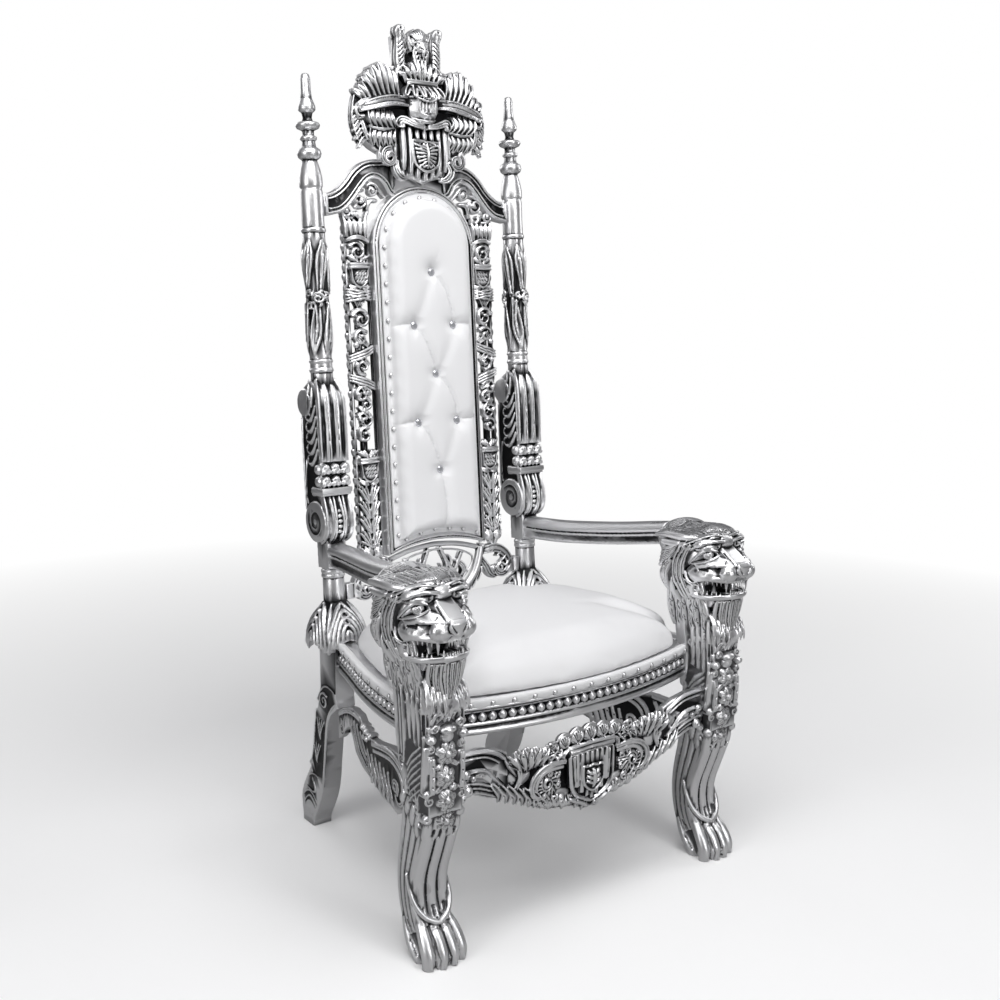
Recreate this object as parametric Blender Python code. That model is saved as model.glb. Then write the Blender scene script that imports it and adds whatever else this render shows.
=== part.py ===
# Carved lion throne: silvered hardwood frame with a tufted white back and a domed white seat.
# Metres, +Z up. The front faces -Y, and the origin is under the middle of the chair, on the floor.
import bpy
import bmesh
import math
from mathutils import Matrix, Vector

# Driving dimensions
POST_X = 0.266
BACK_Y = 0.2005
LEAN = math.atan(0.079)
LEG_X = 0.362
CENTRE_SHIFT = 0.0127
GAP = 0.0003

POST_RADIUS = 0.0237
CONSOLE_HALF = 0.034
REAR_LEG_HALF = 0.023
SKIRT_RIBS = 16
SKIRT_ROOM = 0.0765
SEAT_INNER = POST_X - REAR_LEG_HALF

FRAME_HALF = 0.134
FRAME_TOP = 1.458
FRAME_BOTTOM = 0.640
MOULDING = 0.016
STRIP_FOOT = 0.633
COLUMN_ROOM = 0.0258
FRAME_DIP = 0.022

RAIL_Z = 0.405
RAIL_TOP = 0.476
SEAT_CROWN = 0.573

ARM_WIDTH = 0.046
ARM_HEIGHT = 0.050
ARM_END_Y = -0.158

SILVER = (0.62, 0.62, 0.63, 1.0)
WHITE = (0.86, 0.86, 0.87, 1.0)
CRYSTAL = (0.75, 0.78, 0.82, 1.0)

for old in list(bpy.data.objects):
    bpy.data.objects.remove(old, do_unlink=True)


def finish(name, colour, roughness, metallic):
    """One plain surface material."""
    made = bpy.data.materials.new(name)
    made.use_nodes = True
    shader = made.node_tree.nodes["Principled BSDF"]
    shader.inputs["Base Color"].default_value = colour
    shader.inputs["Roughness"].default_value = roughness
    shader.inputs["Metallic"].default_value = metallic
    return made


SILVER_LEAF = finish("silver_leaf", SILVER, 0.28, 1.0)
WHITE_HIDE = finish("white_leatherette", WHITE, 0.42, 0.0)
CRYSTAL_GLASS = finish("crystal", CRYSTAL, 0.08, 0.0)

# The back leans: its own frame has X across, Y from front to rear and Z up along the posts.
BACK = Matrix.Translation((0, BACK_Y, 0)) @ Matrix.Rotation(-LEAN, 4, "X")
# Turns an upright form to face the front.
TO_FRONT = Matrix.Rotation(math.pi / 2, 4, "X")


def link(name, mesh, material):
    """Put a mesh in the scene as a named piece."""
    piece = bpy.data.objects.new(name, mesh)
    bpy.context.collection.objects.link(piece)
    mesh.materials.clear()
    mesh.materials.append(material)
    return piece


class Carving:
    """Closed shells that overlap, fused afterwards into the one block they are carved from."""

    def __init__(self, place=Matrix()):
        self.shells = bmesh.new()
        self.place = place

    def take(self, mesh, local=Matrix()):
        """Add a mesh that lies in the carving's own frame."""
        mesh.transform(self.place @ local)
        self.shells.from_mesh(mesh)
        bpy.data.meshes.remove(mesh)

    def strands(self, paths, local=Matrix(), sides=2):
        """Tapered round strands; each path is a list of (x, y, z, radius)."""
        data = bpy.data.curves.new("strands", "CURVE")
        data.dimensions = "3D"
        data.bevel_depth = 1.0
        data.bevel_resolution = sides
        data.use_fill_caps = True
        for path in paths:
            spline = data.splines.new("NURBS")
            spline.points.add(len(path) - 1)
            for point, (x, y, z, radius) in zip(spline.points, path):
                point.co = (x, y, z, 1.0)
                point.radius = radius
            spline.order_u = min(3, len(path))
            spline.use_endpoint_u = True
            spline.resolution_u = 4
        holder = bpy.data.objects.new("strands", data)
        mesh = bpy.data.meshes.new_from_object(holder)
        bpy.data.objects.remove(holder)
        bpy.data.curves.remove(data)
        self.take(mesh, local)

    def ball(self, centre, radii, turn=Matrix(), detail=2):
        """An ellipsoid."""
        form = bmesh.new()
        size = Matrix.Diagonal((*radii, 1.0))
        bmesh.ops.create_icosphere(form, subdivisions=detail, radius=1.0,
                                   matrix=Matrix.Translation(centre) @ turn @ size)
        self.keep(form)

    def block(self, low, high):
        """A box between two corners."""
        form = bmesh.new()
        middle = (Vector(low) + Vector(high)) / 2
        size = Vector(high) - Vector(low)
        bmesh.ops.create_cube(form, size=1.0,
                              matrix=Matrix.Translation(middle) @ Matrix.Diagonal((*size, 1.0)))
        self.keep(form)

    def slab(self, outline, start, end, across="y"):
        """A flat outline given a thickness: (x, z) points along Y, or (y, z) points along X."""
        self.keep(slab_form(outline, start, end, across))

    def turned(self, profile, centre=(0, 0), sides=16):
        """A turned solid from (radius, height) pairs that start and end on the axis."""
        self.keep(turned_form(profile, centre, sides))

    def keep(self, form):
        """Add a bmesh form that lies in the carving's own frame."""
        mesh = bpy.data.meshes.new("shell")
        form.to_mesh(mesh)
        form.free()
        self.take(mesh)

    def fuse(self, name, voxel, triangles, material=SILVER_LEAF):
        """Fuse the shells, then thin the surface to about the given number of triangles."""
        mesh = bpy.data.meshes.new(name)
        self.shells.to_mesh(mesh)
        self.shells.free()
        piece = link(name, mesh, material)
        merge = piece.modifiers.new("fuse", "REMESH")
        merge.mode = "VOXEL"
        merge.voxel_size = voxel
        whole = bpy.data.meshes.new_from_object(
            piece.evaluated_get(bpy.context.evaluated_depsgraph_get()))
        piece.modifiers.clear()
        piece.data = whole
        bpy.data.meshes.remove(mesh)
        whole.name = name
        thin = piece.modifiers.new("thin", "DECIMATE")
        thin.use_collapse_triangulate = True
        thin.ratio = min(1.0, triangles / (2.0 * len(whole.polygons)))
        return piece


def slab_form(outline, start, end, across="y"):
    """A closed prism from a flat outline."""
    form = bmesh.new()
    if across == "y":
        ring = [form.verts.new((a, start, b)) for a, b in outline]
        shift = (0, end - start, 0)
    else:
        ring = [form.verts.new((start, a, b)) for a, b in outline]
        shift = (end - start, 0, 0)
    face = form.faces.new(ring)
    grown = bmesh.ops.extrude_face_region(form, geom=[face])
    moved = [item for item in grown["geom"] if isinstance(item, bmesh.types.BMVert)]
    bmesh.ops.translate(form, vec=shift, verts=moved)
    bmesh.ops.recalc_face_normals(form, faces=form.faces)
    return form


def turned_form(profile, centre, sides):
    """A closed turned solid on a vertical axis."""
    form = bmesh.new()
    chain = [form.verts.new((radius, 0, height)) for radius, height in profile]
    for one, two in zip(chain, chain[1:]):
        form.edges.new((one, two))
    bmesh.ops.spin(form, geom=form.verts[:] + form.edges[:], axis=(0, 0, 1), cent=(0, 0, 0),
                   angle=math.tau, steps=sides, use_merge=True)
    bmesh.ops.remove_doubles(form, verts=form.verts, dist=0.0001)
    bmesh.ops.recalc_face_normals(form, faces=form.faces)
    bmesh.ops.translate(form, vec=(centre[0], centre[1], 0), verts=form.verts)
    return form


def piece_from(form, name, material=SILVER_LEAF, place=Matrix()):
    """A piece that needs no fusing."""
    mesh = bpy.data.meshes.new(name)
    bmesh.ops.transform(form, matrix=place, verts=form.verts)
    if place.determinant() < 0:
        bmesh.ops.reverse_faces(form, faces=form.faces)
    form.to_mesh(mesh)
    form.free()
    return link(name, mesh, material)


def volute(x, y, z, size, turns, start, thick, lift=0.0, hand=1, steps=9):
    """A spiral in the X-Z plane that winds in from its rim to its eye."""
    count = int(steps * turns)
    path = []
    for step in range(count + 1):
        part = step / count
        angle = start + hand * math.tau * turns * part
        reach = size * (1 - 0.82 * part)
        path.append((x + reach * math.cos(angle), y - lift * part, z + reach * math.sin(angle),
                     thick * (1 - 0.45 * part)))
    return path


def side_volute(x, y, z, size, turns, start, thick, hand=1, steps=9):
    """A spiral in the Y-Z plane."""
    return [(x, a, c, r) for a, _, c, r in volute(y, 0, z, size, turns, start, thick, 0, hand, steps)]


def flower(x, y, z, size, petals=6):
    """A rosette that faces the front: petals round a knob, as (centre, radii) pairs."""
    parts = [((x, y - size * 0.45, z), (size * 0.3, size * 0.3, size * 0.3))]
    for k in range(petals):
        angle = math.tau * k / petals
        parts.append(((x + 0.6 * size * math.cos(angle), y, z + 0.6 * size * math.sin(angle)),
                      (size * 0.36, size * 0.4, size * 0.36)))
    return parts


def mirror_paths(paths):
    """The paths and their mirror images across X = 0."""
    return paths + [[(-x, y, z, r) for x, y, z, r in path] for path in paths]


def level(piece, height):
    """Cut a piece off flat where it stands on the floor."""
    cut(piece, (-2, -2, height - 1), (2, 2, height), "foot")


def cutter(name, form, place=Matrix()):
    """A hidden form that only cuts."""
    tool = piece_from(form, name, SILVER_LEAF, place)
    tool.hide_render = True
    tool.display_type = "WIRE"
    return tool


def box_form(low, high):
    """A box between two corners."""
    form = bmesh.new()
    middle = (Vector(low) + Vector(high)) / 2
    size = Vector(high) - Vector(low)
    bmesh.ops.create_cube(form, size=1.0,
                          matrix=Matrix.Translation(middle) @ Matrix.Diagonal((*size, 1.0)))
    return form


def cut(piece, low, high, name, place=Matrix()):
    """Cut a box out of a piece."""
    carve(piece, cutter(piece.name + "_" + name, box_form(low, high), place))


def carve(piece, tool):
    """Cut one closed form out of a piece."""
    step = piece.modifiers.new(tool.name, "BOOLEAN")
    step.operation = "DIFFERENCE"
    step.object = tool


# Back posts: rear leg, leaf skirt, column, scroll console, carved shaft and finial in one length.
FINIAL = [(0, 1.679), (0.0085, 1.6765), (0.0108, 1.668), (0.0106, 1.645), (0.0122, 1.628),
          (0.0186, 1.611), (0.0182, 1.604), (0.0115, 1.598), (0.0096, 1.588), (0.0118, 1.581), (0.0235, 1.578),
          (0.0262, 1.573), (0.0235, 1.567), (0.0125, 1.562), (0.0135, 1.549), (0.0178, 1.548),
          (0.0178, 1.544), (0.0138, 1.541), (0.0150, 1.529), (0.0235, 1.523), (0.0260, 1.515),
          (0.0235, 1.507), (0.0155, 1.501), (0.0205, 1.487), (0.0246, 1.465), (0.0246, 1.446),
          (0.0228, 1.443), (0.0237, 1.438), (0.0237, 1.362), (0.0262, 1.360), (0.0262, 1.353),
          (0.0237, 1.351), (0.0237, 1.085), (0.0255, 1.083), (0.0255, 1.078), (0.0237, 1.076),
          (0.0237, 1.066), (0.0258, 1.064), (0.0258, 1.058), (0.0237, 1.056), (0.0237, 1.02), (0, 1.02)]
COLUMN = [(0, 0.70), (0.0225, 0.70), (0.0225, 0.630), (0.0258, 0.628), (0.0258, 0.621), (0.0232, 0.6195),
          (0.0256, 0.618), (0.0256, 0.611), (0.0235, 0.609), (0.0242, 0.556), (0.0275, 0.552),
          (0.036, 0.535), (0.048, 0.505), (0.046, 0.480), (0, 0.478)]
REAR_LEG = [(0.204, 0.52), (0.204, 0.345), (0.200, 0.322), (0.232, 0.297), (0.250, 0.252),
            (0.256, 0.215), (0.263, 0.170), (0.268, 0.132), (0.284, 0.078), (0.304, 0.041),
            (0.320, 0.013), (0.320, -0.006), (0.372, -0.006), (0.372, 0.013), (0.376, 0.034),
            (0.374, 0.072), (0.352, 0.112), (0.327, 0.150), (0.314, 0.189), (0.308, 0.230),
            (0.300, 0.270), (0.285, 0.318), (0.272, 0.352), (0.276, 0.42), (0.282, 0.52)]
CONSOLE = [(0.0, 1.040), (-0.020, 1.028), (-0.032, 1.004), (-0.036, 0.975), (-0.036, 0.870),
           (-0.034, 0.790), (-0.030, 0.775), (-0.030, 0.715), (0.0, 0.692), (0.030, 0.697),
           (0.044, 0.725), (0.046, 0.800), (0.043, 0.960), (0.050, 0.995), (0.030, 1.022)]


def post(name, side):
    """One back post; side is -1 on the left and +1 on the right."""
    work = Carving(BACK @ Matrix.Translation((side * POST_X, 0, 0)))
    work.turned(FINIAL, sides=12)
    work.turned(COLUMN, sides=12)
    shaft_leaves = []
    for k in range(5):
        angle = math.tau * k / 5
        for top, bottom in ((1.326, 1.222), (1.100, 1.206)):
            twist = 0.55 if top > bottom else -0.55
            path = []
            for step in range(5):
                part = step / 4
                turn = angle + twist * part
                reach = POST_RADIUS + 0.004 * math.sin(math.pi * part) - 0.002
                path.append((reach * math.cos(turn), reach * math.sin(turn), top + (bottom - top) * part,
                             0.0045 + 0.0065 * math.sin(math.pi * min(1, part * 0.8 + 0.1))))
            shaft_leaves.append(path)
    work.strands(shaft_leaves)
    for k in range(5):
        angle = math.tau * k / 5
        centre = (side * 0.010 + 0.011 * math.cos(angle), -0.027, 1.213 + 0.011 * math.sin(angle))
        work.ball(centre, (0.0085, 0.007, 0.0085))
    work.ball((side * 0.010, -0.032, 1.213), (0.006, 0.006, 0.006))
    work.slab(CONSOLE, -CONSOLE_HALF, CONSOLE_HALF, across="x")
    roll = []
    for z, y, radius, half in ((0.735, 0.001, 0.0445, 0.036), (0.995, 0.027, 0.0275, 0.036)):
        rim = [(y + radius * math.cos(math.tau * k / 18), z + radius * math.sin(math.tau * k / 18))
               for k in range(18)]
        work.slab(rim, -half, half, across="x")
        for hand in (-1, 1):
            roll.append(side_volute(hand * half, y, z, radius * 0.8, 1.5, 0.6, 0.0045))
    work.strands(roll)
    flutes = []
    for k in range(4):
        x = -0.0255 + 0.017 * k
        flutes.append([(x * 0.7, 0.004, 1.043, 0.005), (x, -0.022, 1.028, 0.007),
                       (x, -0.036, 0.985, 0.0078), (x, -0.037, 0.93, 0.0075), (x, -0.036, 0.868, 0.006)])
        flutes.append([(x, -0.030, 0.790, 0.006), (x, -0.040, 0.765, 0.0078), (x, -0.044, 0.735, 0.0085),
                       (x, -0.034, 0.708, 0.0075), (x, -0.014, 0.692, 0.006)])
    for hand in (-1, 1):
        for k in range(6):
            z = 0.985 - 0.021 * k
            flutes.append([(hand * 0.034, 0.028, z - 0.005, 0.005),
                           (hand * 0.037, 0.006, z - 0.016, 0.0065),
                           (hand * 0.035, -0.018, z - 0.014, 0.004)])
    work.strands(flutes)
    for z in (0.851, 0.825):
        for k in range(3):
            work.ball((-0.023 + 0.023 * k, -0.036, z), (0.0125, 0.013, 0.0125))
    work.block((-0.035, -0.040, 0.795), (0.035, 0.0, 0.808))
    work.block((-0.0225, -0.0235, 0.632), (0.0225, 0.0235, 0.71))
    ribs = []
    for k in range(SKIRT_RIBS):
        angle = math.tau * (k + 0.5) / SKIRT_RIBS
        corner = math.cos(2 * angle) ** 2
        drop = 0.026 * (1 - corner)
        spread = 0.060 + 0.006 * (1 - corner)
        ribs.append([(0.026 * math.cos(angle), 0.026 * math.sin(angle), 0.549, 0.005),
                     (0.046 * math.cos(angle), 0.046 * math.sin(angle), 0.538, 0.008),
                     (spread * math.cos(angle), spread * math.sin(angle), 0.508, 0.010),
                     (spread * 1.03 * math.cos(angle), spread * 1.03 * math.sin(angle), 0.480 - drop,
                      0.005)])
    work.strands(ribs)
    work.place = Matrix.Translation((side * POST_X, 0, 0))
    work.slab(REAR_LEG, -REAR_LEG_HALF, REAR_LEG_HALF, across="x")
    outer = side * REAR_LEG_HALF
    scrolls = [side_volute(outer, 0.262, 0.318, 0.022, 1.3, 2.6, 0.0045, -1),
              [(outer, 0.250, 0.342, 0.004), (outer, 0.285, 0.335, 0.005), (outer, 0.292, 0.290, 0.004),
               (outer, 0.272, 0.262, 0.003)],
              [(outer, 0.286, 0.258, 0.005), (outer, 0.296, 0.205, 0.007), (outer, 0.288, 0.150, 0.003)],
              [(outer, 0.316, 0.120, 0.003), (outer, 0.300, 0.090, 0.005), (outer, 0.330, 0.075, 0.005),
               (outer, 0.356, 0.095, 0.003)],
              [(outer, 0.312, 0.045, 0.004), (outer, 0.320, 0.075, 0.005), (outer, 0.350, 0.080, 0.005),
               (outer, 0.362, 0.040, 0.004)]]
    work.strands(scrolls)
    work.ball((0, 0.330, 0.152), (0.021, 0.011, 0.013))
    made = work.fuse(name, 0.0028, 740)
    level(made, 0.0)
    cut(made, (-0.3, -0.09, 0.60), (0.3, -0.0235, 0.6895), "arm_seat", BACK)
    cut(made, (-SEAT_INNER, 0, 0.40), (SEAT_INNER, 0.40, RAIL_TOP + GAP), "rail_seat")
    cut(made, (-0.4, 0.05, 0.39), (0.4, 0.2037, RAIL_TOP + GAP), "side_rail_seat")
    return made


post("back_post_left", -1)
post("back_post_right", 1)


# Front legs: paw, fluted shank, flowered knee, mane and lion head, carved as one upright.
SHANK = [(-0.318, -0.006), (-0.330, 0.020), (-0.318, 0.048), (-0.292, 0.075), (-0.279, 0.105),
         (-0.278, 0.140), (-0.284, 0.170), (-0.300, 0.210), (-0.318, 0.250), (-0.330, 0.295),
         (-0.335, 0.350), (-0.335, 0.480), (-0.325, 0.530), (-0.225, 0.555), (-0.218, 0.500),
         (-0.234, 0.440), (-0.238, 0.400), (-0.256, 0.330), (-0.254, 0.280), (-0.243, 0.232),
         (-0.234, 0.180), (-0.231, 0.150), (-0.234, 0.110), (-0.247, 0.066), (-0.263, 0.025),
         (-0.275, -0.006)]
SHANK_HALF = 0.036


def lion_leg(name, side):
    """One front leg; both lions look straight ahead, so the two are alike."""
    work = Carving(Matrix.Translation((side * LEG_X, 0, 0)))
    work.slab(SHANK, -SHANK_HALF, SHANK_HALF, across="x")
    flutes = []
    front = [(-0.296, 0.072), (-0.284, 0.105), (-0.282, 0.140), (-0.288, 0.170), (-0.304, 0.212),
             (-0.322, 0.262)]
    rear = [(-0.255, 0.050), (-0.240, 0.090), (-0.236, 0.150), (-0.240, 0.190), (-0.252, 0.250),
            (-0.262, 0.320)]
    for x in (-0.026, 0.0, 0.026):
        flutes.append([(x, y + 0.004, z, 0.0125) for y, z in front])
        flutes.append([(x, y + 0.006, z, 0.0120) for y, z in rear])
    for hand in (-1, 1):
        for share in (0.33, 0.67):
            flutes.append([(hand * 0.034, a[0] * share + b[0] * (1 - share),
                            a[1] * share + b[1] * (1 - share), 0.0095) for a, b in zip(front, rear)])
    flutes.append([(-0.040, -0.268, 0.150, 0.004), (-0.036, -0.290, 0.108, 0.006),
                   (0.0, -0.312, 0.074, 0.006),
                   (0.036, -0.290, 0.108, 0.006), (0.040, -0.268, 0.150, 0.004)])
    for k in range(4):
        x = -0.033 + 0.022 * k
        ahead = 0.006 if k in (1, 2) else 0.0
        flutes.append([(x * 0.7, -0.285, 0.078, 0.012), (x, -0.308 - ahead, 0.046, 0.0125),
                       (x * 1.05, -0.328 - ahead, 0.020, 0.0125),
                       (x * 1.05, -0.334 - ahead, 0.008, 0.009)])
    for x in (-0.033, 0.033):
        flutes.append([(x, -0.25, 0.06, 0.010), (x * 1.1, -0.275, 0.02, 0.013),
                       (x * 1.1, -0.300, 0.010, 0.011)])
    work.strands(flutes)
    knee(work)
    mane(work)
    head(work)
    made = work.fuse(name, 0.0025, 800)
    level(made, 0.0)
    return made


def knee(work):
    """The flowered panel, its drilled strips, the corner knobs and the scalloped cuff."""
    work.block((-0.040, -0.338, 0.310), (0.040, -0.250, 0.470))
    trims = []
    for x in (-0.036, 0.036):
        trims.append([(x, -0.334, 0.335, 0.0055), (x, -0.340, 0.380, 0.0055), (x, -0.340, 0.432, 0.0055)])
        trims.append([(x * 0.8, -0.338, 0.352, 0.006), (x * 1.15, -0.336, 0.340, 0.006),
                      (x * 1.2, -0.326, 0.310, 0.006), (x * 0.8, -0.324, 0.288, 0.006),
                      (x * 0.5, -0.326, 0.300, 0.006)])
        work.ball((x * 1.15, -0.335, 0.436), (0.009, 0.010, 0.008))
        work.ball((x * 1.1, -0.330, 0.345), (0.008, 0.008, 0.008))
    work.strands(trims)
    for z, size in ((0.425, 0.017), (0.386, 0.017), (0.343, 0.016), (0.303, 0.017)):
        y = -0.343 + max(0.0, 0.36 - z) * 0.22
        for centre, radii in flower(0.0, y, z, size):
            work.ball(centre, radii)
    for k in range(5):
        x = -0.034 + 0.017 * k
        drop = 0.006 * (k % 2)
        work.ball((x, -0.308 + 0.10 * abs(x), 0.262 - drop), (0.011, 0.012, 0.020))
    for hand in (-1, 1):
        for k in range(3):
            work.ball((hand * 0.037, -0.300 + 0.022 * k, 0.282 + 0.012 * k), (0.008, 0.012, 0.020))
    work.ball((0, -0.328, 0.458), (0.030, 0.022, 0.014))
    work.ball((0, -0.318, 0.285), (0.034, 0.014, 0.024))
    rear_leaf = []
    for hand in (-1, 1):
        rear_leaf.append([(hand * 0.034, -0.232, 0.560, 0.007), (hand * 0.042, -0.240, 0.500, 0.011),
                          (hand * 0.042, -0.247, 0.440, 0.010), (hand * 0.040, -0.245, 0.396, 0.008)])
        rear_leaf.append(side_volute(hand * 0.042, -0.252, 0.402, 0.012, 1.1, 1.0, 0.005, hand))
        for k in range(4):
            z = 0.440 - 0.022 * k
            rear_leaf.append([(hand * 0.038, -0.300, z + 0.02, 0.007),
                              (hand * 0.043, -0.283, z - 0.002, 0.007),
                              (hand * 0.040, -0.262, z - 0.026, 0.004)])
    work.strands(rear_leaf)


def mane(work):
    """Neck and chest under the head: locks that hang down over acanthus leaves."""
    work.slab([(-0.335, 0.470), (-0.345, 0.520), (-0.322, 0.560), (-0.318, 0.600), (-0.300, 0.650),
               (-0.170, 0.690), (-0.168, 0.640), (-0.205, 0.590), (-0.218, 0.540), (-0.225, 0.470)],
              -0.042, 0.042, across="x")
    locks = []
    for hand in (-1, 1):
        for k in range(6):
            part = k / 5
            y = -0.312 + 0.105 * part
            locks.append([(hand * 0.050, y + 0.010, 0.630 + 0.02 * part, 0.010),
                          (hand * (0.054 - 0.006 * part), y, 0.585 + 0.01 * part, 0.0115),
                          (hand * 0.044, y - 0.006, 0.535 + 0.01 * part, 0.010),
                          (hand * 0.042, y - 0.010, 0.492 + 0.012 * (k % 2), 0.005)])
        for k in range(3):
            x = hand * (0.010 + 0.015 * k)
            locks.append([(x, -0.318, 0.590, 0.008), (x * 1.05, -0.330, 0.555, 0.009),
                          (x * 1.1, -0.346, 0.525, 0.008), (x * 1.25, -0.350, 0.500 + 0.006 * k, 0.004)])
        locks.append([(hand * 0.016, -0.340, 0.475, 0.006), (hand * 0.034, -0.344, 0.492, 0.008),
                      (hand * 0.040, -0.338, 0.515, 0.006), (hand * 0.026, -0.340, 0.520, 0.005)])
    work.strands(locks)


def head(work):
    """The lion's head: skull, muzzle, open jaws with fangs, brows, eyes and the mane round the face."""
    work.ball((0, -0.262, 0.668), (0.066, 0.078, 0.066), detail=3)
    work.ball((0, -0.205, 0.680), (0.060, 0.060, 0.056))
    work.slab([(-0.300, 0.718), (-0.338, 0.706), (-0.384, 0.672), (-0.392, 0.655), (-0.380, 0.640),
               (-0.300, 0.628)], -0.019, 0.019, across="x")
    work.ball((0, -0.387, 0.657), (0.021, 0.012, 0.014))
    work.block((-0.036, -0.368, 0.624), (0.036, -0.290, 0.640))
    for hand in (-1, 1):
        work.ball((hand * 0.023, -0.368, 0.642), (0.022, 0.024, 0.020))
        work.ball((hand * 0.046, -0.312, 0.652), (0.026, 0.034, 0.024))
        work.ball((hand * 0.047, -0.318, 0.688), (0.014, 0.012, 0.011))
        work.ball((hand * 0.058, -0.285, 0.622), (0.018, 0.030, 0.024))
    lines = []
    for hand in (-1, 1):
        for lift in (0.0, 0.013):
            lines.append([(hand * 0.014, -0.336 + lift, 0.702 + lift * 0.9, 0.006),
                          (hand * 0.034, -0.333 + lift, 0.716 + lift, 0.0075),
                          (hand * 0.058, -0.312 + lift, 0.708 + lift, 0.0065),
                          (hand * 0.072, -0.284 + lift, 0.688 + lift, 0.005)])
        lines.append([(hand * 0.026, -0.334, 0.680, 0.004), (hand * 0.046, -0.330, 0.672, 0.0065),
                      (hand * 0.066, -0.306, 0.674, 0.0045)])
        lines.append([(hand * 0.060, -0.270, 0.724, 0.006), (hand * 0.078, -0.252, 0.690, 0.008),
                      (hand * 0.080, -0.252, 0.645, 0.009), (hand * 0.070, -0.268, 0.602, 0.008),
                      (hand * 0.046, -0.290, 0.578, 0.007)])
        lines.append([(hand * 0.068, -0.215, 0.716, 0.008), (hand * 0.080, -0.200, 0.670, 0.011),
                      (hand * 0.072, -0.208, 0.620, 0.010), (hand * 0.056, -0.225, 0.585, 0.007)])
        lines.append([(hand * 0.056, -0.282, 0.592, 0.013), (hand * 0.046, -0.330, 0.588, 0.012),
                      (hand * 0.022, -0.358, 0.590, 0.012), (0.0, -0.362, 0.590, 0.012)])
        lines.append([(hand * 0.024, -0.374, 0.632, 0.006), (hand * 0.025, -0.374, 0.606, 0.002)])
        lines.append([(hand * 0.020, -0.366, 0.596, 0.0055), (hand * 0.021, -0.368, 0.616, 0.002)])
        for k in range(4):
            x = hand * (0.012 + 0.017 * k)
            lines.append([(x * 0.8, -0.305 + 0.004 * k, 0.728, 0.006),
                          (x, -0.262, 0.740 - 0.003 * k, 0.008),
                          (x * 1.05, -0.205, 0.734 - 0.005 * k, 0.008),
                          (x, -0.165, 0.724 - 0.006 * k, 0.006)])
        lines.append([(hand * 0.010, -0.356, 0.586, 0.010), (hand * 0.012, -0.352, 0.562, 0.008),
                      (hand * 0.006, -0.345, 0.540, 0.004)])
    work.strands(lines)
    work.block((-0.040, -0.330, 0.572), (0.040, -0.250, 0.594))


legs = {-1: lion_leg("front_leg_left", -1), 1: lion_leg("front_leg_right", 1)}


# Arms: a moulded bar from each back post to the back of the lion's head, widening a little.
ARM_PATH = [(0.266, 0.270, 0.660), (0.269, 0.190, 0.664), (0.281, 0.120, 0.668), (0.302, 0.040, 0.676),
            (0.325, -0.040, 0.686), (0.345, -0.110, 0.697), (0.358, -0.170, 0.706)]
ARM_SECTION = [(-0.5, 0.32), (-0.36, 0.5), (0.36, 0.5), (0.5, 0.32), (0.5, 0.06), (0.40, -0.01),
               (0.5, -0.08), (0.40, -0.5), (-0.40, -0.5), (-0.5, -0.08), (-0.40, -0.01), (-0.5, 0.06)]


def bar(path, section, width, height, place=Matrix()):
    """A moulded bar: one flat section carried along a path that stays nearly level."""
    form = bmesh.new()
    rings = []
    for index, (x, y, z) in enumerate(path):
        before = Vector(path[max(index - 1, 0)])
        after = Vector(path[min(index + 1, len(path) - 1)])
        along = (after - before).normalized()
        across = along.cross(Vector((0, 0, 1))).normalized()
        rings.append([form.verts.new(Vector((x, y, z)) + across * a * width + Vector((0, 0, b * height)))
                      for a, b in section])
    count = len(section)
    for one, two in zip(rings, rings[1:]):
        for k in range(count):
            form.faces.new((one[k], one[(k + 1) % count], two[(k + 1) % count], two[k]))
    form.faces.new(rings[0])
    form.faces.new(reversed(rings[-1]))
    bmesh.ops.recalc_face_normals(form, faces=form.faces)
    bmesh.ops.transform(form, matrix=place, verts=form.verts)
    return form


def mirrored(side):
    """The right-hand frame, or its mirror image for the left."""
    return Matrix.Diagonal((side, 1, 1, 1))


for label, side in (("left", -1), ("right", 1)):
    arm = piece_from(bar(ARM_PATH, ARM_SECTION, ARM_WIDTH, ARM_HEIGHT), "arm_" + label, SILVER_LEAF,
                     mirrored(side))
    cut(arm, (-0.4, -0.0238, 0.5), (0.4, 0.3, 0.8), "post_face", BACK)
    cut(arm, (-1, -1, 0), (1, ARM_END_Y, 1), "head_face")
    cut(legs[side], (0.328, ARM_END_Y - GAP, 0.664), (0.386, 0.0, 0.735), "arm_seat", mirrored(side))


# Seat frame: a bowed front rail with a bead row, two side rails and a plain rear rail.
def bow(share, half, rear, ahead, height):
    """A point on a bowed rail; share runs from -1 to 1 across the chair."""
    return (half * share, rear - ahead * (1 - share * share), height)


FRONT_HALF = LEG_X - 0.0375
FRONT_END_Y = -0.236
FRONT_BOW = 0.056
SIDE_END_Y = -0.2140
FRONT_SECTION = [(-0.5, 0.5), (0.5, 0.5), (0.5, 0.1), (0.42, 0.04), (0.42, -0.2), (0.56, -0.26),
                 (0.56, -0.42), (0.44, -0.5), (-0.5, -0.5)]
RAIL_HEIGHT = RAIL_TOP - RAIL_Z
RAIL_MIDDLE = (RAIL_TOP + RAIL_Z) / 2
front_path = [bow(-1 + k / 4, FRONT_HALF, FRONT_END_Y, FRONT_BOW, RAIL_MIDDLE) for k in range(9)]


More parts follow.
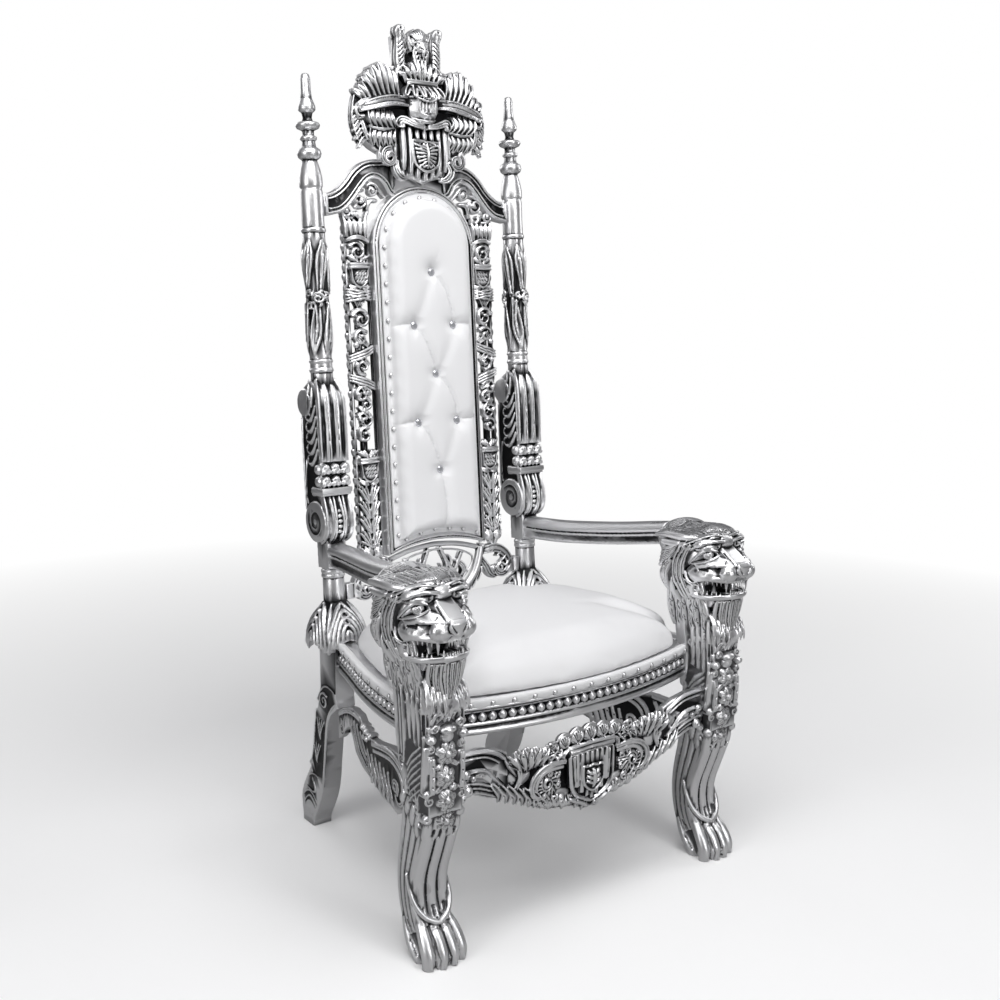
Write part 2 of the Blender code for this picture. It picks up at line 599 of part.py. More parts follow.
def front_rail():
    """The front rail, its beads as low knobs sunk in the hollow of the moulding."""
    work = bar(front_path, [(-a, b) for a, b in reversed(FRONT_SECTION)], 0.036, RAIL_HEIGHT)
    rail = piece_from(work, "seat_rail_front")
    beads = bmesh.new()
    count = 22
    for k in range(count):
        x, y, z = bow(-0.965 + 1.93 * k / (count - 1), FRONT_HALF, FRONT_END_Y, FRONT_BOW,
                      RAIL_MIDDLE - 0.007)
        bmesh.ops.create_cone(beads, cap_ends=True, segments=4, radius1=0.0095, radius2=0.0055,
                              depth=0.016,
                              matrix=Matrix.Translation((x, y - 0.0155, z)) @ TO_FRONT)
    row = cutter("bead_row", beads)
    join = rail.modifiers.new("beads", "BOOLEAN")
    join.operation = "UNION"
    join.object = row
    return rail


front_rail()
for side, made in legs.items():
    cut(made, (-0.3302, -0.268, RAIL_Z - GAP), (0.3302, -0.10, RAIL_TOP + GAP), "front_rail_seat")

SIDE_SECTION = [(-0.5, -0.5), (0.40, -0.5), (0.5, -0.40), (0.5, -0.16), (0.42, -0.1), (0.42, 0.16),
                (0.5, 0.22), (0.5, 0.5), (-0.5, 0.5)]
for label, side in (("left", -1), ("right", 1)):
    route = [(0.266, 0.203, RAIL_MIDDLE), (0.288, 0.120, RAIL_MIDDLE), (0.318, 0.010, RAIL_MIDDLE),
             (0.338, -0.100, RAIL_MIDDLE), (0.346, -0.2165, RAIL_MIDDLE)]
    rail = piece_from(bar(route, [(-a, b) for a, b in reversed(SIDE_SECTION)], 0.034, RAIL_HEIGHT),
                      "seat_rail_" + label, SILVER_LEAF, mirrored(side))
    cut(rail, (-1, 0.2034, 0), (1, 1, 1), "rear_end")
    cut(rail, (-1, -1, 0), (1, SIDE_END_Y, 1), "front_end")
    cut(legs[side], (0.20, SIDE_END_Y - GAP, RAIL_Z - GAP), (0.3645, -0.10, RAIL_TOP + GAP),
        "side_rail_seat",
        mirrored(side))
REAR_HALF = SEAT_INNER - GAP
piece_from(box_form((-REAR_HALF, 0.212, RAIL_Z), (REAR_HALF, 0.240, RAIL_TOP)), "seat_rail_back")


def seat_cushion():
    """A domed cushion that fills the frame and rests on its rails."""
    form = bmesh.new()
    outline = [(-0.230, 0.205), (0.230, 0.205), (0.262, 0.165), (0.300, 0.070), (0.330, -0.040),
               (0.345, -0.130), (0.342, -0.205), (0.310, -0.235)]
    outline += [bow(1 - k / 4, 0.30, FRONT_END_Y - 0.018, FRONT_BOW, 0)[:2] for k in range(1, 5)]
    outline += [(-x, y) for x, y in outline[:1:-1] if x > 0]
    base = [form.verts.new((x, y, RAIL_TOP + GAP)) for x, y in outline]
    face = form.faces.new(base)
    rise = ((0.010, 1.0), (0.030, 0.995), (0.058, 0.93), (0.080, 0.76), (0.092, 0.48))
    rings = [base]
    centre = Vector((0, -0.06, 0))
    for height, share in rise:
        rings.append([form.verts.new((centre.x + (x - centre.x) * share,
                                      centre.y + (y - centre.y) * share,
                                      RAIL_TOP + height)) for x, y in outline])
    count = len(outline)
    for one, two in zip(rings, rings[1:]):
        for k in range(count):
            form.faces.new((one[k], one[(k + 1) % count], two[(k + 1) % count], two[k]))
    top = form.verts.new((centre.x, centre.y, SEAT_CROWN))
    last = rings[-1]
    for k in range(count):
        form.faces.new((last[k], last[(k + 1) % count], top))
    bmesh.ops.recalc_face_normals(form, faces=form.faces)
    return piece_from(form, "seat_cushion", WHITE_HIDE)


cushion = seat_cushion()
for label, side in (("left", -1), ("right", 1)):
    cut(cushion, (0.294, -0.42, 0.4), (0.5, -0.185, 0.7), "leg_room_" + label, mirrored(side))
    ring = turned_form([(0, 0.4), (SKIRT_ROOM, 0.4), (SKIRT_ROOM, 0.7), (0, 0.7)], (side * POST_X, 0), 20)
    carve(cushion, cutter("post_room_" + label, ring, BACK))


# Back: an arched moulding round a tufted panel, with an upholstered board behind it.
def arch(half, top, bottom, dip, steps=10):
    """An arched outline in X and Z, with a low arch cut up into its foot."""
    rise = top - half
    points = [(half * math.cos(math.pi * k / steps), rise + half * math.sin(math.pi * k / steps))
              for k in range(steps + 1)]
    points += [(-half, bottom)]
    points += [(-half * 0.5, bottom + dip * 0.8), (0, bottom + dip), (half * 0.5, bottom + dip * 0.8)]
    points += [(half, bottom)]
    return points


def arch_frame():
    """The moulding: a stepped section between an outer and an inner arch."""
    form = bmesh.new()
    rings = []
    steps = ((0.0, 0.016), (0.0, -0.018), (0.004, -0.024), (0.009, -0.024), (0.0125, -0.018),
             (MOULDING, -0.018), (MOULDING, 0.016))
    for inset, depth in steps:
        outline = arch(FRAME_HALF - inset, FRAME_TOP - inset, FRAME_BOTTOM + inset, FRAME_DIP)
        rings.append([form.verts.new((x, depth, z)) for x, z in outline])
    count = len(rings[0])
    for index in range(len(rings)):
        one, two = rings[index], rings[(index + 1) % len(rings)]
        for k in range(count):
            form.faces.new((one[k], one[(k + 1) % count], two[(k + 1) % count], two[k]))
    bmesh.ops.recalc_face_normals(form, faces=form.faces)
    return piece_from(form, "back_frame", SILVER_LEAF, BACK)


arch_frame()


def crowned_panel(name, material, front, rear, inset, crown):
    """A cushion in the arch: full in the middle and thin at its edge."""
    form = bmesh.new()
    rings = []
    sizes = ((0.0, rear), (0.0, front), (0.012, front - crown * 0.55), (0.040, front - crown * 0.9),
             (0.080, front - crown))
    for shrink, depth in sizes:
        gone = inset + shrink
        outline = arch(FRAME_HALF - gone, FRAME_TOP - gone, FRAME_BOTTOM + gone, FRAME_DIP)
        rings.append([form.verts.new((x, depth, z)) for x, z in outline])
    count = len(rings[0])
    for one, two in zip(rings, rings[1:]):
        for k in range(count):
            form.faces.new((one[k], one[(k + 1) % count], two[(k + 1) % count], two[k]))
    form.faces.new(rings[0])
    form.faces.new(rings[-1])
    bmesh.ops.recalc_face_normals(form, faces=form.faces)
    bmesh.ops.triangulate(form, faces=[face for face in form.faces if len(face.verts) > 4])
    return piece_from(form, name, material, BACK)


BUTTONS = [(0.0, 1.268), (0.0, 1.043), (0.0, 0.826), (-0.052, 1.151), (-0.052, 0.935), (0.052, 1.151),
           (0.052, 0.935)]
CUSHION_FACE = -0.052
BUTTON_SINK = 0.0135
padding = crowned_panel("back_cushion", WHITE_HIDE, -0.022, 0.004, MOULDING + GAP,
                        CUSHION_FACE * -1 - 0.022)
crowned_panel("back_panel", WHITE_HIDE, 0.0043, 0.013, MOULDING + GAP, -0.001)
for index, (x, z) in enumerate(BUTTONS, start=1):
    well = bmesh.new()
    bmesh.ops.create_cone(well, cap_ends=True, segments=6, radius1=0.0092, radius2=0.024, depth=0.016,
                          matrix=Matrix.Translation((x, CUSHION_FACE + BUTTON_SINK - 0.008, z)) @ TO_FRONT)
    carve(padding, cutter("well_%d" % index, well, BACK))
    stud = bmesh.new()
    bmesh.ops.create_cone(stud, cap_ends=True, segments=6, radius1=0.0085, radius2=0.0045, depth=0.008,
                          matrix=Matrix.Translation((x, CUSHION_FACE + BUTTON_SINK - 0.0043, z)) @ TO_FRONT)
    piece_from(stud, "button_%d" % index, CRYSTAL_GLASS, BACK)


# Crest rail: a swan-necked board between the posts, with a raised border on its face.
RAIL_TOP_LINE = [(0.2408, 1.434), (0.222, 1.438), (0.205, 1.447), (0.188, 1.463), (0.172, 1.482),
                 (0.155, 1.496), (0.135, 1.507), (0.110, 1.513), (0.060, 1.516)]
RAIL_LOW_LINE = [(0.060, FRAME_TOP + 0.0015 - 0.0145), (0.088, 1.4335), (0.106, 1.4415), (0.118, 1.466),
                 (0.134, 1.464),
                 (0.150, 1.448), (0.166, 1.427), (0.184, 1.408), (0.206, 1.394), (0.2408, 1.387)]


def crest_rail():
    """The board between the posts with its raised borders, cut away over the arch."""
    line = [(0, 1.516), *reversed(RAIL_TOP_LINE)]
    line += list(reversed(RAIL_LOW_LINE))
    line += [(0, FRAME_TOP + 0.001)]
    outline = line + [(-x, z) for x, z in reversed(line) if x > 0]
    board = piece_from(slab_form(outline, -0.012, 0.014), "crest_rail", SILVER_LEAF, BACK)
    trims = bmesh.new()
    for hand in (-1, 1):
        for edge, offset in ((RAIL_TOP_LINE[:7:2], -0.006), (RAIL_LOW_LINE[5:], 0.0085)):
            ribbon = [(x * hand, z + offset) for x, z in edge]
            below = [(x * hand, z + offset - 0.007) for x, z in reversed(edge)]
            strip = slab_form(ribbon + below, -0.019, -0.008)
            mesh = bpy.data.meshes.new("strip")
            strip.to_mesh(mesh)
            strip.free()
            trims.from_mesh(mesh)
            bpy.data.meshes.remove(mesh)
    join = board.modifiers.new("border", "BOOLEAN")
    join.operation = "UNION"
    join.object = cutter("rail_border", trims, BACK)
    outer = arch(FRAME_HALF + 0.001, FRAME_TOP + 0.001, FRAME_BOTTOM, FRAME_DIP)
    carve(board, cutter("arch_room", slab_form(outer, -0.1, 0.1), BACK))
    return board


crest_rail()


# Crest carving: helmet with coronet, horns and a feathered mantle over a striped shield.
CREST_FACE = -0.030
HORN_X = 0.049


def crest_carving():
    """The whole crest as one carving, seated on the face of the crest rail."""
    work = Carving(BACK)
    front = CREST_FACE
    work.slab([(-0.060, 1.585), (0.060, 1.585), (0.062, 1.500), (0.046, 1.478), (0.018, 1.470),
               (0.0, 1.460), (-0.018, 1.470), (-0.046, 1.478), (-0.062, 1.500)], front - 0.006, -0.0123)
    paths = []
    for k in range(4):
        x = 0.0095 + 0.0165 * k
        foot = 1.468 + 0.008 * k
        paths.append([(x, front - 0.010, 1.582, 0.0055), (x, front - 0.014, 1.53, 0.0060),
                      (x, front - 0.010, foot + 0.008, 0.0050)])
    for k in range(7):
        part = k / 6
        x = 0.060 + 0.062 * part
        top = 1.655 + 0.055 * math.sin(math.pi * (0.35 + 0.5 * (1 - part)))
        paths.append([(x * 0.8, front, 1.628, 0.0075), (x, front - 0.004, (1.632 + top) / 2, 0.0085),
                      (x * 1.04 + 0.004, front + 0.004, top - 0.006, 0.0075),
                      (x * 1.04 + 0.008, front + 0.008, top, 0.004)])
    paths.append([(0.050, front, 1.632, 0.009), (0.105, front - 0.014, 1.634, 0.011),
                  (0.150, front - 0.006, 1.618, 0.011),
                  (0.158, front + 0.004, 1.592, 0.009), (0.140, front - 0.004, 1.584, 0.007)])
    for k in range(6):
        x = 0.068 + 0.016 * k
        paths.append([(x, front - 0.004, 1.612, 0.0075), (x + 0.003, front - 0.012, 1.592, 0.0085),
                      (x - 0.006, front - 0.004, 1.574, 0.005)])
    for k in range(6):
        x = 0.074 + 0.015 * k
        paths.append([(x, front + 0.002, 1.572, 0.0065), (x + 0.002, front - 0.006, 1.548, 0.0075),
                      (x - 0.004, front + 0.002, 1.524 - 0.006 * math.sin(k), 0.004)])
    for k in range(4):
        z = 1.545 - 0.020 * k
        paths.append([(0.064, front + 0.004, z + 0.010, 0.007),
                      (0.098 - 0.006 * k, front - 0.004, z + 0.002, 0.0085),
                      (0.112 - 0.010 * k, front + 0.004, z - 0.018, 0.007),
                      (0.086 - 0.008 * k, front, z - 0.022, 0.005)])
    paths.append([(0.162, front + 0.010, 1.640, 0.007), (0.176, front + 0.012, 1.600, 0.010),
                  (0.168, front + 0.010, 1.560, 0.008), (0.172, front + 0.012, 1.530, 0.006)])
    for k in range(5):
        x = 0.008 + 0.0115 * k
        paths.append([(x * 0.75, front, 1.684, 0.007), (x, front - 0.008, 1.705, 0.0075),
                      (x * 1.35, front - 0.004, 1.732 - 0.0045 * k, 0.0045)])
    paths.append([(HORN_X * 0.9, -0.022, 1.715, 0.011), (HORN_X, -0.024, 1.745, 0.010),
                  (HORN_X * 0.98, -0.024, 1.775, 0.0095), (HORN_X, -0.024, 1.786, 0.010)])
    paths.append([(HORN_X - 0.009, -0.032, 1.720, 0.005), (HORN_X + 0.003, -0.036, 1.740, 0.005),
                  (HORN_X - 0.008, -0.034, 1.762, 0.005)])
    work.strands(mirror_paths(paths))
    for hand in (-1, 1):
        work.ball((hand * 0.048, -0.024, 1.788), (0.0145, 0.015, 0.013))
        work.ball((hand * 0.052, front - 0.006, 1.588), (0.014, 0.012, 0.010))
        work.ball((hand * 0.156, front + 0.002, 1.600), (0.014, 0.016, 0.018))
    work.slab([(-0.150, 1.640), (-0.110, 1.700), (-0.060, 1.705), (-0.030, 1.770), (0.030, 1.770),
               (0.060, 1.705),
               (0.110, 1.700), (0.150, 1.640), (0.165, 1.590), (0.150, 1.530), (0.100, 1.500),
               (0.070, 1.480),
               (-0.070, 1.480), (-0.100, 1.500), (-0.150, 1.530), (-0.165, 1.590)], -0.028, -0.0123)
    work.slab([(-0.044, 1.520), (0.044, 1.520), (0.044, 1.6), (-0.044, 1.6)], -0.030, 0.0)
    work.block((-0.040, front - 0.016, 1.669), (0.040, front + 0.004, 1.684))
    work.ball((0, front - 0.002, 1.640), (0.038, 0.028, 0.038))
    work.ball((0, front - 0.012, 1.612), (0.026, 0.024, 0.024))
    work.ball((0, -0.030, 1.762), (0.020, 0.022, 0.024))
    work.ball((0, -0.040, 1.742), (0.013, 0.016, 0.014))
    comb = [[(0.0, -0.030, 1.784, 0.006), (0.0, -0.026, 1.796, 0.003)]]
    for k in range(3):
        x = 0.006 + 0.006 * k
        comb.append([(x, -0.036, 1.775 - 0.004 * k, 0.004), (x * 1.3, -0.040, 1.790 - 0.006 * k, 0.003)])
    comb.append([(0.004, -0.052, 1.640, 0.004), (0.030, -0.046, 1.642, 0.005),
                 (0.044, -0.032, 1.650, 0.004)])
    comb.append([(0.0, -0.058, 1.624, 0.005), (0.020, -0.050, 1.636, 0.005)])
    work.strands(mirror_paths(comb))
    inner = [(-0.032, 1.550), (0.032, 1.550), (0.032, 1.505), (0.016, 1.487), (0, 1.478),
             (-0.016, 1.487), (-0.032, 1.505)]
    work.slab(inner, front - 0.019, front)
    rim = [(x, front - 0.019, z, 0.0028) for x, z in inner + inner[:1]]
    bird = [[(0, front - 0.021, 1.542, 0.005), (0, front - 0.023, 1.520, 0.0065),
             (0, front - 0.021, 1.495, 0.004)]]
    for hand in (-1, 1):
        for k in range(4):
            bird.append([(0, front - 0.021, 1.528 - 0.004 * k, 0.004),
                         (hand * 0.012, front - 0.022, 1.532 - 0.008 * k, 0.004),
                         (hand * 0.024, front - 0.021, 1.538 - 0.012 * k, 0.003)])
    work.strands([rim] + bird)
    made = work.fuse("crest_carving", 0.0024, 840)
    cut(made, (-0.3, -0.0123, 1.40), (0.3, 0.1, 1.5165), "rail_face", BACK)
    return made


crest_carving()


# Pierced side strips between the arch and the posts: scrolls, shields and husks one above another.
STRIP_X = 0.168


def strip(name, side):
    """One fretwork; X runs outwards from the middle of the strip."""
    work = Carving(BACK @ Matrix.Translation((side * STRIP_X, 0.001, 0)) @ Matrix.Diagonal((side, 1, 1,
                                                                                            1)))
    deep = Matrix.Diagonal((1, 2.0, 1, 1))
    y = -0.003
    paths = []
    for k in range(4):
        x = -0.024 + 0.016 * k
        paths.append([(x, y, 1.382, 0.006), (x * 1.05, y, 1.362, 0.0065), (x, y, 1.344, 0.0055)])
    paths.append([(-0.030, y, 1.338, 0.0055), (0.0, y, 1.343, 0.006), (0.030, y, 1.338, 0.0055)])
    for z, size, hand, start in ((1.318, 0.021, 1, 3.6), (1.168, 0.026, -1, 0.5), (1.143, 0.020, 1, 3.9),
                                 (1.083, 0.024, 1, 2.6), (1.005, 0.022, -1, 0.4), (0.944, 0.024, 1, 2.4),
                                 (0.916, 0.017, -1, 0.6)):
        paths.append(volute(0, y, z, size, 1.15, start, 0.0066, hand=hand))
    for z in (1.288, 0.882):
        paths.append([(-0.029, y, z, 0.0058), (0.029, y, z, 0.0058)])
        paths.append([(-0.027, y, z - 0.013, 0.0048), (0.027, y, z - 0.013, 0.0048)])
        work.slab([(-0.024, z - 0.010), (0.024, z - 0.010), (0.024, z - 0.045), (0.0, z - 0.060),
                   (-0.024, z - 0.045)],
                  -0.014, 0.012)
        for hand in (-1, 1):
            paths.append([(0, y, z + 0.004, 0.006), (hand * 0.016, y, z + 0.014, 0.006),
                          (hand * 0.029, y, z + 0.022, 0.004)])
            paths.append([(hand * 0.004, y, z - 0.056, 0.006), (hand * 0.022, y, z - 0.066, 0.0065),
                          (hand * 0.016, y, z - 0.086, 0.005)])
    for z in (1.208, 1.118, 1.045, 0.978):
        for hand in (-1, 1):
            paths.append([(-hand * 0.004, y, z - 0.014, 0.0055), (hand * 0.014, y, z - 0.004, 0.0065),
                          (hand * 0.027, y, z + 0.012, 0.004)])
            paths.append([(0, y, z, 0.0055), (hand * 0.012, y, z + 0.014, 0.006),
                          (hand * 0.018, y, z + 0.026, 0.004)])
    for k in range(5):
        z = 0.806 - 0.034 * k
        for hand in (-1, 1):
            for spread in (0.55, 1.0):
                paths.append([(hand * 0.003, y - 0.001, z - 0.020, 0.0062),
                              (hand * 0.013 * spread, y - 0.002, z, 0.007),
                              (hand * 0.028 * spread, y, z + 0.016, 0.0045)])
    for hand in (-1, 1):
        paths.append([(hand * 0.010, y, 0.660, 0.010), (hand * 0.014, y, 0.642, 0.010),
                      (hand * 0.010, y, 0.622, 0.007)])
    paths.append([(0.0, y, 0.830, 0.006), (0.0, y, 0.72, 0.007), (0.0, y, 0.64, 0.007)])
    paths.append([(-0.028, y + 0.003, 1.345, 0.0042), (-0.030, y + 0.003, 1.1, 0.0042),
                  (-0.030, y + 0.003, 0.9, 0.0042), (-0.030, y + 0.003, 0.63, 0.0042)])
    work.strands(paths, deep)
    for z in (1.168, 1.083, 0.944):
        work.ball((-0.004, -0.010, z), (0.009, 0.012, 0.010))
    paths = [volute(-0.012, y, 1.423, 0.024, 1.2, 3.0, 0.006),
             volute(0.014, y, 1.404, 0.017, 1.1, 0.2, 0.0055, hand=-1),
             [(-0.034, y, 1.452, 0.005), (-0.018, y, 1.446, 0.006), (0.0, y, 1.437, 0.006),
              (0.016, y, 1.424, 0.006), (0.030, y, 1.407, 0.005)],
             [(-0.038, y, 1.425, 0.005), (-0.040, y, 1.405, 0.0055), (-0.030, y, 1.386, 0.006)],
             [(0.030, y, 1.398, 0.0055), (0.024, y, 1.384, 0.006), (0.010, y, 1.380, 0.006)]]
    work.strands(paths, deep)
    made = work.fuse(name, 0.0022, 440)
    return made


strips = {-1: strip("fretwork_left", -1), 1: strip("fretwork_right", 1)}
for side, made in strips.items():
    carve(made, cutter("frame_room", slab_form(arch(FRAME_HALF + GAP, FRAME_TOP + GAP,
                                                    FRAME_BOTTOM - 0.1, FRAME_DIP),
                                               -0.1, 0.1), BACK))
    edge = [(0.0, 1.60), (0.30, 1.60), (0.30, 1.3867)]
    edge += [(x, z - GAP * 1.5) for x, z in reversed(RAIL_LOW_LINE)]
    edge += [(0.0, RAIL_LOW_LINE[0][1])]
    carve(made, cutter("rail_room", slab_form(edge, -0.1, 0.1), BACK @ mirrored(side)))


# Lower back rail: pierced leaf work under the arch, with a scroll out to each post.
def lower_back_rail():
    """The pierced rail under the arch, fitted to the posts, the moulding and the rear rail."""
    work = Carving(BACK)
    deep = Matrix.Diagonal((1, 2.0, 1, 1))
    y = 0.0
    paths = []
    foot = FRAME_BOTTOM - 0.008
    paths.append([(-0.132, y, foot - 0.006, 0.0075), (-0.067, y, foot + 0.009, 0.0075),
                  (0.0, y, foot + 0.017, 0.0075),
                  (0.067, y, foot + 0.009, 0.0075), (0.132, y, foot - 0.006, 0.0075)])
    for hand in (-1, 1):
        paths.append([(hand * 0.130, y, 0.628, 0.010), (hand * 0.122, y, 0.598, 0.0095),
                      (hand * 0.104, y, 0.560, 0.0095),
                      (hand * 0.078, y, 0.528, 0.010), (hand * 0.050, y, 0.508, 0.009)])
        paths.append([(hand * 0.118, y, 0.575, 0.007), (hand * 0.108, y, 0.545, 0.0085),
                      (hand * 0.096, y, 0.520, 0.005)])
        paths.append([(hand * 0.120, y, 0.612, 0.010), (hand * 0.150, y, 0.606, 0.011),
                      (hand * 0.170, y, 0.620, 0.008)])
        paths.append([(hand * 0.138, y, 0.622, 0.007), (hand * 0.165, y, 0.630, 0.0085),
                      (hand * 0.196, y, 0.616, 0.0095),
                      (hand * 0.215, y, 0.584, 0.010), (hand * 0.204, y, 0.557, 0.0095),
                      (hand * 0.184, y, 0.552, 0.008),
                      (hand * 0.176, y, 0.570, 0.007), (hand * 0.190, y, 0.582, 0.005)])
        paths.append([(hand * 0.130, y, 0.600, 0.007), (hand * 0.148, y, 0.572, 0.0085),
                      (hand * 0.164, y, 0.556, 0.009), (hand * 0.182, y, 0.556, 0.006)])
        paths.append([(hand * 0.010, y, 0.512, 0.007), (hand * 0.036, y, 0.552, 0.0065),
                      (hand * 0.072, y, 0.606, 0.0055), (hand * 0.078, y, 0.632, 0.0055)])
        paths.append([(hand * 0.078, y, 0.545, 0.006), (hand * 0.050, y, 0.575, 0.0065),
                      (hand * 0.026, y, 0.618, 0.005), (hand * 0.018, y, 0.645, 0.0055)])
    paths.append([(-0.078, y, 0.520, 0.010), (0.0, y, 0.506, 0.012), (0.078, y, 0.520, 0.010)])
    work.strands(paths, deep)
    for hand in (-1, 1):
        work.block((min(hand * 0.208, hand * 0.250), -0.011, 0.554),
                   (max(hand * 0.208, hand * 0.250), 0.013, 0.592))
        work.block((min(hand * 0.030, hand * 0.046), -0.012, RAIL_TOP - 0.010),
                   (max(hand * 0.030, hand * 0.046), 0.012, 0.520))
    made = work.fuse("lower_back_rail", 0.0024, 350)
    for side in (-1, 1):
        wide = COLUMN_ROOM + 0.003
        room = [(0, 0.5), (0.036, 0.5), (0.036, 0.557), (COLUMN_ROOM, 0.559), (COLUMN_ROOM, 0.604),
                (wide, 0.606), (wide, 0.7), (0, 0.7)]
        post_face = turned_form(room, (side * POST_X, 0), 20)
        carve(made, cutter("column_room", post_face, BACK))
    under = arch(FRAME_HALF + GAP, FRAME_TOP, FRAME_BOTTOM - GAP, FRAME_DIP)
    carve(made, cutter("foot_room", slab_form(under, -0.1, 0.1), BACK))
    cut(made, (-0.4, 0.1, 0.4), (0.4, 0.4, RAIL_TOP + GAP), "rail_face")
    return made


lower_rail = lower_back_rail()
for side, made in strips.items():
    cut(made, (-0.4, -0.1, 0.5), (0.4, 0.1, STRIP_FOOT), "strip_foot", BACK)
cut(lower_rail, (FRAME_HALF + 0.0004, -0.1, STRIP_FOOT - GAP), (0.4, 0.1, 0.8), "strip_room_right", BACK)
cut(lower_rail, (-0.4, -0.1, STRIP_FOOT - GAP), (-FRAME_HALF - 0.0004, 0.1, 0.8), "strip_room_left", BACK)


# Front apron: shield, shell lobes and C-scrolls between the knees, pierced beside the legs.
APRON_Y = -0.305
APRON_HALF = LEG_X - 0.0408


def front_apron():
    """The apron from knee to knee."""
    work = Carving(Matrix.Translation((0, APRON_Y, 0)))
    half = [(0.0, 0.392), (0.06, 0.380), (0.10, 0.374), (0.165, 0.372), (0.195, 0.384), (0.222, 0.372),
            (0.228, 0.336), (0.224, 0.300), (0.188, 0.278), (0.16, 0.261), (0.13, 0.246), (0.10, 0.231),
            (0.055, 0.222), (0.0, 0.206)]
    work.slab(half + [(-x, z) for x, z in reversed(half) if x > 0], -0.003, 0.011)
    for hand in (-1, 1):
        arm = [(0.215, 0.372), (0.243, 0.389), (0.276, 0.397), (0.325, 0.396), (0.325, 0.349),
               (0.262, 0.352), (0.215, 0.335)]
        work.slab([(x * hand, z) for x, z in arm], -0.010, 0.010)
    paths = []
    paths.append([(0.326, 0.0, 0.321, 0.013), (0.285, -0.002, 0.322, 0.0125),
                  (0.245, -0.003, 0.305, 0.012),
                  (0.205, -0.006, 0.284, 0.012), (0.150, -0.008, 0.262, 0.012),
                  (0.105, -0.008, 0.240, 0.010)])
    paths.append([(0.305, 0.0, 0.352, 0.006), (0.287, 0.0, 0.338, 0.006), (0.279, -0.003, 0.322, 0.007)])
    paths.append([(0.326, -0.008, 0.392, 0.006), (0.276, -0.010, 0.393, 0.006),
                  (0.243, -0.010, 0.384, 0.006), (0.222, -0.008, 0.368, 0.005)])
    paths.append([(0.326, -0.008, 0.353, 0.0055), (0.265, -0.010, 0.356, 0.0055),
                  (0.230, -0.010, 0.340, 0.006), (0.205, -0.008, 0.320, 0.005)])
    for k in range(6):
        x = 0.225 - 0.021 * k
        paths.append([(x + 0.012, -0.008, 0.314 - 0.007 * k, 0.005),
                      (x + 0.002, -0.013, 0.303 - 0.008 * k, 0.0075),
                      (x - 0.012, -0.006, 0.274 - 0.008 * k, 0.006)])
    for k in range(6):
        angle = math.radians(18 + 27 * k)
        paths.append([(0.166 + 0.012 * math.cos(angle), -0.008, 0.338 + 0.010 * math.sin(angle), 0.005),
                      (0.166 + 0.032 * math.cos(angle), -0.013, 0.340 + 0.028 * math.sin(angle), 0.0085),
                      (0.166 + 0.050 * math.cos(angle), -0.004, 0.340 + 0.044 * math.sin(angle), 0.006)])
    paths.append([(0.062, -0.013, 0.354, 0.007), (0.092, -0.015, 0.362, 0.008),
                  (0.130, -0.014, 0.352, 0.0085),
                  (0.150, -0.013, 0.325, 0.0085), (0.142, -0.014, 0.296, 0.0075),
                  (0.118, -0.013, 0.286, 0.006), (0.104, -0.012, 0.300, 0.005)])
    paths.append([(0.096, -0.006, 0.262, 0.007), (0.120, -0.014, 0.264, 0.0085),
                  (0.142, -0.012, 0.284, 0.006)])
    for k in range(4):
        x = 0.070 + 0.020 * k
        paths.append([(x - 0.008, -0.009, 0.318 - 0.004 * k, 0.005),
                      (x, -0.013, 0.286 - 0.002 * k, 0.008), (x + 0.006, -0.007, 0.256 + 0.004 * k, 0.006),
                      (x - 0.004, -0.004, 0.236 + 0.004 * k, 0.0065)])
    for k in range(5):
        x = 0.005 + 0.026 * k
        for lean in (-0.4, 0.4):
            paths.append([(x + 0.004, -0.006, 0.354, 0.005),
                          (x + 0.004 + 0.010 * lean, -0.013, 0.370, 0.0075),
                          (x + 0.004 + 0.024 * lean, -0.004, 0.388 - 0.004 * k, 0.0065)])
    for k in range(5):
        x = 0.012 + 0.022 * k
        paths.append([(x, -0.006, 0.232 + 0.003 * k, 0.006),
                      (x + 0.003, -0.011, 0.220 + 0.004 * k, 0.008),
                      (x - 0.004, -0.005, 0.209 + 0.004 * k, 0.005)])
    work.strands(mirror_paths(paths))
    for hand in (-1, 1):
        for centre, radii in flower(hand * 0.108, -0.008, 0.325, 0.015):
            work.ball(centre, radii)
        work.ball((hand * 0.304, -0.006, 0.352), (0.012, 0.010, 0.012))
        work.ball((hand * 0.290, -0.006, 0.322), (0.011, 0.010, 0.010))
    shield = [(-0.053, 0.340), (0.053, 0.340), (0.050, 0.262), (0.038, 0.240), (0.018, 0.232), (0, 0.220),
              (-0.018, 0.232), (-0.038, 0.240), (-0.050, 0.262)]
    work.slab(shield, -0.014, 0.0)
    work.block((-0.058, -0.020, 0.338), (0.058, 0.0, 0.352))
    inner = [(-0.030, 0.318), (0.030, 0.318), (0.030, 0.278), (0.016, 0.260), (0, 0.252),
             (-0.016, 0.260), (-0.030, 0.278)]
    work.slab(inner, -0.019, 0.0)
    stripes = []
    for x in (0.012, 0.030, 0.0475):
        stripes.append([(x, -0.014, 0.336, 0.005), (x, -0.016, 0.290, 0.0055),
                        (x, -0.014, 0.246 + x * 0.2, 0.004)])
    stripes.append([(0.0, -0.019, 0.306, 0.005), (0.012, -0.021, 0.292, 0.005),
                    (0.020, -0.019, 0.306, 0.003)])
    stripes.append([(0.0, -0.019, 0.292, 0.005), (0.010, -0.021, 0.274, 0.005),
                    (0.016, -0.019, 0.282, 0.003)])
    work.strands(mirror_paths(stripes))
    return work.fuse("front_apron", 0.0024, 670)


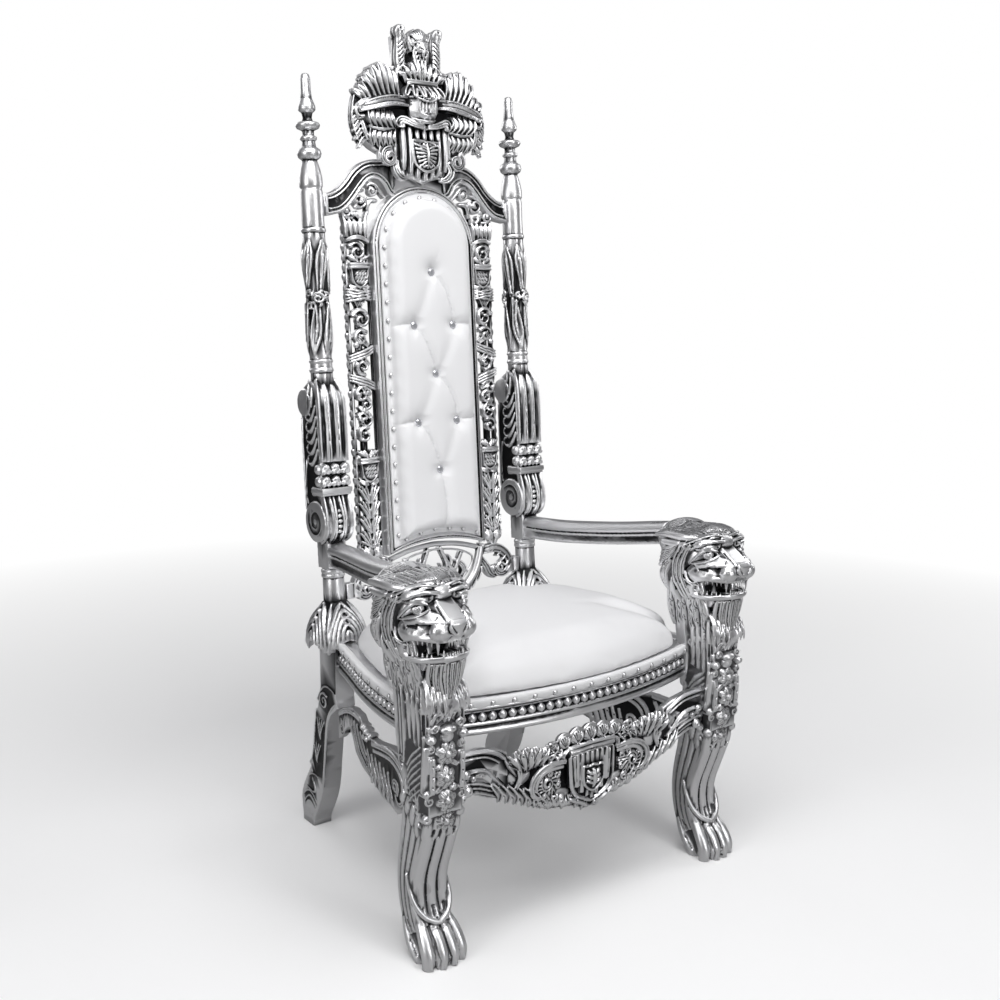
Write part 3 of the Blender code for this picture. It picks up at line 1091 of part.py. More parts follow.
apron = front_apron()
cut(apron, (APRON_HALF, -1, 0), (1, 1, 1), "end_right")
cut(apron, (-1, -1, 0), (-APRON_HALF, 1, 1), "end_left")
for side, made in legs.items():
    edge = APRON_HALF + GAP
    cut(made, (-edge, APRON_Y - 0.024, 0.296), (edge, APRON_Y + 0.02, 0.404), "apron_seat")


# Side stretchers: a ribbed neck from the rear leg, a bead cluster and a broad C-scroll to the front leg.
STRETCHER_TOP = [(0.2037, 0.316), (0.181, 0.328), (0.150, 0.342), (0.122, 0.348), (0.083, 0.346),
                 (0.062, 0.328),
                 (0.036, 0.314), (-0.012, 0.318), (-0.070, 0.331), (-0.136, 0.335), (-0.200, 0.332),
                 (-0.262, 0.325)]
STRETCHER_LOW = [(-0.262, 0.262), (-0.200, 0.262), (-0.160, 0.246), (-0.136, 0.218), (-0.112, 0.204),
                 (-0.075, 0.209),
                 (-0.035, 0.211), (0.006, 0.222), (0.070, 0.236), (0.105, 0.255), (0.122, 0.284),
                 (0.140, 0.304), (0.168, 0.282), (0.186, 0.262), (0.2037, 0.252)]
STRETCHER_X = 0.2755
STRETCHER_SKEW = 0.139


def side_stretcher(name, side):
    """One stretcher, set askew between the rear leg and the front leg."""
    skew = Matrix(((1, -STRETCHER_SKEW, 0, STRETCHER_X + STRETCHER_SKEW * 0.204), (0, 1, 0, 0),
                   (0, 0, 1, 0), (0, 0, 0, 1)))
    work = Carving(mirrored(side) @ skew)
    work.slab(STRETCHER_TOP + STRETCHER_LOW, -0.0105, 0.0105, across="x")
    paths = []
    for x in (-0.009, 0.009):
        paths.append([(x, 0.020, 0.303, 0.007), (x, -0.030, 0.312, 0.0105), (x, -0.090, 0.318, 0.0115),
                      (x, -0.140, 0.300, 0.011), (x, -0.152, 0.262, 0.010), (x, -0.132, 0.226, 0.010),
                      (x, -0.108, 0.222, 0.008), (x, -0.104, 0.240, 0.006)])
        paths.append([(x, 0.190, 0.318, 0.006), (x, 0.160, 0.332, 0.007), (x, 0.125, 0.340, 0.0075),
                      (x, 0.090, 0.334, 0.007)])
        paths.append([(x, 0.112, 0.322, 0.006), (x, 0.100, 0.278, 0.007), (x, 0.060, 0.246, 0.007),
                      (x, 0.010, 0.232, 0.006)])
        paths.append([(x, 0.090, 0.316, 0.006), (x, 0.070, 0.280, 0.007), (x, 0.040, 0.262, 0.005)])
        for k in range(4):
            y = 0.020 - 0.028 * k
            paths.append([(x, y + 0.016, 0.270 - 0.008 * k, 0.005),
                          (x, y + 0.004, 0.250 - 0.006 * k, 0.0085),
                          (x, y - 0.010, 0.226 - 0.003 * k, 0.006)])
        paths.append(side_volute(x, 0.184, 0.282, 0.016, 1.2, 1.2, 0.006))
        for k in range(2):
            paths.append([(x, -0.170 - 0.03 * k, 0.320, 0.007), (x, -0.185 - 0.03 * k, 0.298, 0.007),
                          (x, -0.180 - 0.03 * k, 0.274, 0.005)])
    work.strands(paths)
    for y, z in ((0.064, 0.326), (0.050, 0.321), (0.044, 0.308), (0.030, 0.316)):
        work.ball((0, y, z), (0.0165, 0.010, 0.010))
    for k in range(4):
        work.block((-0.013, 0.118 + 0.013 * k, 0.332), (0.013, 0.124 + 0.013 * k, 0.350 - 0.0022 * k))
    made = work.fuse(name, 0.0024, 220)
    slit = Matrix.Translation((0, -0.062, 0.285)) @ Matrix.Rotation(math.radians(-24), 4, "X")
    cut(made, (-0.1, -0.026, -0.006), (0.1, 0.026, 0.006), "slit", mirrored(side) @ skew @ slit)
    cut(made, (-1, 0.2037 - GAP, 0), (1, 1, 1), "rear_end")
    return made


for label, side in (("left", -1), ("right", 1)):
    made = side_stretcher("side_stretcher_" + label, side)
    y, z = STRETCHER_TOP[-1][0] + 0.012, STRETCHER_LOW[0][1]
    cut(made, (-1, -1, 0), (1, y, 1), "front_end")
    cut(legs[side], (0.30 * side - 0.2, y - GAP, z - 0.012),
        (0.30 * side + 0.2, 0.0, STRETCHER_TOP[-2][1] + 0.012),
        "stretcher_seat")


# The whole chair is set back a little, so that the origin is under the middle of its outline.
chair = bpy.data.objects.new("chair", None)
bpy.context.collection.objects.link(chair)
chair.location = (0, CENTRE_SHIFT, 0)
for piece in bpy.data.objects:
    if piece is not chair:
        piece.parent = chair
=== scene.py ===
# Carved lion throne: silvered hardwood, a tufted white back and a domed white seat.
# Metres, +Z up. The front faces -Y and the origin is on the floor under the middle of the chair.
import math
import bmesh
import bpy
import numpy as np
from mathutils import Matrix, Vector
from mathutils.kdtree import KDTree


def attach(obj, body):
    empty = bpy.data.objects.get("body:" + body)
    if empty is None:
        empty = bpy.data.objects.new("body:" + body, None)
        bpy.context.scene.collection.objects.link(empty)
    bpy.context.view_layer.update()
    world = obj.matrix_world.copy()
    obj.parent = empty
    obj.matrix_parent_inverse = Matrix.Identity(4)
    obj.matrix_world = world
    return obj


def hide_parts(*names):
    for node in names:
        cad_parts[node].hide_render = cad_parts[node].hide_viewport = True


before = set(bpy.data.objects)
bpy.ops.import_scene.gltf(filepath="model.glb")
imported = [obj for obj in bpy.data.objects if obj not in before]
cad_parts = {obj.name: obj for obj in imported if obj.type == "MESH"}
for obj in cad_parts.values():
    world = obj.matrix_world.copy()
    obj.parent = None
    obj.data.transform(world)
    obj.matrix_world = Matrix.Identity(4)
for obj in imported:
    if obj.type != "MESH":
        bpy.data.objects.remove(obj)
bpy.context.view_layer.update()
scene = bpy.context.scene


# Camera: at standing eye height, to the left of the throne and looking across it.
# The lens is a little longer than normal, and the frame is square.
CAMERA_PLACE = (-1.506, -2.0093, 1.257)
CAMERA_TURN = math.radians(-36.75)
CAMERA_DROP = math.radians(10.5)
CAMERA_ROLL = math.radians(0.44)
CAMERA_LENS = 43.2

camera = bpy.data.objects.new("camera", bpy.data.cameras.new("camera"))
scene.collection.objects.link(camera)
camera.data.lens = CAMERA_LENS
camera.data.sensor_width = 36.0
camera.matrix_world = (Matrix.Translation(CAMERA_PLACE) @ Matrix.Rotation(CAMERA_TURN, 4, "Z")
    @ Matrix.Rotation(math.pi / 2 - CAMERA_DROP, 4, "X") @ Matrix.Rotation(CAMERA_ROLL, 4, "Z"))
scene.camera = camera


# Studio: a plain white floor that fades into a white surround, a broad overhead softbox,
# a tall softbox on the left and a smaller one on the right, with darker room between them.
FLOOR_HALF = 14.0
FLOOR_CLEAR = 1.1
FLOOR_FADE = 3.4
SURROUND_DARK = (0.045, 0.045, 0.047, 1.0)
SURROUND_LIGHT = (0.3, 0.3, 0.31, 1.0)


def mesh_of(form, name):
    """Turn a bmesh form into a mesh, and let the form go."""
    mesh = bpy.data.meshes.new(name)
    form.to_mesh(mesh)
    form.free()
    return mesh


plate = bmesh.new()
bmesh.ops.create_grid(plate, x_segments=1, y_segments=1, size=FLOOR_HALF)
floor_mesh = mesh_of(plate, "floor")
floor = bpy.data.objects.new("floor", floor_mesh)
scene.collection.objects.link(floor)


def new_material(name):
    """An empty node material, its tree and its output node."""
    made = bpy.data.materials.new(name)
    made.use_nodes = True
    tree = made.node_tree
    tree.nodes.clear()
    return made, tree, tree.nodes.new("ShaderNodeOutputMaterial")


def add(tree, kind, **values):
    """A node with its settings; a name that starts with a capital is one of its sockets."""
    node = tree.nodes.new(kind)
    for key, value in values.items():
        if key[0].isupper():
            node.inputs[key.replace("_", " ")].default_value = value
        else:
            setattr(node, key, value)
    return node


def wire(tree, *joins):
    """Join nodes, each join given as (node, its output, node, its input)."""
    for giver, outlet, taker, inlet in joins:
        tree.links.new(giver.outputs[outlet], taker.inputs[inlet])


floor_paint, tree, output = new_material("pale_floor")
place = add(tree, "ShaderNodeTexCoord")
reach = add(tree, "ShaderNodeVectorMath", operation="LENGTH")
fade = add(tree, "ShaderNodeMapRange", From_Min=FLOOR_CLEAR, From_Max=FLOOR_FADE)
matt = add(tree, "ShaderNodeBsdfDiffuse", Color=(0.93, 0.93, 0.93, 1.0))
dull = add(tree, "ShaderNodeBsdfDiffuse", Color=(0.42, 0.42, 0.42, 1.0))
seen = add(tree, "ShaderNodeLightPath")
pick = add(tree, "ShaderNodeMixShader")
glow = add(tree, "ShaderNodeEmission", Color=(1.0, 1.0, 1.0, 1.0), Strength=1.0)
blend = add(tree, "ShaderNodeMixShader")
wire(tree, (place, "Object", reach, 0), (reach, "Value", fade, "Value"), (fade, "Result", blend, "Fac"),
    (matt, 0, blend, 1), (glow, 0, blend, 2), (seen, "Is Camera Ray", pick, "Fac"), (dull, 0, pick, 1),
    (blend, 0, pick, 2), (pick, 0, output, "Surface"))
floor_mesh.materials.append(floor_paint)

world = bpy.data.worlds.new("studio")
scene.world = world
world.use_nodes = True
tree = world.node_tree
tree.nodes.clear()
output = tree.nodes.new("ShaderNodeOutputWorld")
way = add(tree, "ShaderNodeTexCoord")
parts = add(tree, "ShaderNodeSeparateXYZ")
height = add(tree, "ShaderNodeMapRange", From_Min=-0.25, From_Max=0.9)
room = add(tree, "ShaderNodeMix", data_type="RGBA")
room.inputs[6].default_value = SURROUND_DARK
room.inputs[7].default_value = SURROUND_LIGHT
seen = add(tree, "ShaderNodeLightPath")
white = add(tree, "ShaderNodeBackground", Color=(1.0, 1.0, 1.0, 1.0), Strength=1.0)
dim = add(tree, "ShaderNodeBackground", Strength=1.0)
blend = add(tree, "ShaderNodeMixShader")
wire(tree, (way, "Generated", parts, 0), (parts, "Z", height, "Value"), (height, "Result", room, 0),
    (room, 2, dim, "Color"), (seen, "Is Camera Ray", blend, "Fac"), (dim, 0, blend, 1),
    (white, 0, blend, 2), (blend, 0, output, "Surface"))


def softbox(name, centre, aim, size, power):
    """A soft rectangular lamp that looks at a point."""
    lamp = bpy.data.lights.new(name, "AREA")
    lamp.shape = "RECTANGLE"
    lamp.size, lamp.size_y = size
    lamp.energy = power
    holder = bpy.data.objects.new(name, lamp)
    scene.collection.objects.link(holder)
    holder.location = centre
    holder.rotation_euler = (Vector(centre) - Vector(aim)).to_track_quat("Z", "Y").to_euler()
    return holder


softbox("overhead", (-0.5, -1.1, 3.1), (0.0, 0.0, 0.9), (2.4, 1.8), 60)
softbox("left_bank", (-2.9, -0.5, 1.7), (0.0, 0.0, 0.9), (1.0, 2.2), 24)
softbox("front_bank", (0.4, -3.2, 1.5), (0.0, 0.0, 0.9), (0.9, 2.0), 24)
softbox("right_bank", (2.8, -0.2, 1.9), (0.0, 0.0, 0.9), (0.7, 2.0), 15)
softbox("rear_bank", (-0.4, 2.9, 2.2), (0.0, 0.0, 0.9), (1.6, 1.6), 14)

scene.view_settings.view_transform = "Standard"
scene.view_settings.look = "None"


# Back posts: each is turned and carved from one length of hardwood, from the finial down through the
# leafed shaft, the scroll console and the leaf skirt to the curved rear foot, then gessoed and silvered.
# The seat frame's own zero lies a little in front of the middle of the whole outline, and the back leans.
CENTRE_SHIFT = 0.0127
BACK_START = 0.2005
LEAN = math.atan(0.079)
POST_X = 0.266
SEAT = Matrix.Translation((0, CENTRE_SHIFT, 0))
BACK = Matrix.Translation((0, BACK_START + CENTRE_SHIFT, 0)) @ Matrix.Rotation(-LEAN, 4, "X")

# A relief frame has X across the work, Y up it and Z out of it towards the eye.
FRONT = Matrix(((1, 0, 0, 0), (0, 0, -1, 0), (0, 1, 0, 0), (0, 0, 0, 1)))
RIGHT = Matrix(((0, 0, 1, 0), (1, 0, 0, 0), (0, 1, 0, 0), (0, 0, 0, 1)))
LEFT = Matrix(((0, 0, -1, 0), (-1, 0, 0, 0), (0, 1, 0, 0), (0, 0, 0, 1)))

SILVER_LIGHT = (0.8, 0.8, 0.81, 1.0)
SILVER_MID = (0.44, 0.44, 0.45, 1.0)
SILVER_SHADE_DEEP = (0.17, 0.17, 0.175, 1.0)
SILVER_SHADE_DARK = (0.02, 0.02, 0.021, 1.0)


def silver_leaf(name):
    """Burnished silver leaf over gesso: lighter on the ridges, with painted shade that goes nearly black in
    the cuts.
    """
    made, tree, output = new_material(name)
    shader = add(tree, "ShaderNodeBsdfPrincipled", Metallic=1.0)
    shader.inputs["Specular Tint"].default_value = (1.0, 1.0, 1.0, 1.0)
    place = add(tree, "ShaderNodeTexCoord")
    depth = add(tree, "ShaderNodeAttribute", attribute_name="hollow")
    patches = add(tree, "ShaderNodeTexNoise", Scale=26.0, Detail=5.0, Roughness=0.6)
    leaf = add(tree, "ShaderNodeTexNoise", Scale=420.0, Detail=4.0, Roughness=0.6)
    # Painted shade: the base colour runs from light on the ridges to nearly black in the cuts, set by how
    # sunken each point is and mixed with random patches.
    shade_and_patches = add(tree, "ShaderNodeMath", operation="MULTIPLY_ADD")
    shade_and_patches.inputs[1].default_value = 0.16
    lift = add(tree, "ShaderNodeMath", operation="ADD")
    lift.inputs[1].default_value = -0.08
    ramp = add(tree, "ShaderNodeValToRGB")
    stops = ramp.color_ramp.elements
    stops[0].position = 0.22
    stops[0].color = SILVER_LIGHT
    stops[1].position = 0.96
    stops[1].color = SILVER_SHADE_DARK
    for position, colour in ((0.46, SILVER_MID), (0.72, SILVER_SHADE_DEEP)):
        stops.new(position).color = colour
    rough = add(tree, "ShaderNodeMapRange", From_Min=0.3, From_Max=0.7, To_Min=0.3, To_Max=0.42)
    bump = add(tree, "ShaderNodeBump", Strength=0.16, Distance=0.0006)
    wire(tree, (place, "Object", patches, "Vector"), (place, "Object", leaf, "Vector"),
        (patches, "Fac", shade_and_patches, 0), (depth, "Fac", lift, 0), (lift, 0, shade_and_patches, 2), (shade_and_patches, 0, ramp, "Fac"),
        (ramp, "Color", shader, "Base Color"), (patches, "Fac", rough, "Value"),
        (rough, "Result", shader, "Roughness"), (leaf, "Fac", bump, "Height"),
        (bump, "Normal", shader, "Normal"), (shader, 0, output, "Surface"))
    return made


SILVER = silver_leaf("silver_leaf")


def link(name, mesh):
    """Put a mesh in the scene as a named piece."""
    piece = bpy.data.objects.new(name, mesh)
    scene.collection.objects.link(piece)
    return piece


def bake(piece):
    """Apply a piece's modifiers to its mesh."""
    old = piece.data
    whole = bpy.data.meshes.new_from_object(piece.evaluated_get(bpy.context.evaluated_depsgraph_get()))
    piece.modifiers.clear()
    piece.data = whole
    bpy.data.meshes.remove(old)
    whole.name = piece.name
    return whole


def section(name, points):
    """A closed flat section, carried along strands: X across the strand and Y out of the work."""
    data = bpy.data.curves.new(name, "CURVE")
    data.dimensions = "2D"
    data.fill_mode = "NONE"
    spline = data.splines.new("POLY")
    spline.points.add(len(points) - 1)
    for point, (x, y) in zip(spline.points, points):
        point.co = (x, y, 0, 1)
    spline.use_cyclic_u = True
    return link(name, data)


MILLIMETRE = 0.001


def mm(rows, hand=1, ahead=0.0):
    """Points from rows in millimetres, mirrored by hand, with their depths counted from ahead."""
    points = []
    for row in rows:
        first, *rest = [round(value * MILLIMETRE, 9) for value in row]
        if len(rest) > 1:
            rest[0] += ahead
        points.append((hand * first, *rest))
    return points


def circle(count, turn=0.0):
    """The (cosine, sine) of even steps round a circle."""
    return [(math.cos(math.tau * (k + turn) / count), math.sin(math.tau * (k + turn) / count))
        for k in range(count)]


def both(half):
    """A section from its right half, listed from the top to the bottom."""
    return [(-x, y) for x, y in half if x > 0] + list(reversed(half))


SECTIONS = {"ridge": section("ridge", both([(0, 0.95), (0.22, 0.62), (0.55, 0.2), (0.95, -0.1),
    (1.0, -0.35), (0, -0.9)])), "gouge": section("gouge", both([(0, 0.1), (0.36, 0.2), (0.62, 0.5),
    (0.76, 0.66), (0.9, 0.58), (1.0, 0.15), (0.92, -0.5), (0, -0.7)])),
    "blade": section("blade", both([(0, 0.34), (0.1, 0.22), (0.36, 0.16), (0.66, 0.34), (0.84, 0.44),
    (0.96, 0.32), (1.0, 0.0), (0.8, -0.4), (0, -0.5)])), "band": section("band",
    both([(0, 0.42), (0.42, 0.42), (0.52, 0.56), (0.7, 0.56), (0.8, 0.4), (0.86, -0.4), (0, -0.5)])),
    "round": section("round", circle(12)),}


TURNED_SIDES = 48


class Carving:
    """Closed forms that overlap in one block, joined later into a single carved skin."""

    def __init__(self, place=Matrix()):
        self.forms = bmesh.new()
        self.place = place
        self.cuts = []

    def keep(self, form):
        """Add a bmesh form that lies in the block's own frame."""
        self.keep_mesh(mesh_of(form, "form"))

    def keep_mesh(self, mesh):
        """Add a mesh that lies in the block's own frame."""
        mesh.transform(self.place)
        self.forms.from_mesh(mesh)
        bpy.data.meshes.remove(mesh)

    def strands(self, paths, shape="round", facing=FRONT, wrap=None):
        """Tapered strands along paths of (x, y, z, half width); their section stands out of the work."""
        data = bpy.data.curves.new("strands", "CURVE")
        data.dimensions = "3D"
        data.twist_mode = "Z_UP"
        data.bevel_mode = "OBJECT"
        data.bevel_object = SECTIONS[shape]
        data.use_fill_caps = True
        flat = facing.inverted()
        for path in paths:
            spline = data.splines.new("NURBS")
            spline.points.add(len(path) - 1)
            for point, (x, y, z, width) in zip(spline.points, path):
                point.co = (*(flat @ Vector((x, y, z))), 1.0)
                point.radius = width
            spline.order_u = min(3, len(path))
            spline.use_endpoint_u = True
            spline.resolution_u = 5
        holder = link("strands", data)
        mesh = bpy.data.meshes.new_from_object(holder.evaluated_get(bpy.context.evaluated_depsgraph_get()))
        bpy.data.objects.remove(holder)
        bpy.data.curves.remove(data)
        mesh.transform(facing)
        if wrap:
            bend(mesh, wrap)
        self.keep_mesh(mesh)

    def ball(self, centre, radii, turn=Matrix(), detail=3):
        """An ellipsoid."""
        form = bmesh.new()
        bmesh.ops.create_icosphere(form, subdivisions=detail, radius=1.0,
            matrix=Matrix.Translation(centre) @ turn @ Matrix.Diagonal((*radii, 1.0)))
        self.keep(form)

    def block(self, low, high):
        """A box between two corners."""
        form = bmesh.new()
        size = Vector(high) - Vector(low)
        bmesh.ops.create_cube(form, size=1.0, matrix=Matrix.Translation((Vector(low) + Vector(high)) / 2)
            @ Matrix.Diagonal((*size, 1.0)))
        self.keep(form)

    def hull(self, points):
        """The flat-planed form that a knife leaves between a few corners."""
        form = bmesh.new()
        for point in points:
            form.verts.new(point)
        bmesh.ops.convex_hull(form, input=form.verts[:])
        self.keep(form)

    def slab(self, outline, start, end, across="y"):
        """A flat outline given a thickness: (x, z) points along Y, or (y, z) points along X."""
        form = bmesh.new()
        if across == "y":
            ring = [form.verts.new((a, start, b)) for a, b in outline]
            shift = (0, end - start, 0)
        else:
            ring = [form.verts.new((start, a, b)) for a, b in outline]
            shift = (end - start, 0, 0)
        grown = bmesh.ops.extrude_face_region(form, geom=[form.faces.new(ring)])
        fresh = [item for item in grown["geom"] if isinstance(item, bmesh.types.BMVert)]
        bmesh.ops.translate(form, vec=shift, verts=fresh)
        bmesh.ops.recalc_face_normals(form, faces=form.faces)
        self.keep(form)

    def turned(self, profile):
        """A turned form from (radius, height) pairs that start and end on the upright axis."""
        form = bmesh.new()
        chain = [form.verts.new((radius, 0, height)) for radius, height in profile]
        for one, two in zip(chain, chain[1:]):
            form.edges.new((one, two))
        bmesh.ops.spin(form, geom=form.verts[:] + form.edges[:], axis=(0, 0, 1), cent=(0, 0, 0),
            angle=math.tau, steps=TURNED_SIDES, use_merge=True)
        bmesh.ops.remove_doubles(form, verts=form.verts, dist=0.00005)
        bmesh.ops.recalc_face_normals(form, faces=form.faces)
        self.keep(form)

    def cut(self, points, width, depth):
        """A fine line to press into the joined skin, with half its width and its depth."""
        self.cuts.append((points, width, depth))

    def hollow(self, form, voxel):
        """The forms joined so far, with one form cut out of them."""
        piece = self.join("block", voxel, 1)
        tool = link("hollow", mesh_of(form, "hollow"))
        cut = piece.modifiers.new("cut", "BOOLEAN")
        cut.operation = "DIFFERENCE"
        cut.solver = "MANIFOLD"
        cut.object = tool
        cut_mesh = bake(piece).copy()
        for spent in (piece, tool):
            bpy.data.objects.remove(spent)
        return cut_mesh

    def join(self, name, voxel, soften):
        """Join the forms into one even skin."""
        piece = link(name, mesh_of(self.forms, name))
        skin = piece.modifiers.new("skin", "REMESH")
        skin.mode = "VOXEL"
        skin.voxel_size = voxel
        ease = piece.modifiers.new("ease", "SMOOTH")
        ease.factor = 0.4
        ease.iterations = soften
        bake(piece)
        return piece

    def fuse(self, name, voxel, triangles, place=Matrix(), foot=None):
        """Join the forms into one skin, cut the fine lines into it and thin it to a count of triangles."""
        piece = self.join(name, voxel, 1)
        mesh = piece.data
        engrave(mesh, self.cuts)
        thin = piece.modifiers.new("thin", "DECIMATE")
        thin.ratio = min(1.0, triangles / (2.0 * len(mesh.polygons)))
        mesh = bake(piece)
        mesh.transform(place)
        if foot is not None:
            level_foot(mesh, foot)
        finish_silver(mesh)
        return piece


def level_foot(mesh, height):
    """Cut a piece off flat where it stands on the floor."""
    form = bmesh.new()
    form.from_mesh(mesh)
    sole = bmesh.ops.bisect_plane(form, geom=form.verts[:] + form.edges[:] + form.faces[:], dist=1e-6,
        plane_co=(0, 0, height), plane_no=(0, 0, 1), clear_inner=True)
    rim = [item for item in sole["geom_cut"] if isinstance(item, bmesh.types.BMEdge)]
    bmesh.ops.holes_fill(form, edges=rim, sides=0)
    bmesh.ops.triangulate(form, faces=[face for face in form.faces if len(face.verts) > 4])
    form.to_mesh(mesh)
    form.free()


def bend(mesh, wrap):
    """Wrap flat work round an upright form, given as its reference radius and (height, radius) pairs."""
    place = places_of(mesh)
    reference, profile = wrap
    turn = place[:, 0] / reference
    reach = np.interp(place[:, 2], *zip(*profile)) - place[:, 1]
    place[:, 0], place[:, 1] = reach * np.sin(turn), -reach * np.cos(turn)
    mesh.vertices.foreach_set("co", place.ravel())


def wall(form, rings):
    """Faces between closed rings of points, from each ring to the next."""
    faces = []
    for one, two in zip(rings, rings[1:]):
        for k in range(len(one)):
            after = (k + 1) % len(one)
            faces.append(form.faces.new((one[k], one[after], two[after], two[k])))
    return faces


def places_of(mesh):
    """Where a mesh's points lie, one row a point."""
    place = np.empty(len(mesh.vertices) * 3, np.float32)
    mesh.vertices.foreach_get("co", place)
    return place.reshape(-1, 3)


def engrave(mesh, cuts):
    """Press fine lines into a skin, each given as (points, half width, depth)."""
    if not cuts:
        return
    count = len(mesh.vertices)
    place = places_of(mesh)
    normal = np.array([v.vector for v in mesh.vertex_normals], np.float32)
    tree = KDTree(count)
    for index, point in enumerate(place):
        tree.insert(point, index)
    tree.balance()
    change = np.zeros(count, np.float32)
    for points, width, depth in cuts:
        near = {}
        line = [Vector(point) for point in points]
        for one, two in zip(line, line[1:] or line):
            steps = max(1, int((two - one).length / (width * 0.45)))
            for step in range(steps + 1):
                spot = one.lerp(two, step / steps)
                touch, at, _ = tree.find(spot)
                facing = Vector(normal[at])
                spot += facing * (touch - spot).dot(facing)
                for _, index, gap in tree.find_range(spot, width):
                    if gap < near.get(index, 1.0):
                        near[index] = gap
        if near:
            hit = np.fromiter(near.keys(), int, len(near))
            gap = np.fromiter(near.values(), float, len(near))
            push = depth * (1 - (gap / width) ** 2) ** 2
            stronger = np.abs(push) > np.abs(change[hit])
            change[hit[stronger]] = push[stronger]
    place -= normal * change[:, None]
    mesh.vertices.foreach_set("co", place.ravel())
    mesh.update()


# The painted shade level on a flat place, and how sunkenness is read at three widths: rounds of easing,
# full depth, weight.
FLAT_SHADE = 0.36
SHADE_SCALES = ((3, 0.00035, 0.5), (14, 0.0016, 0.34), (50, 0.004, 0.22))


def finish_silver(mesh):
    """Store how sunken each point is, for the painted shade in the cuts, and dress the mesh in silver."""
    count = len(mesh.vertices)
    place = places_of(mesh).astype(float)
    normal = np.array([v.vector for v in mesh.vertex_normals], float)
    pairs = np.empty(len(mesh.edges) * 2, np.int32)
    mesh.edges.foreach_get("vertices", pairs)
    pairs = pairs.reshape(-1, 2)
    start = np.concatenate((pairs[:, 0], pairs[:, 1]))
    end = np.concatenate((pairs[:, 1], pairs[:, 0]))
    share = 1.0 / np.maximum(1, np.bincount(start, minlength=count))
    eased = place.copy()
    # Painted shade: the more sunken a point is, the darker the silver's colour there.
    hollow = np.full(count, FLAT_SHADE)
    done = 0
    for rounds, full, weight in SHADE_SCALES:
        for _ in range(rounds - done):
            eased = np.stack([np.bincount(start, eased[end, axis], count) * share for axis in range(3)], 1)
        done = rounds
        hollow += weight * np.clip(((eased - place) * normal).sum(1) / full, -1, 1)
    layer = mesh.attributes.new("hollow", "FLOAT", "POINT")
    layer.data.foreach_set("value", np.clip(hollow, 0, 1).astype(np.float32))
    mesh.shade_smooth()
    mesh.materials.clear()
    mesh.materials.append(SILVER)


def stands_for(piece, *nodes, slot="silver_leaf"):
    """The piece replaces its solids and rides with the chair."""
    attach(piece, "root")
    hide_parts(*nodes)
    return piece


def other_hand(piece, name):
    """The mirror image of a right-hand piece, for the left of the chair."""
    form = bmesh.new()
    form.from_mesh(piece.data)
    bmesh.ops.transform(form, matrix=Matrix.Diagonal((-1, 1, 1, 1)), verts=form.verts)
    bmesh.ops.reverse_faces(form, faces=form.faces)
    mesh = mesh_of(form, name)
    mesh.materials.append(piece.data.materials[0])
    return link(name, mesh)


SPIRAL_STEPS = 10
SPIRAL_CLOSE = 0.82


def spiral(x, y, z, size, turns, start, width, hand=1, lift=0.0):
    """A scroll in the X-Z plane that winds in from its rim to its eye."""
    count = int(SPIRAL_STEPS * turns)
    path = []
    for step in range(count + 1):
        part = step / count
        angle = start + hand * math.tau * turns * part
        reach = size * (1 - SPIRAL_CLOSE * part)
        path.append((x + reach * math.cos(angle), y - lift * part, z + reach * math.sin(angle),
            width * (1 - 0.45 * part)))
    return path


def side_spiral(x, y, z, size, turns, start, width, hand):
    """A scroll in the Y-Z plane."""
    return [(x, a, c, w) for a, _, c, w in spiral(y, 0, z, size, turns, start, width, hand)]


POST_RADIUS = 0.0237
CONSOLE_HALF = 0.034
REAR_LEG_HALF = 0.023
FINIAL = mm([(0, 1679), (4.5, 1679), (8.5, 1676.5), (10.8, 1668), (10.6, 1645), (12.2, 1628), (18.6, 1611),
    (18.2, 1604), (11.5, 1598), (9.6, 1588), (11.8, 1581), (23.5, 1578), (26.2, 1573), (23.5, 1567),
    (12.5, 1562), (12.5, 1552), (17.8, 1549), (17.8, 1544), (13.8, 1541), (15, 1529), (23.5, 1523),
    (26, 1515), (23.5, 1507), (15.5, 1501), (17.5, 1495), (21.2, 1483), (24.6, 1465), (25, 1455),
    (24.6, 1447), (22.2, 1443.5), (22.2, 1441), (23.7, 1438), (23.7, 1364), (22.8, 1363), (26.2, 1359),
    (26.2, 1354), (22.8, 1350), (23.7, 1349), (23.7, 1087), (22.8, 1086), (25.7, 1082), (25.7, 1079),
    (22.8, 1075.5), (23.7, 1074), (23.7, 1068), (22.8, 1067), (26, 1063), (26, 1059), (22.8, 1055),
    (23.7, 1054), (23.7, 1020), (0, 1020)])
COLUMN = mm([(0, 700), (22.5, 700), (22.5, 631), (21.8, 630), (25.8, 627.5), (25.8, 621.5), (22.8, 619.5),
    (25.6, 617.5), (25.6, 611.5), (22.2, 609), (23.5, 607), (24.2, 556), (27.5, 552), (36, 540), (46, 515),
    (49, 492), (46, 478), (0, 478)])
SKIRT = mm([(440, 63), (470, 62), (490, 60.5), (505, 57), (520, 51), (535, 42), (545, 34), (553, 26.5),
    (565, 24)])
REAR_LEG = mm([(204, 520), (204, 345), (200, 322), (232, 297), (244, 275), (250, 252), (256, 215),
    (263, 170), (268, 132), (274, 105), (284, 78), (304, 41), (314, 26), (320, 13), (320, -6), (372, -6),
    (372, 13), (376, 34), (378, 55), (374, 72), (365, 92), (352, 112), (327, 150), (314, 189), (308, 230),
    (300, 270), (285, 318), (276, 352), (276, 420), (282, 520)])
CONSOLE = mm([(0, 1040), (-12, 1035), (-22, 1026), (-30, 1012), (-34, 992), (-35, 970), (-34, 870),
    (-30, 864), (-28, 800), (-28, 775), (-29, 715), (0, 692), (30, 697), (44, 725), (46, 800), (43, 960),
    (48, 985), (44, 1008), (28, 1026)])


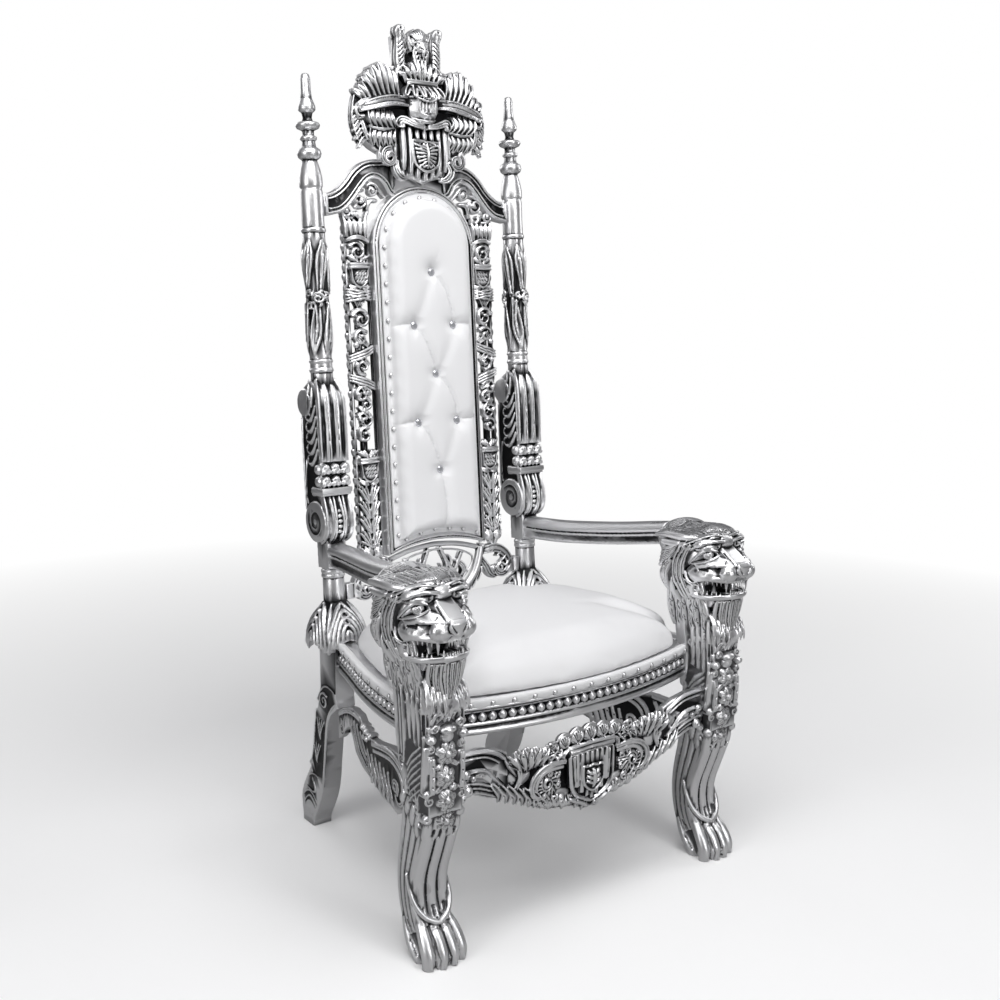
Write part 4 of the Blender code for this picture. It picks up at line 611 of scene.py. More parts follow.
def skirt_rib(face, reach, crown, lean):
    """One arched rib of the leaf skirt: up one side of a face of the post, over, and down the other."""
    middle = math.tau * face / 4
    path = []
    for step in range(9):
        part = -1 + step / 4
        span = reach * math.sin(math.pi / 2 * part)
        rise = crown * math.cos(math.pi / 2 * part) ** 0.7 if abs(part) < 1 else 0.0
        foot = 0.474 - 0.022 * (abs(span) / 0.785) ** 2 - lean
        path.append((0.03 * (middle + span), -0.001, foot + rise, 0.0052 - 0.0012
            * math.cos(math.pi * part)))
    return path


def carve_post():
    """The right-hand post; the left one is its mirror image."""
    work = Carving(BACK @ Matrix.Translation((POST_X, 0, 0)))
    work.turned(FINIAL)
    work.turned(COLUMN)
    # Long folded leaves wrap the shaft above and below a rose.
    around = math.tau * POST_RADIUS / 5
    leaves = []
    veins = []
    for k in range(5):
        x = around * k
        leaves.append([(x + 0.006, 0.001, 1.216, 0.005), (x + 0.004, -0.0005, 1.25, 0.0085),
            (x, -0.001, 1.29, 0.013), (x - 0.004, -0.0015, 1.316, 0.0105),
            (x - 0.006, -0.0005, 1.336, 0.0015)])
        leaves.append([(x + 0.012, 0.001, 1.212, 0.005), (x + 0.014, -0.0005, 1.18, 0.0085),
            (x + 0.018, -0.001, 1.14, 0.0125), (x + 0.022, -0.0015, 1.115, 0.0095),
            (x + 0.026, -0.0005, 1.092, 0.0015)])
        veins.append([(x + 0.005, -0.003, 1.222, 0.0022), (x + 0.001, -0.0045, 1.262, 0.0026),
            (x - 0.004, -0.0045, 1.305, 0.0022)])
        veins.append([(x + 0.018, -0.003, 1.205, 0.0022), (x + 0.01, -0.0045, 1.17, 0.0026),
            (x + 0.019, -0.0045, 1.122, 0.002)])
    shaft = (POST_RADIUS, [(0, POST_RADIUS), (2, POST_RADIUS)])
    work.strands(leaves, "blade", wrap=shaft)
    work.strands(veins, "ridge", wrap=shaft)
    for turn in (0, math.pi):
        middle = POST_RADIUS * (turn + 0.42)
        rose = [spiral(middle, -0.006, 1.213, 0.0125, 1.5, 0.4, 0.0036, lift=0.004),
            spiral(middle + 0.0185, -0.004, 1.224, 0.008, 1.2, 2.2, 0.003, hand=-1),
            spiral(middle + 0.017, -0.004, 1.199, 0.0075, 1.2, 4.0, 0.003),
            spiral(middle - 0.0185, -0.003, 1.219, 0.007, 1.2, 1.0, 0.003)]
        for k in range(5):
            angle = 0.5 + math.tau * k / 5
            rose.append([(middle + 0.01 * math.cos(angle), -0.004, 1.213 + 0.01 * math.sin(angle), 0.003),
                (middle + 0.016 * math.cos(angle), -0.0075, 1.213 + 0.016 * math.sin(angle), 0.0042),
                (middle + 0.018 * math.cos(angle + 0.4), -0.004, 1.213 + 0.018 * math.sin(angle + 0.4),
                0.002)])
        work.strands(rose, "ridge", wrap=shaft)
    carve_console(work)
    # The leaf skirt: four faces of nested arched ribs, lowest at the corners.
    ribs = []
    for face in range(4):
        for reach, crown, lean in ((0.74, 0.082, 0.0), (0.58, 0.066, -0.001), (0.42, 0.05, -0.002),
                (0.25, 0.034, -0.003), (0.09, 0.02, -0.004)):
            ribs.append(skirt_rib(face + 0.02, reach, crown, lean))
        corner = 0.03 * (math.tau * (face + 0.5) / 4)
        ribs.append([(corner, 0.001, 0.556, 0.004), (corner, 0.0, 0.53, 0.0065),
            (corner, -0.001, 0.49, 0.0055), (corner, -0.002, 0.449, 0.002)])
    work.strands(ribs, "ridge", wrap=(0.03, SKIRT))
    carve_rear_leg(work)
    return work.fuse("back_post_right_carved", 0.0014, 70000, foot=0.0)


def carve_console(work):
    """The scroll console on the front of the post: fluted face, leafed sides, beads and a lower roll."""
    work.slab(CONSOLE, -CONSOLE_HALF + 0.002, CONSOLE_HALF - 0.002, across="x")
    for z, y, radius in ((0.735, 0.001, 0.0445), (0.993, 0.024, 0.029)):
        rim = [(y + radius * a, z + radius * b) for a, b in circle(40)]
        work.slab(rim, -0.036, 0.036, across="x")
    folds = []
    for x in (-0.0225, 0.0, 0.0225):
        folds.append([(x * 0.45, 0.01, 1.05, 0.006), (x * 0.75, -0.012, 1.038, 0.0088),
            (x, -0.031, 1.012, 0.0112), (x, -0.0345, 0.975, 0.0116), (x, -0.0345, 0.92, 0.0116),
            (x, -0.0335, 0.866, 0.0108)])
        folds.append([(x, -0.026, 0.795, 0.008), (x, -0.036, 0.776, 0.01), (x, -0.0435, 0.745, 0.0112),
            (x, -0.0405, 0.715, 0.0112), (x, -0.026, 0.697, 0.01), (x, -0.008, 0.69, 0.008)])
    work.strands(folds, "gouge")
    for hand, facing in ((-1, LEFT), (1, RIGHT)):
        side = hand * (CONSOLE_HALF - 0.001)
        lobes = [[(side, -0.03, 1.0, 0.003), (side, -0.033, 0.95, 0.0038), (side, -0.031, 0.872, 0.003)],
            [(side, 0.04, 0.96, 0.0028), (side, 0.0425, 0.88, 0.0028), (side, 0.0425, 0.76, 0.0028)],
            [(side * 0.9, 0.002, 1.042, 0.004), (side, 0.0, 1.02, 0.0062), (side, 0.012, 0.985, 0.0056),
            (side, 0.004, 0.966, 0.003)], [(side * 0.9, -0.01, 1.034, 0.0036), (side, -0.014, 1.01, 0.0056),
            (side, -0.004, 0.985, 0.0046)]]
        for k in range(5):
            z = 0.972 - 0.0235 * k
            lobes.append([(side, -0.026, z + 0.016, 0.0042), (side, -0.016, z - 0.004, 0.0062),
                (side, 0.004, z - 0.02, 0.0058), (side, 0.02, z - 0.012, 0.0046),
                (side, 0.02, z + 0.001, 0.0034), (side, 0.012, z + 0.002, 0.0024)])
        work.strands(lobes, "ridge", facing)
        curls = [side_spiral(side + hand * 0.001, 0.001, 0.735, 0.036, 2.1, 0.6, 0.0036, -hand),
            [(side, 0.03, 0.868, 0.0026), (side, 0.036, 0.82, 0.003), (side, 0.034, 0.775, 0.0026)]]
        work.strands(curls, "ridge", facing)
        work.ball((side + hand * 0.001, 0.001, 0.735), (0.004, 0.0065, 0.0065))
    for z in (0.85, 0.824):
        for x in (-0.0235, 0.0, 0.0235):
            work.ball((x, -0.031, z), (0.0122, 0.013, 0.0118))
            work.ball((x - 0.0055, -0.036, z - 0.005), (0.0066, 0.0085, 0.0066))
            work.ball((x + 0.0055, -0.036, z - 0.005), (0.0066, 0.0085, 0.0066))
            work.ball((x, -0.038, z + 0.005), (0.008, 0.008, 0.0064))
        for hand in (-1, 1):
            work.ball((hand * 0.034, -0.022, z), (0.007, 0.0115, 0.011))
    work.block((-0.0365, -0.042, 0.7985), (0.0365, 0.01, 0.8095))
    work.block((-0.035, -0.038, 0.793), (0.035, 0.01, 0.8))
    for k in range(9):
        angle = math.pi * (0.86 + 0.62 * k / 8)
        work.ball((0.0, 0.001 + 0.0475 * math.cos(angle), 0.735 - 0.0475 * math.sin(angle)),
            (0.0042, 0.0042, 0.0042))
    work.block((-0.0225, -0.0235, 0.632), (0.0225, 0.0235, 0.71))


def carve_rear_leg(work):
    """The curved rear foot: plain inside, with a scroll, husks and a roundel on its outer face."""
    work.place = SEAT @ Matrix.Translation((POST_X, 0, 0))
    work.slab(REAR_LEG, -REAR_LEG_HALF, REAR_LEG_HALF, across="x")
    side = REAR_LEG_HALF
    trims = [side_spiral(side, 0.262, 0.322, 0.021, 1.5, 2.4, 0.004, -1),
        [(side, 0.206, 0.352, 0.003), (side, 0.24, 0.366, 0.0042), (side, 0.272, 0.35, 0.0042),
        (side, 0.29, 0.318, 0.0034)], [(side, 0.208, 0.33, 0.003), (side, 0.238, 0.306, 0.0036),
        (side, 0.252, 0.262, 0.0036), (side, 0.259, 0.205, 0.0034), (side, 0.267, 0.15, 0.0034),
        (side, 0.274, 0.112, 0.003)], [(side, 0.296, 0.296, 0.0026), (side, 0.306, 0.24, 0.003),
        (side, 0.312, 0.195, 0.003), (side, 0.322, 0.165, 0.003)]]
    for z in (0.262, 0.2):
        for spread in (-0.012, -0.004, 0.005, 0.013):
            trims.append([(side - 0.001, 0.281 - (z - 0.262) * 0.28, z - 0.034, 0.003),
                (side + 0.001, 0.279 + spread * 0.6 - (z - 0.262) * 0.28, z - 0.006, 0.0044),
                (side - 0.001, 0.277 + spread * 1.3 - (z - 0.262) * 0.28, z + 0.012, 0.0018)])
    trims += [[(side, 0.322, 0.118, 0.003), (side, 0.302, 0.098, 0.0044), (side, 0.318, 0.082, 0.0046),
        (side, 0.35, 0.092, 0.003)], [(side, 0.296, 0.128, 0.0026), (side, 0.318, 0.138, 0.0038),
        (side, 0.34, 0.118, 0.003)], [(side, 0.3, 0.06, 0.0026), (side, 0.318, 0.084, 0.004),
        (side, 0.35, 0.084, 0.004), (side, 0.37, 0.06, 0.0026)], [(side, 0.305, 0.046, 0.0024),
        (side, 0.322, 0.07, 0.0036), (side, 0.348, 0.07, 0.0036), (side, 0.364, 0.046, 0.0024)]]
    work.strands(trims, "ridge", RIGHT)
    work.ball((side - 0.003, 0.338, 0.04), (0.0065, 0.022, 0.02))
    work.ball((0.004, 0.33, 0.154), (0.021, 0.0115, 0.014))
    work.ball((0.012, 0.322, 0.136), (0.013, 0.0085, 0.0085))


post_right = carve_post()
post_left = other_hand(post_right, "back_post_left_carved")
stands_for(post_right, "back_post_right")
stands_for(post_left, "back_post_left")


# Front legs: each is one length of hardwood carved as a lion's paw, a fluted shank, a flowered knee
# and a roaring lion's head; the arm is tenoned into the back of the mane.
LEG_X = 0.362
SHANK_HALF = 0.034
SHANK = mm([(-322, -6), (-334, 14), (-328, 36), (-308, 60), (-290, 80), (-280, 105), (-277, 140),
    (-284, 175), (-300, 212), (-318, 252), (-328, 295), (-331, 350), (-331, 480), (-322, 530), (-226, 555),
    (-220, 500), (-232, 440), (-238, 400), (-254, 330), (-252, 280), (-243, 232), (-234, 180), (-231, 150),
    (-234, 110), (-247, 66), (-263, 25), (-272, -6)])
MUZZLE_START = -0.335
MUZZLE_SHARE = 0.82


def curved(points, steps=4):
    """The same line with rounded runs between its points; its ends stay where they are."""
    ends = [points[0], *points, points[-1]]
    line = []
    for before, one, two, after in zip(ends, ends[1:], ends[2:], ends[3:]):
        for step in range(steps):
            t = step / steps
            line.append(tuple(0.5 * (2 * b + (c - a) * t + (2 * a - 5 * b + 4 * c - d) * t * t
                + (3 * b - a - 3 * c + d) * t ** 3) for a, b, c, d in zip(before, one, two, after)))
    return line + [tuple(points[-1])]


def both_hands(paths):
    """Paths and their mirror images across X = 0."""
    return paths + [[(-point[0], *point[1:]) for point in path] for path in paths]


def rosette(work, x, y, z, size, turn):
    """A carved flower that faces the front: ribbed petals that cup forward round a knob."""
    for k in range(6):
        angle = turn + math.tau * k / 6
        out = Vector((math.cos(angle), 0, math.sin(angle)))
        middle = Vector((x, y, z)) + out * size * 0.58
        roll = Matrix.Rotation(-angle, 4, "Y") @ Matrix.Rotation(0.45, 4, "Z")
        work.ball(middle, (size * 0.43, size * 0.2, size * 0.36), roll)
        for spread in (-0.36, 0.0, 0.36):
            lean = Vector((math.cos(angle + spread), 0, math.sin(angle + spread)))
            work.cut([Vector((x, y - size * 0.2, z)) + lean * size * 0.34,
                Vector((x, y - size * 0.34, z)) + lean * size * 0.9], 0.0017, 0.0012)
    work.ball((x, y - size * 0.22, z), (size * 0.24, size * 0.26, size * 0.24))


def carve_shank(work):
    """The fluted shank, the hem above the paw, and the paw with four clawed toes."""
    work.slab(curved(SHANK), -SHANK_HALF, SHANK_HALF, across="x")
    front = mm([(-302, 66), (-289, 86), (-282, 110), (-280, 140), (-286, 172), (-302, 212), (-320, 262)])
    rear = mm([(-262, 40), (-247, 75), (-237, 110), (-234, 150), (-238, 190), (-250, 250), (-260, 320)])
    ribs = []
    for x in (-0.0255, 0.0, 0.0255):
        ribs.append([(x, y + 0.005, z, 0.0128) for y, z in front])
        ribs.append([(x, y + 0.005, z, 0.0125) for y, z in rear])
    for hand in (-1, 1):
        for share in (0.2, 0.5, 0.8):
            ribs.append([(hand * 0.03, a[0] * share + b[0] * (1 - share), a[1] * share + b[1] * (1 - share),
                0.0098) for a, b in zip(front, rear)])
    work.strands(ribs, "round", RIGHT)
    rim = mm([(-41, -262, 165, 3), (-42, -272, 135, 4.4), (-38, -292, 104, 5.2), (-20, -308, 82, 5.4),
        (0, -312, 76, 5.4)])
    work.strands(both_hands([rim]), "round")
    work.cut(mm([(-43, -262, 150), (-42, -280, 108), (-22, -312, 70), (0, -318, 66), (22, -312, 70),
        (42, -280, 108), (43, -262, 150)]), 0.0035, 0.0018)
    for x in (-0.0125, 0.0125):
        work.cut([(x, -0.3, 0.252), (x, -0.288, 0.2), (x, -0.272, 0.15), (x, -0.276, 0.11),
            (x * 1.05, -0.29, 0.088)], 0.0036, 0.003)
    for x in (-0.0255, 0.0, 0.0255):
        work.cut([(x * 0.9, -0.29, 0.098), (x * 0.85, -0.3, 0.087)], 0.0075, 0.0042)
    toes = []
    for k, ahead in enumerate((0.0, 0.009, 0.009, 0.0)):
        x = -0.0345 + 0.023 * k
        toes.append([(x * 0.78, -0.285, 0.078, 0.01), (x * 0.92, -0.304 - ahead, 0.06, 0.0125),
            (x, -0.322 - ahead, 0.036, 0.0135), (x * 1.04, -0.331 - ahead, 0.016, 0.013),
            (x * 1.04, -0.326 - ahead, -0.002, 0.011)])
        work.ball((x * 0.95, -0.309 - ahead, 0.052), (0.0118, 0.013, 0.0125))
        work.hull([(x * 1.04 + a, -0.341 - ahead + b, c) for a, b, c in ((-0.003, 0.004, 0.017),
            (0.003, 0.004, 0.017), (0, 0.001, 0.018), (-0.0022, -0.002, 0.002), (0.0022, -0.002, 0.002),
            (0, 0.004, 0.001))])
    for hand in (-1, 1):
        toes.append(mm([(32, -246, 70, 8.5), (36, -266, 34, 11.5), (36, -292, 10, 11), (34, -300, -3, 9)],
            hand))
    work.strands(toes, "round", RIGHT)
    for x in (-0.024, 0.0, 0.024):
        work.cut([(x * 0.75, -0.296, 0.076), (x, -0.33, 0.05), (x * 1.02, -0.35, 0.02),
            (x * 1.02, -0.345, 0.0)], 0.004, 0.003)
    for hand in (-1, 1):
        work.cut(mm([(46, -262, 70), (48, -290, 40), (48, -312, 12)], hand), 0.0035, 0.0022)


def carve_knee(work):
    """Four ribbed flowers between drilled strips, leaf work on both sides and a scalloped cuff."""
    work.block((-0.037, -0.3335, 0.3), (0.037, -0.25, 0.47))
    work.block((-0.0412, -0.324, 0.335), (0.0412, -0.249, 0.5))
    for z, x, size in ((0.418, 0.001, 0.0235), (0.3725, 0.004, 0.0228), (0.3275, 0.0, 0.0228),
            (0.283, -0.003, 0.0228)):
        y = -0.339 + max(0.0, 0.345 - z) * 0.2
        rosette(work, x, y, z, size, 0.3 + z * 40)
        work.ball((x, y + 0.006, z), (size * 0.55, 0.01, size * 0.55))
        for a, b in circle(10, 1 / math.pi):
            work.cut([(x + size * 0.45 * a, y - 0.01, z + size * 0.45 * b),
                (x + size * 0.95 * a, y - 0.006, z + size * 0.95 * b)], 0.0015, 0.0016)
    for z, x in ((0.394, 0.015), (0.35, -0.013), (0.304, 0.014)):
        for k in range(3):
            work.ball((x + 0.004 * math.cos(2.1 * k), -0.337 + max(0.0, 0.345 - z) * 0.2,
                z + 0.004 * math.sin(2.1 * k)), (0.0042, 0.005, 0.0042))
        for hand in (-1, 1):
            leaf = [(hand * 0.004, z + 0.01, 0.0034), (hand * 0.014, z + 0.004, 0.006),
                (hand * 0.024, z - 0.004, 0.0036)]
            work.strands([[(a, -0.3365 + max(0.0, 0.345 - z) * 0.2, b, wide) for a, b, wide in leaf]],
                "blade")
    work.ball((0, -0.339, 0.4635), (0.017, 0.013, 0.0088))
    work.ball((0, -0.336, 0.45), (0.0135, 0.0105, 0.012))
    work.cut(mm([(-12, -350, 457), (0, -354, 454), (12, -350, 457)]), 0.0028, 0.002)
    for hand in (-1, 1):
        front = mm([(32.5, -338, 414, 6.2), (33, -340, 380, 6.2), (31.8, -336, 344, 6.2)], hand)
        work.strands([front], "band")
        for z in (0.399, 0.378, 0.358):
            work.cut([(hand * 0.0325, -0.345, z)], 0.003, 0.0042)
        side = mm([(37.2, -326, 432, 7), (39.2, -326.5, 390, 9), (38.5, -322, 345, 8)], hand)
        work.strands([side], "round", RIGHT)
        work.ball((hand * 0.0345, -0.337, 0.449), (0.0098, 0.0105, 0.0088))
        work.ball((hand * 0.04, -0.33, 0.345), (0.0072, 0.0072, 0.0072))
        work.ball((hand * 0.036, -0.325, 0.2945), (0.0098, 0.0098, 0.0096))
        work.cut([(hand * 0.04, -0.333, 0.2945)], 0.0042, 0.0046)
        for k in range(6):
            work.ball((hand * 0.0405, -0.287 - 0.004 * k, 0.332 - 0.011 * k), (0.0034, 0.0034, 0.0038))
        curls = [spiral(hand * 0.0345, -0.338, 0.43, 0.008, 1.3, 1.4, 0.003, hand=hand),
            spiral(hand * 0.035, -0.333, 0.331, 0.0095, 1.35, 1.2, 0.0034, hand=-hand),
            mm([(27.5, -330, 470, 3), (30, -338, 488, 4.2), (18, -343, 500, 4.8), (5, -340, 490, 3.4)],
            hand), spiral(hand * 0.027, -0.34, 0.47, 0.0088, 1.4, 0.2, 0.0034, hand=-hand),
            mm([(18, -330, 476, 3), (11.5, -338, 486, 4.6), (16, -346, 500, 4.6), (26, -342, 512, 2.6)],
            hand), mm([(5, -334, 476, 3.4), (4, -343, 492, 5.2), (6, -350, 508, 4), (13, -350, 516, 2)],
            hand)]
        work.strands(curls, "ridge")
        for k in range(5):
            x = hand * (0.008 + 0.005 * k)
            work.cut([(x, -0.35, 0.478 + 0.002 * k), (x + hand * 0.004, -0.354, 0.492 + 0.002 * k)], 0.0016,
                0.0014)
        leafage = [mm([(38, -232, 562, 10), (40.5, -243, 520, 15), (41.5, -250, 465, 16),
            (40.5, -251, 415, 13.5), (39.5, -250, 384, 8)], hand)]
        work.strands(leafage, "blade", RIGHT)
        strokes = [side_spiral(hand * 0.0415, -0.2505, 0.388, 0.0115, 1.3, 4.4, 0.0038, hand),
            side_spiral(hand * 0.0415, -0.273, 0.484, 0.008, 1.3, 1.0, 0.0032, hand),
            side_spiral(hand * 0.0415, -0.319, 0.497, 0.0078, 1.3, 2.0, 0.0032, -hand)]
        for k in range(4):
            y = -0.275 - 0.0155 * k
            strokes.append([(hand * 0.0385, y + 0.006, 0.548, 0.005), (hand * 0.0415, y, 0.515, 0.0068),
                (hand * 0.042, y - 0.003, 0.475, 0.0066), (hand * 0.04, y - 0.003, 0.438 - 0.004 * k,
                0.004)])
        for k in range(7):
            z = 0.432 - 0.0135 * k
            strokes.append([(hand * 0.0385, -0.314, z, 0.0036), (hand * 0.0405, -0.3, z - 0.013, 0.0056),
                (hand * 0.041, -0.282, z - 0.029, 0.0056), (hand * 0.039, -0.267 - 0.001 * k,
                z - 0.05 + 0.002 * k, 0.0034)])
        for k in range(3):
            strokes.append([(hand * 0.039, -0.262 - 0.017 * k, 0.352 - 0.004 * k, 0.0052),
                (hand * 0.04, -0.264 - 0.018 * k, 0.338 - 0.005 * k, 0.0066),
                (hand * 0.0385, -0.262 - 0.017 * k, 0.324 - 0.005 * k, 0.0046)])
        strokes.append(mm([(37.5, -316, 348, 3), (40, -304, 334, 3.6), (40, -300, 312, 3.6),
            (38.5, -305, 290, 3.6), (34, -314, 278, 3)], hand))
        work.strands(strokes, "ridge", RIGHT)
        work.cut(mm([(43, -325, 492), (43, -326, 456)], hand), 0.0045, 0.006)
    hem = []
    for k in range(5):
        x = -0.031 + 0.0155 * k
        hem.append([(x, -0.322, 0.296, 0.007), (x, -0.321 + 0.05 * abs(x), 0.272, 0.0098),
            (x, -0.314 + 0.06 * abs(x), 0.251, 0.0088), (x, -0.304 + 0.06 * abs(x), 0.238 + 0.003 * (k % 2),
            0.0034)])
    work.strands(hem, "round")
    hem = []
    for hand in (-1, 1):
        for k in range(4):
            y = -0.302 + 0.0165 * k
            hem.append([(hand * 0.0335, y, 0.3 + 0.008 * k, 0.0075),
                (hand * 0.0365, y + 0.003, 0.278 + 0.012 * k, 0.0092),
                (hand * 0.035, y + 0.006, 0.254 + 0.016 * k, 0.0078),
                (hand * 0.032, y + 0.007, 0.242 + 0.017 * k, 0.003)])
    work.strands(hem, "round", RIGHT)
    for k in range(4):
        x = -0.0235 + 0.0157 * k
        work.cut([(x, -0.331 + 0.05 * abs(x), 0.268), (x - 0.001, -0.322 + 0.05 * abs(x), 0.252)], 0.0036,
            0.0052)
    for hand in (-1, 1):
        for k in range(3):
            y = -0.293 + 0.0165 * k
            work.cut([(hand * 0.045, y, 0.272 + 0.014 * k), (hand * 0.043, y + 0.003, 0.257 + 0.015 * k)],
                0.0034, 0.0048)


def wavy(points, sway, turns):
    """A line of carved hair: it sways a little from side to side on its way."""
    line = curved(points, 5)
    last = len(line) - 1
    return [(x + sway * math.sin(turns * math.tau * k / last), y, z + 0.4 * sway
        * math.sin(turns * math.tau * k / last + 1.0)) for k, (x, y, z) in enumerate(line)]


def carve_neck(work):
    """The chest and neck: shallow locks down both sides, a hollow throat and tufts over the knee."""
    work.slab(curved(mm([(-322, 470), (-330, 510), (-312, 540), (-302, 570), (-300, 600), (-296, 650),
        (-180, 690), (-172, 640), (-196, 590), (-212, 540), (-226, 470)])), -0.039, 0.039, across="x")
    locks = []
    for hand in (-1, 1):
        for k in range(6):
            part = k / 5
            y = -0.3 + 0.092 * part
            sway = 0.005 * (-1) ** k
            locks.append([(hand * 0.046, y + 0.01, 0.64 + 0.014 * part, 0.011),
                (hand * (0.048 - 0.004 * part), y + sway, 0.6, 0.0125),
                (hand * 0.04, y - 0.004 - sway, 0.56, 0.0115), (hand * 0.037, y - 0.004, 0.528, 0.009),
                (hand * 0.038, y - 0.01, 0.502 + 0.012 * (k % 2), 0.005)])
    work.strands(locks, "round", RIGHT)
    tufts = []
    for hand in (-1, 1):
        for k in range(4):
            x = hand * (0.006 + 0.0105 * k)
            tufts.append([(x * 0.9, -0.312, 0.56, 0.005), (x, -0.332, 0.546, 0.0062),
                (x * 1.05 + hand * 0.002, -0.349 + 0.003 * k, 0.524, 0.0058),
                (x * 1.15 + hand * 0.003, -0.352 + 0.003 * k, 0.5 + 0.005 * (k % 2), 0.0022)])
        for k in range(3):
            x = hand * (0.011 + 0.0105 * k)
            tufts.append([(x, -0.318, 0.548, 0.004), (x * 1.08, -0.34, 0.534, 0.005),
                (x * 1.2, -0.3565 + 0.003 * k, 0.512, 0.004), (x * 1.3, -0.352 + 0.003 * k, 0.496, 0.0016)])
    work.strands(tufts, "ridge")
    for hand in (-1, 1):
        for row in range(3):
            for k in range(9):
                y = -0.316 + 0.0125 * k + 0.004 * row
                top = 0.62 - 0.032 * row + 0.006 * (k % 3)
                work.cut(wavy([(hand * 0.062, y + 0.004, top), (hand * 0.058, y - 0.001, top - 0.012),
                    (hand * 0.052, y + 0.002, top - 0.025), (hand * 0.048, y - 0.003, top - 0.034)], 0.001,
                    1.0), 0.0026, 0.0018)


def head_block():
    """The head roughed out and smoothed: skull, brows, planed nose and cheekbones, muzzle and open jaws."""
    work = Carving()
    work.ball((0, -0.248, 0.67), (0.062, 0.074, 0.064), detail=4)
    work.ball((0, -0.212, 0.696), (0.061, 0.07, 0.049), detail=4)
    work.ball((0, -0.283, 0.712), (0.046, 0.038, 0.028), detail=4)
    work.ball((0, -0.262, 0.612), (0.05, 0.046, 0.034), detail=4)
    bridge, nose = [], []
    for hand in (-1, 1):
        bridge += [(hand * a, b, c) for a, b, c in ((0.0175, -0.321, 0.7035), (0.018, -0.373, 0.6755),
            (0.027, -0.33, 0.68), (0.024, -0.374, 0.664), (0.018, -0.29, 0.712), (0.033, -0.3, 0.66),
            (0.024, -0.355, 0.648))]
        nose += [(hand * a, b, c) for a, b, c in ((0.016, -0.379, 0.6765), (0.0175, -0.3885, 0.667),
            (0.017, -0.3875, 0.656), (0.006, -0.388, 0.6435), (0.013, -0.378, 0.645),
            (0.0195, -0.366, 0.66))]
        work.hull([(hand * a, b, c) for a, b, c in ((0.0665, -0.289, 0.6675), (0.0555, -0.3255, 0.6745),
            (0.0365, -0.3375, 0.6865), (0.024, -0.358, 0.683), (0.0665, -0.302, 0.6585),
            (0.0565, -0.337, 0.665), (0.042, -0.362, 0.6705), (0.024, -0.379, 0.67), (0.03, -0.29, 0.672),
            (0.04, -0.3, 0.655))])
        work.ball((hand * 0.0262, -0.361, 0.653), (0.0212, 0.0215, 0.0185))
        work.ball((hand * 0.039, -0.298, 0.642), (0.0295, 0.043, 0.029))
        work.ball((hand * 0.036, -0.299, 0.708), (0.033, 0.03, 0.02))
        work.hull([(hand * a, b, c) for a, b, c in ((0.017, -0.32, 0.6985), (0.0175, -0.371, 0.6725),
            (0.0365, -0.3365, 0.685), (0.024, -0.377, 0.669), (0.02, -0.3, 0.67), (0.033, -0.32, 0.694))])
        work.ball((hand * 0.0545, -0.281, 0.612), (0.013, 0.02, 0.022))
    work.hull(bridge)
    work.hull(nose)
    work.ball((0, -0.302, 0.711), (0.036, 0.029, 0.019))
    lips = []
    for hand in (-1, 1):
        lips.append(mm([(0, -366, 637, 7.5), (22, -365, 637.5, 8.5), (40, -350, 638.5, 8),
            (50.5, -330, 640, 7), (60, -302, 630, 6.6), (61.5, -288, 614, 7)], hand))
        lips.append(mm([(0, -364, 602.5, 7.5), (20, -360, 602, 7.8), (40, -343, 600.5, 7.6),
            (53, -314, 596, 7.6), (58.5, -288, 599, 8)], hand))
    work.strands(lips, "round", RIGHT)
    work.hull([(x, y, z) for x in (-0.016, 0.016) for y, z in ((-0.364, 0.6), (-0.36, 0.578),
        (-0.335, 0.57), (-0.335, 0.6))])
    work.hull([(x, y, z) for x in (-0.041, 0.041) for y, z in ((-0.336, 0.597), (-0.322, 0.574),
        (-0.262, 0.572), (-0.262, 0.6))])
    gape = bmesh.new()
    for x in (-0.075, 0.075):
        for y, z in ((-0.42, 0.612), (-0.42, 0.63), (-0.352, 0.6315), (-0.322, 0.634), (-0.301, 0.627),
                (-0.2935, 0.613), (-0.304, 0.601), (-0.35, 0.609)):
            gape.verts.new((x, y, z))
    bmesh.ops.convex_hull(gape, input=gape.verts[:])
    rough = Carving()
    rough.keep_mesh(work.hollow(gape, 0.0014))
    piece = rough.join("head", 0.0012, 7)
    mesh = piece.data.copy()
    bpy.data.objects.remove(piece)
    return mesh


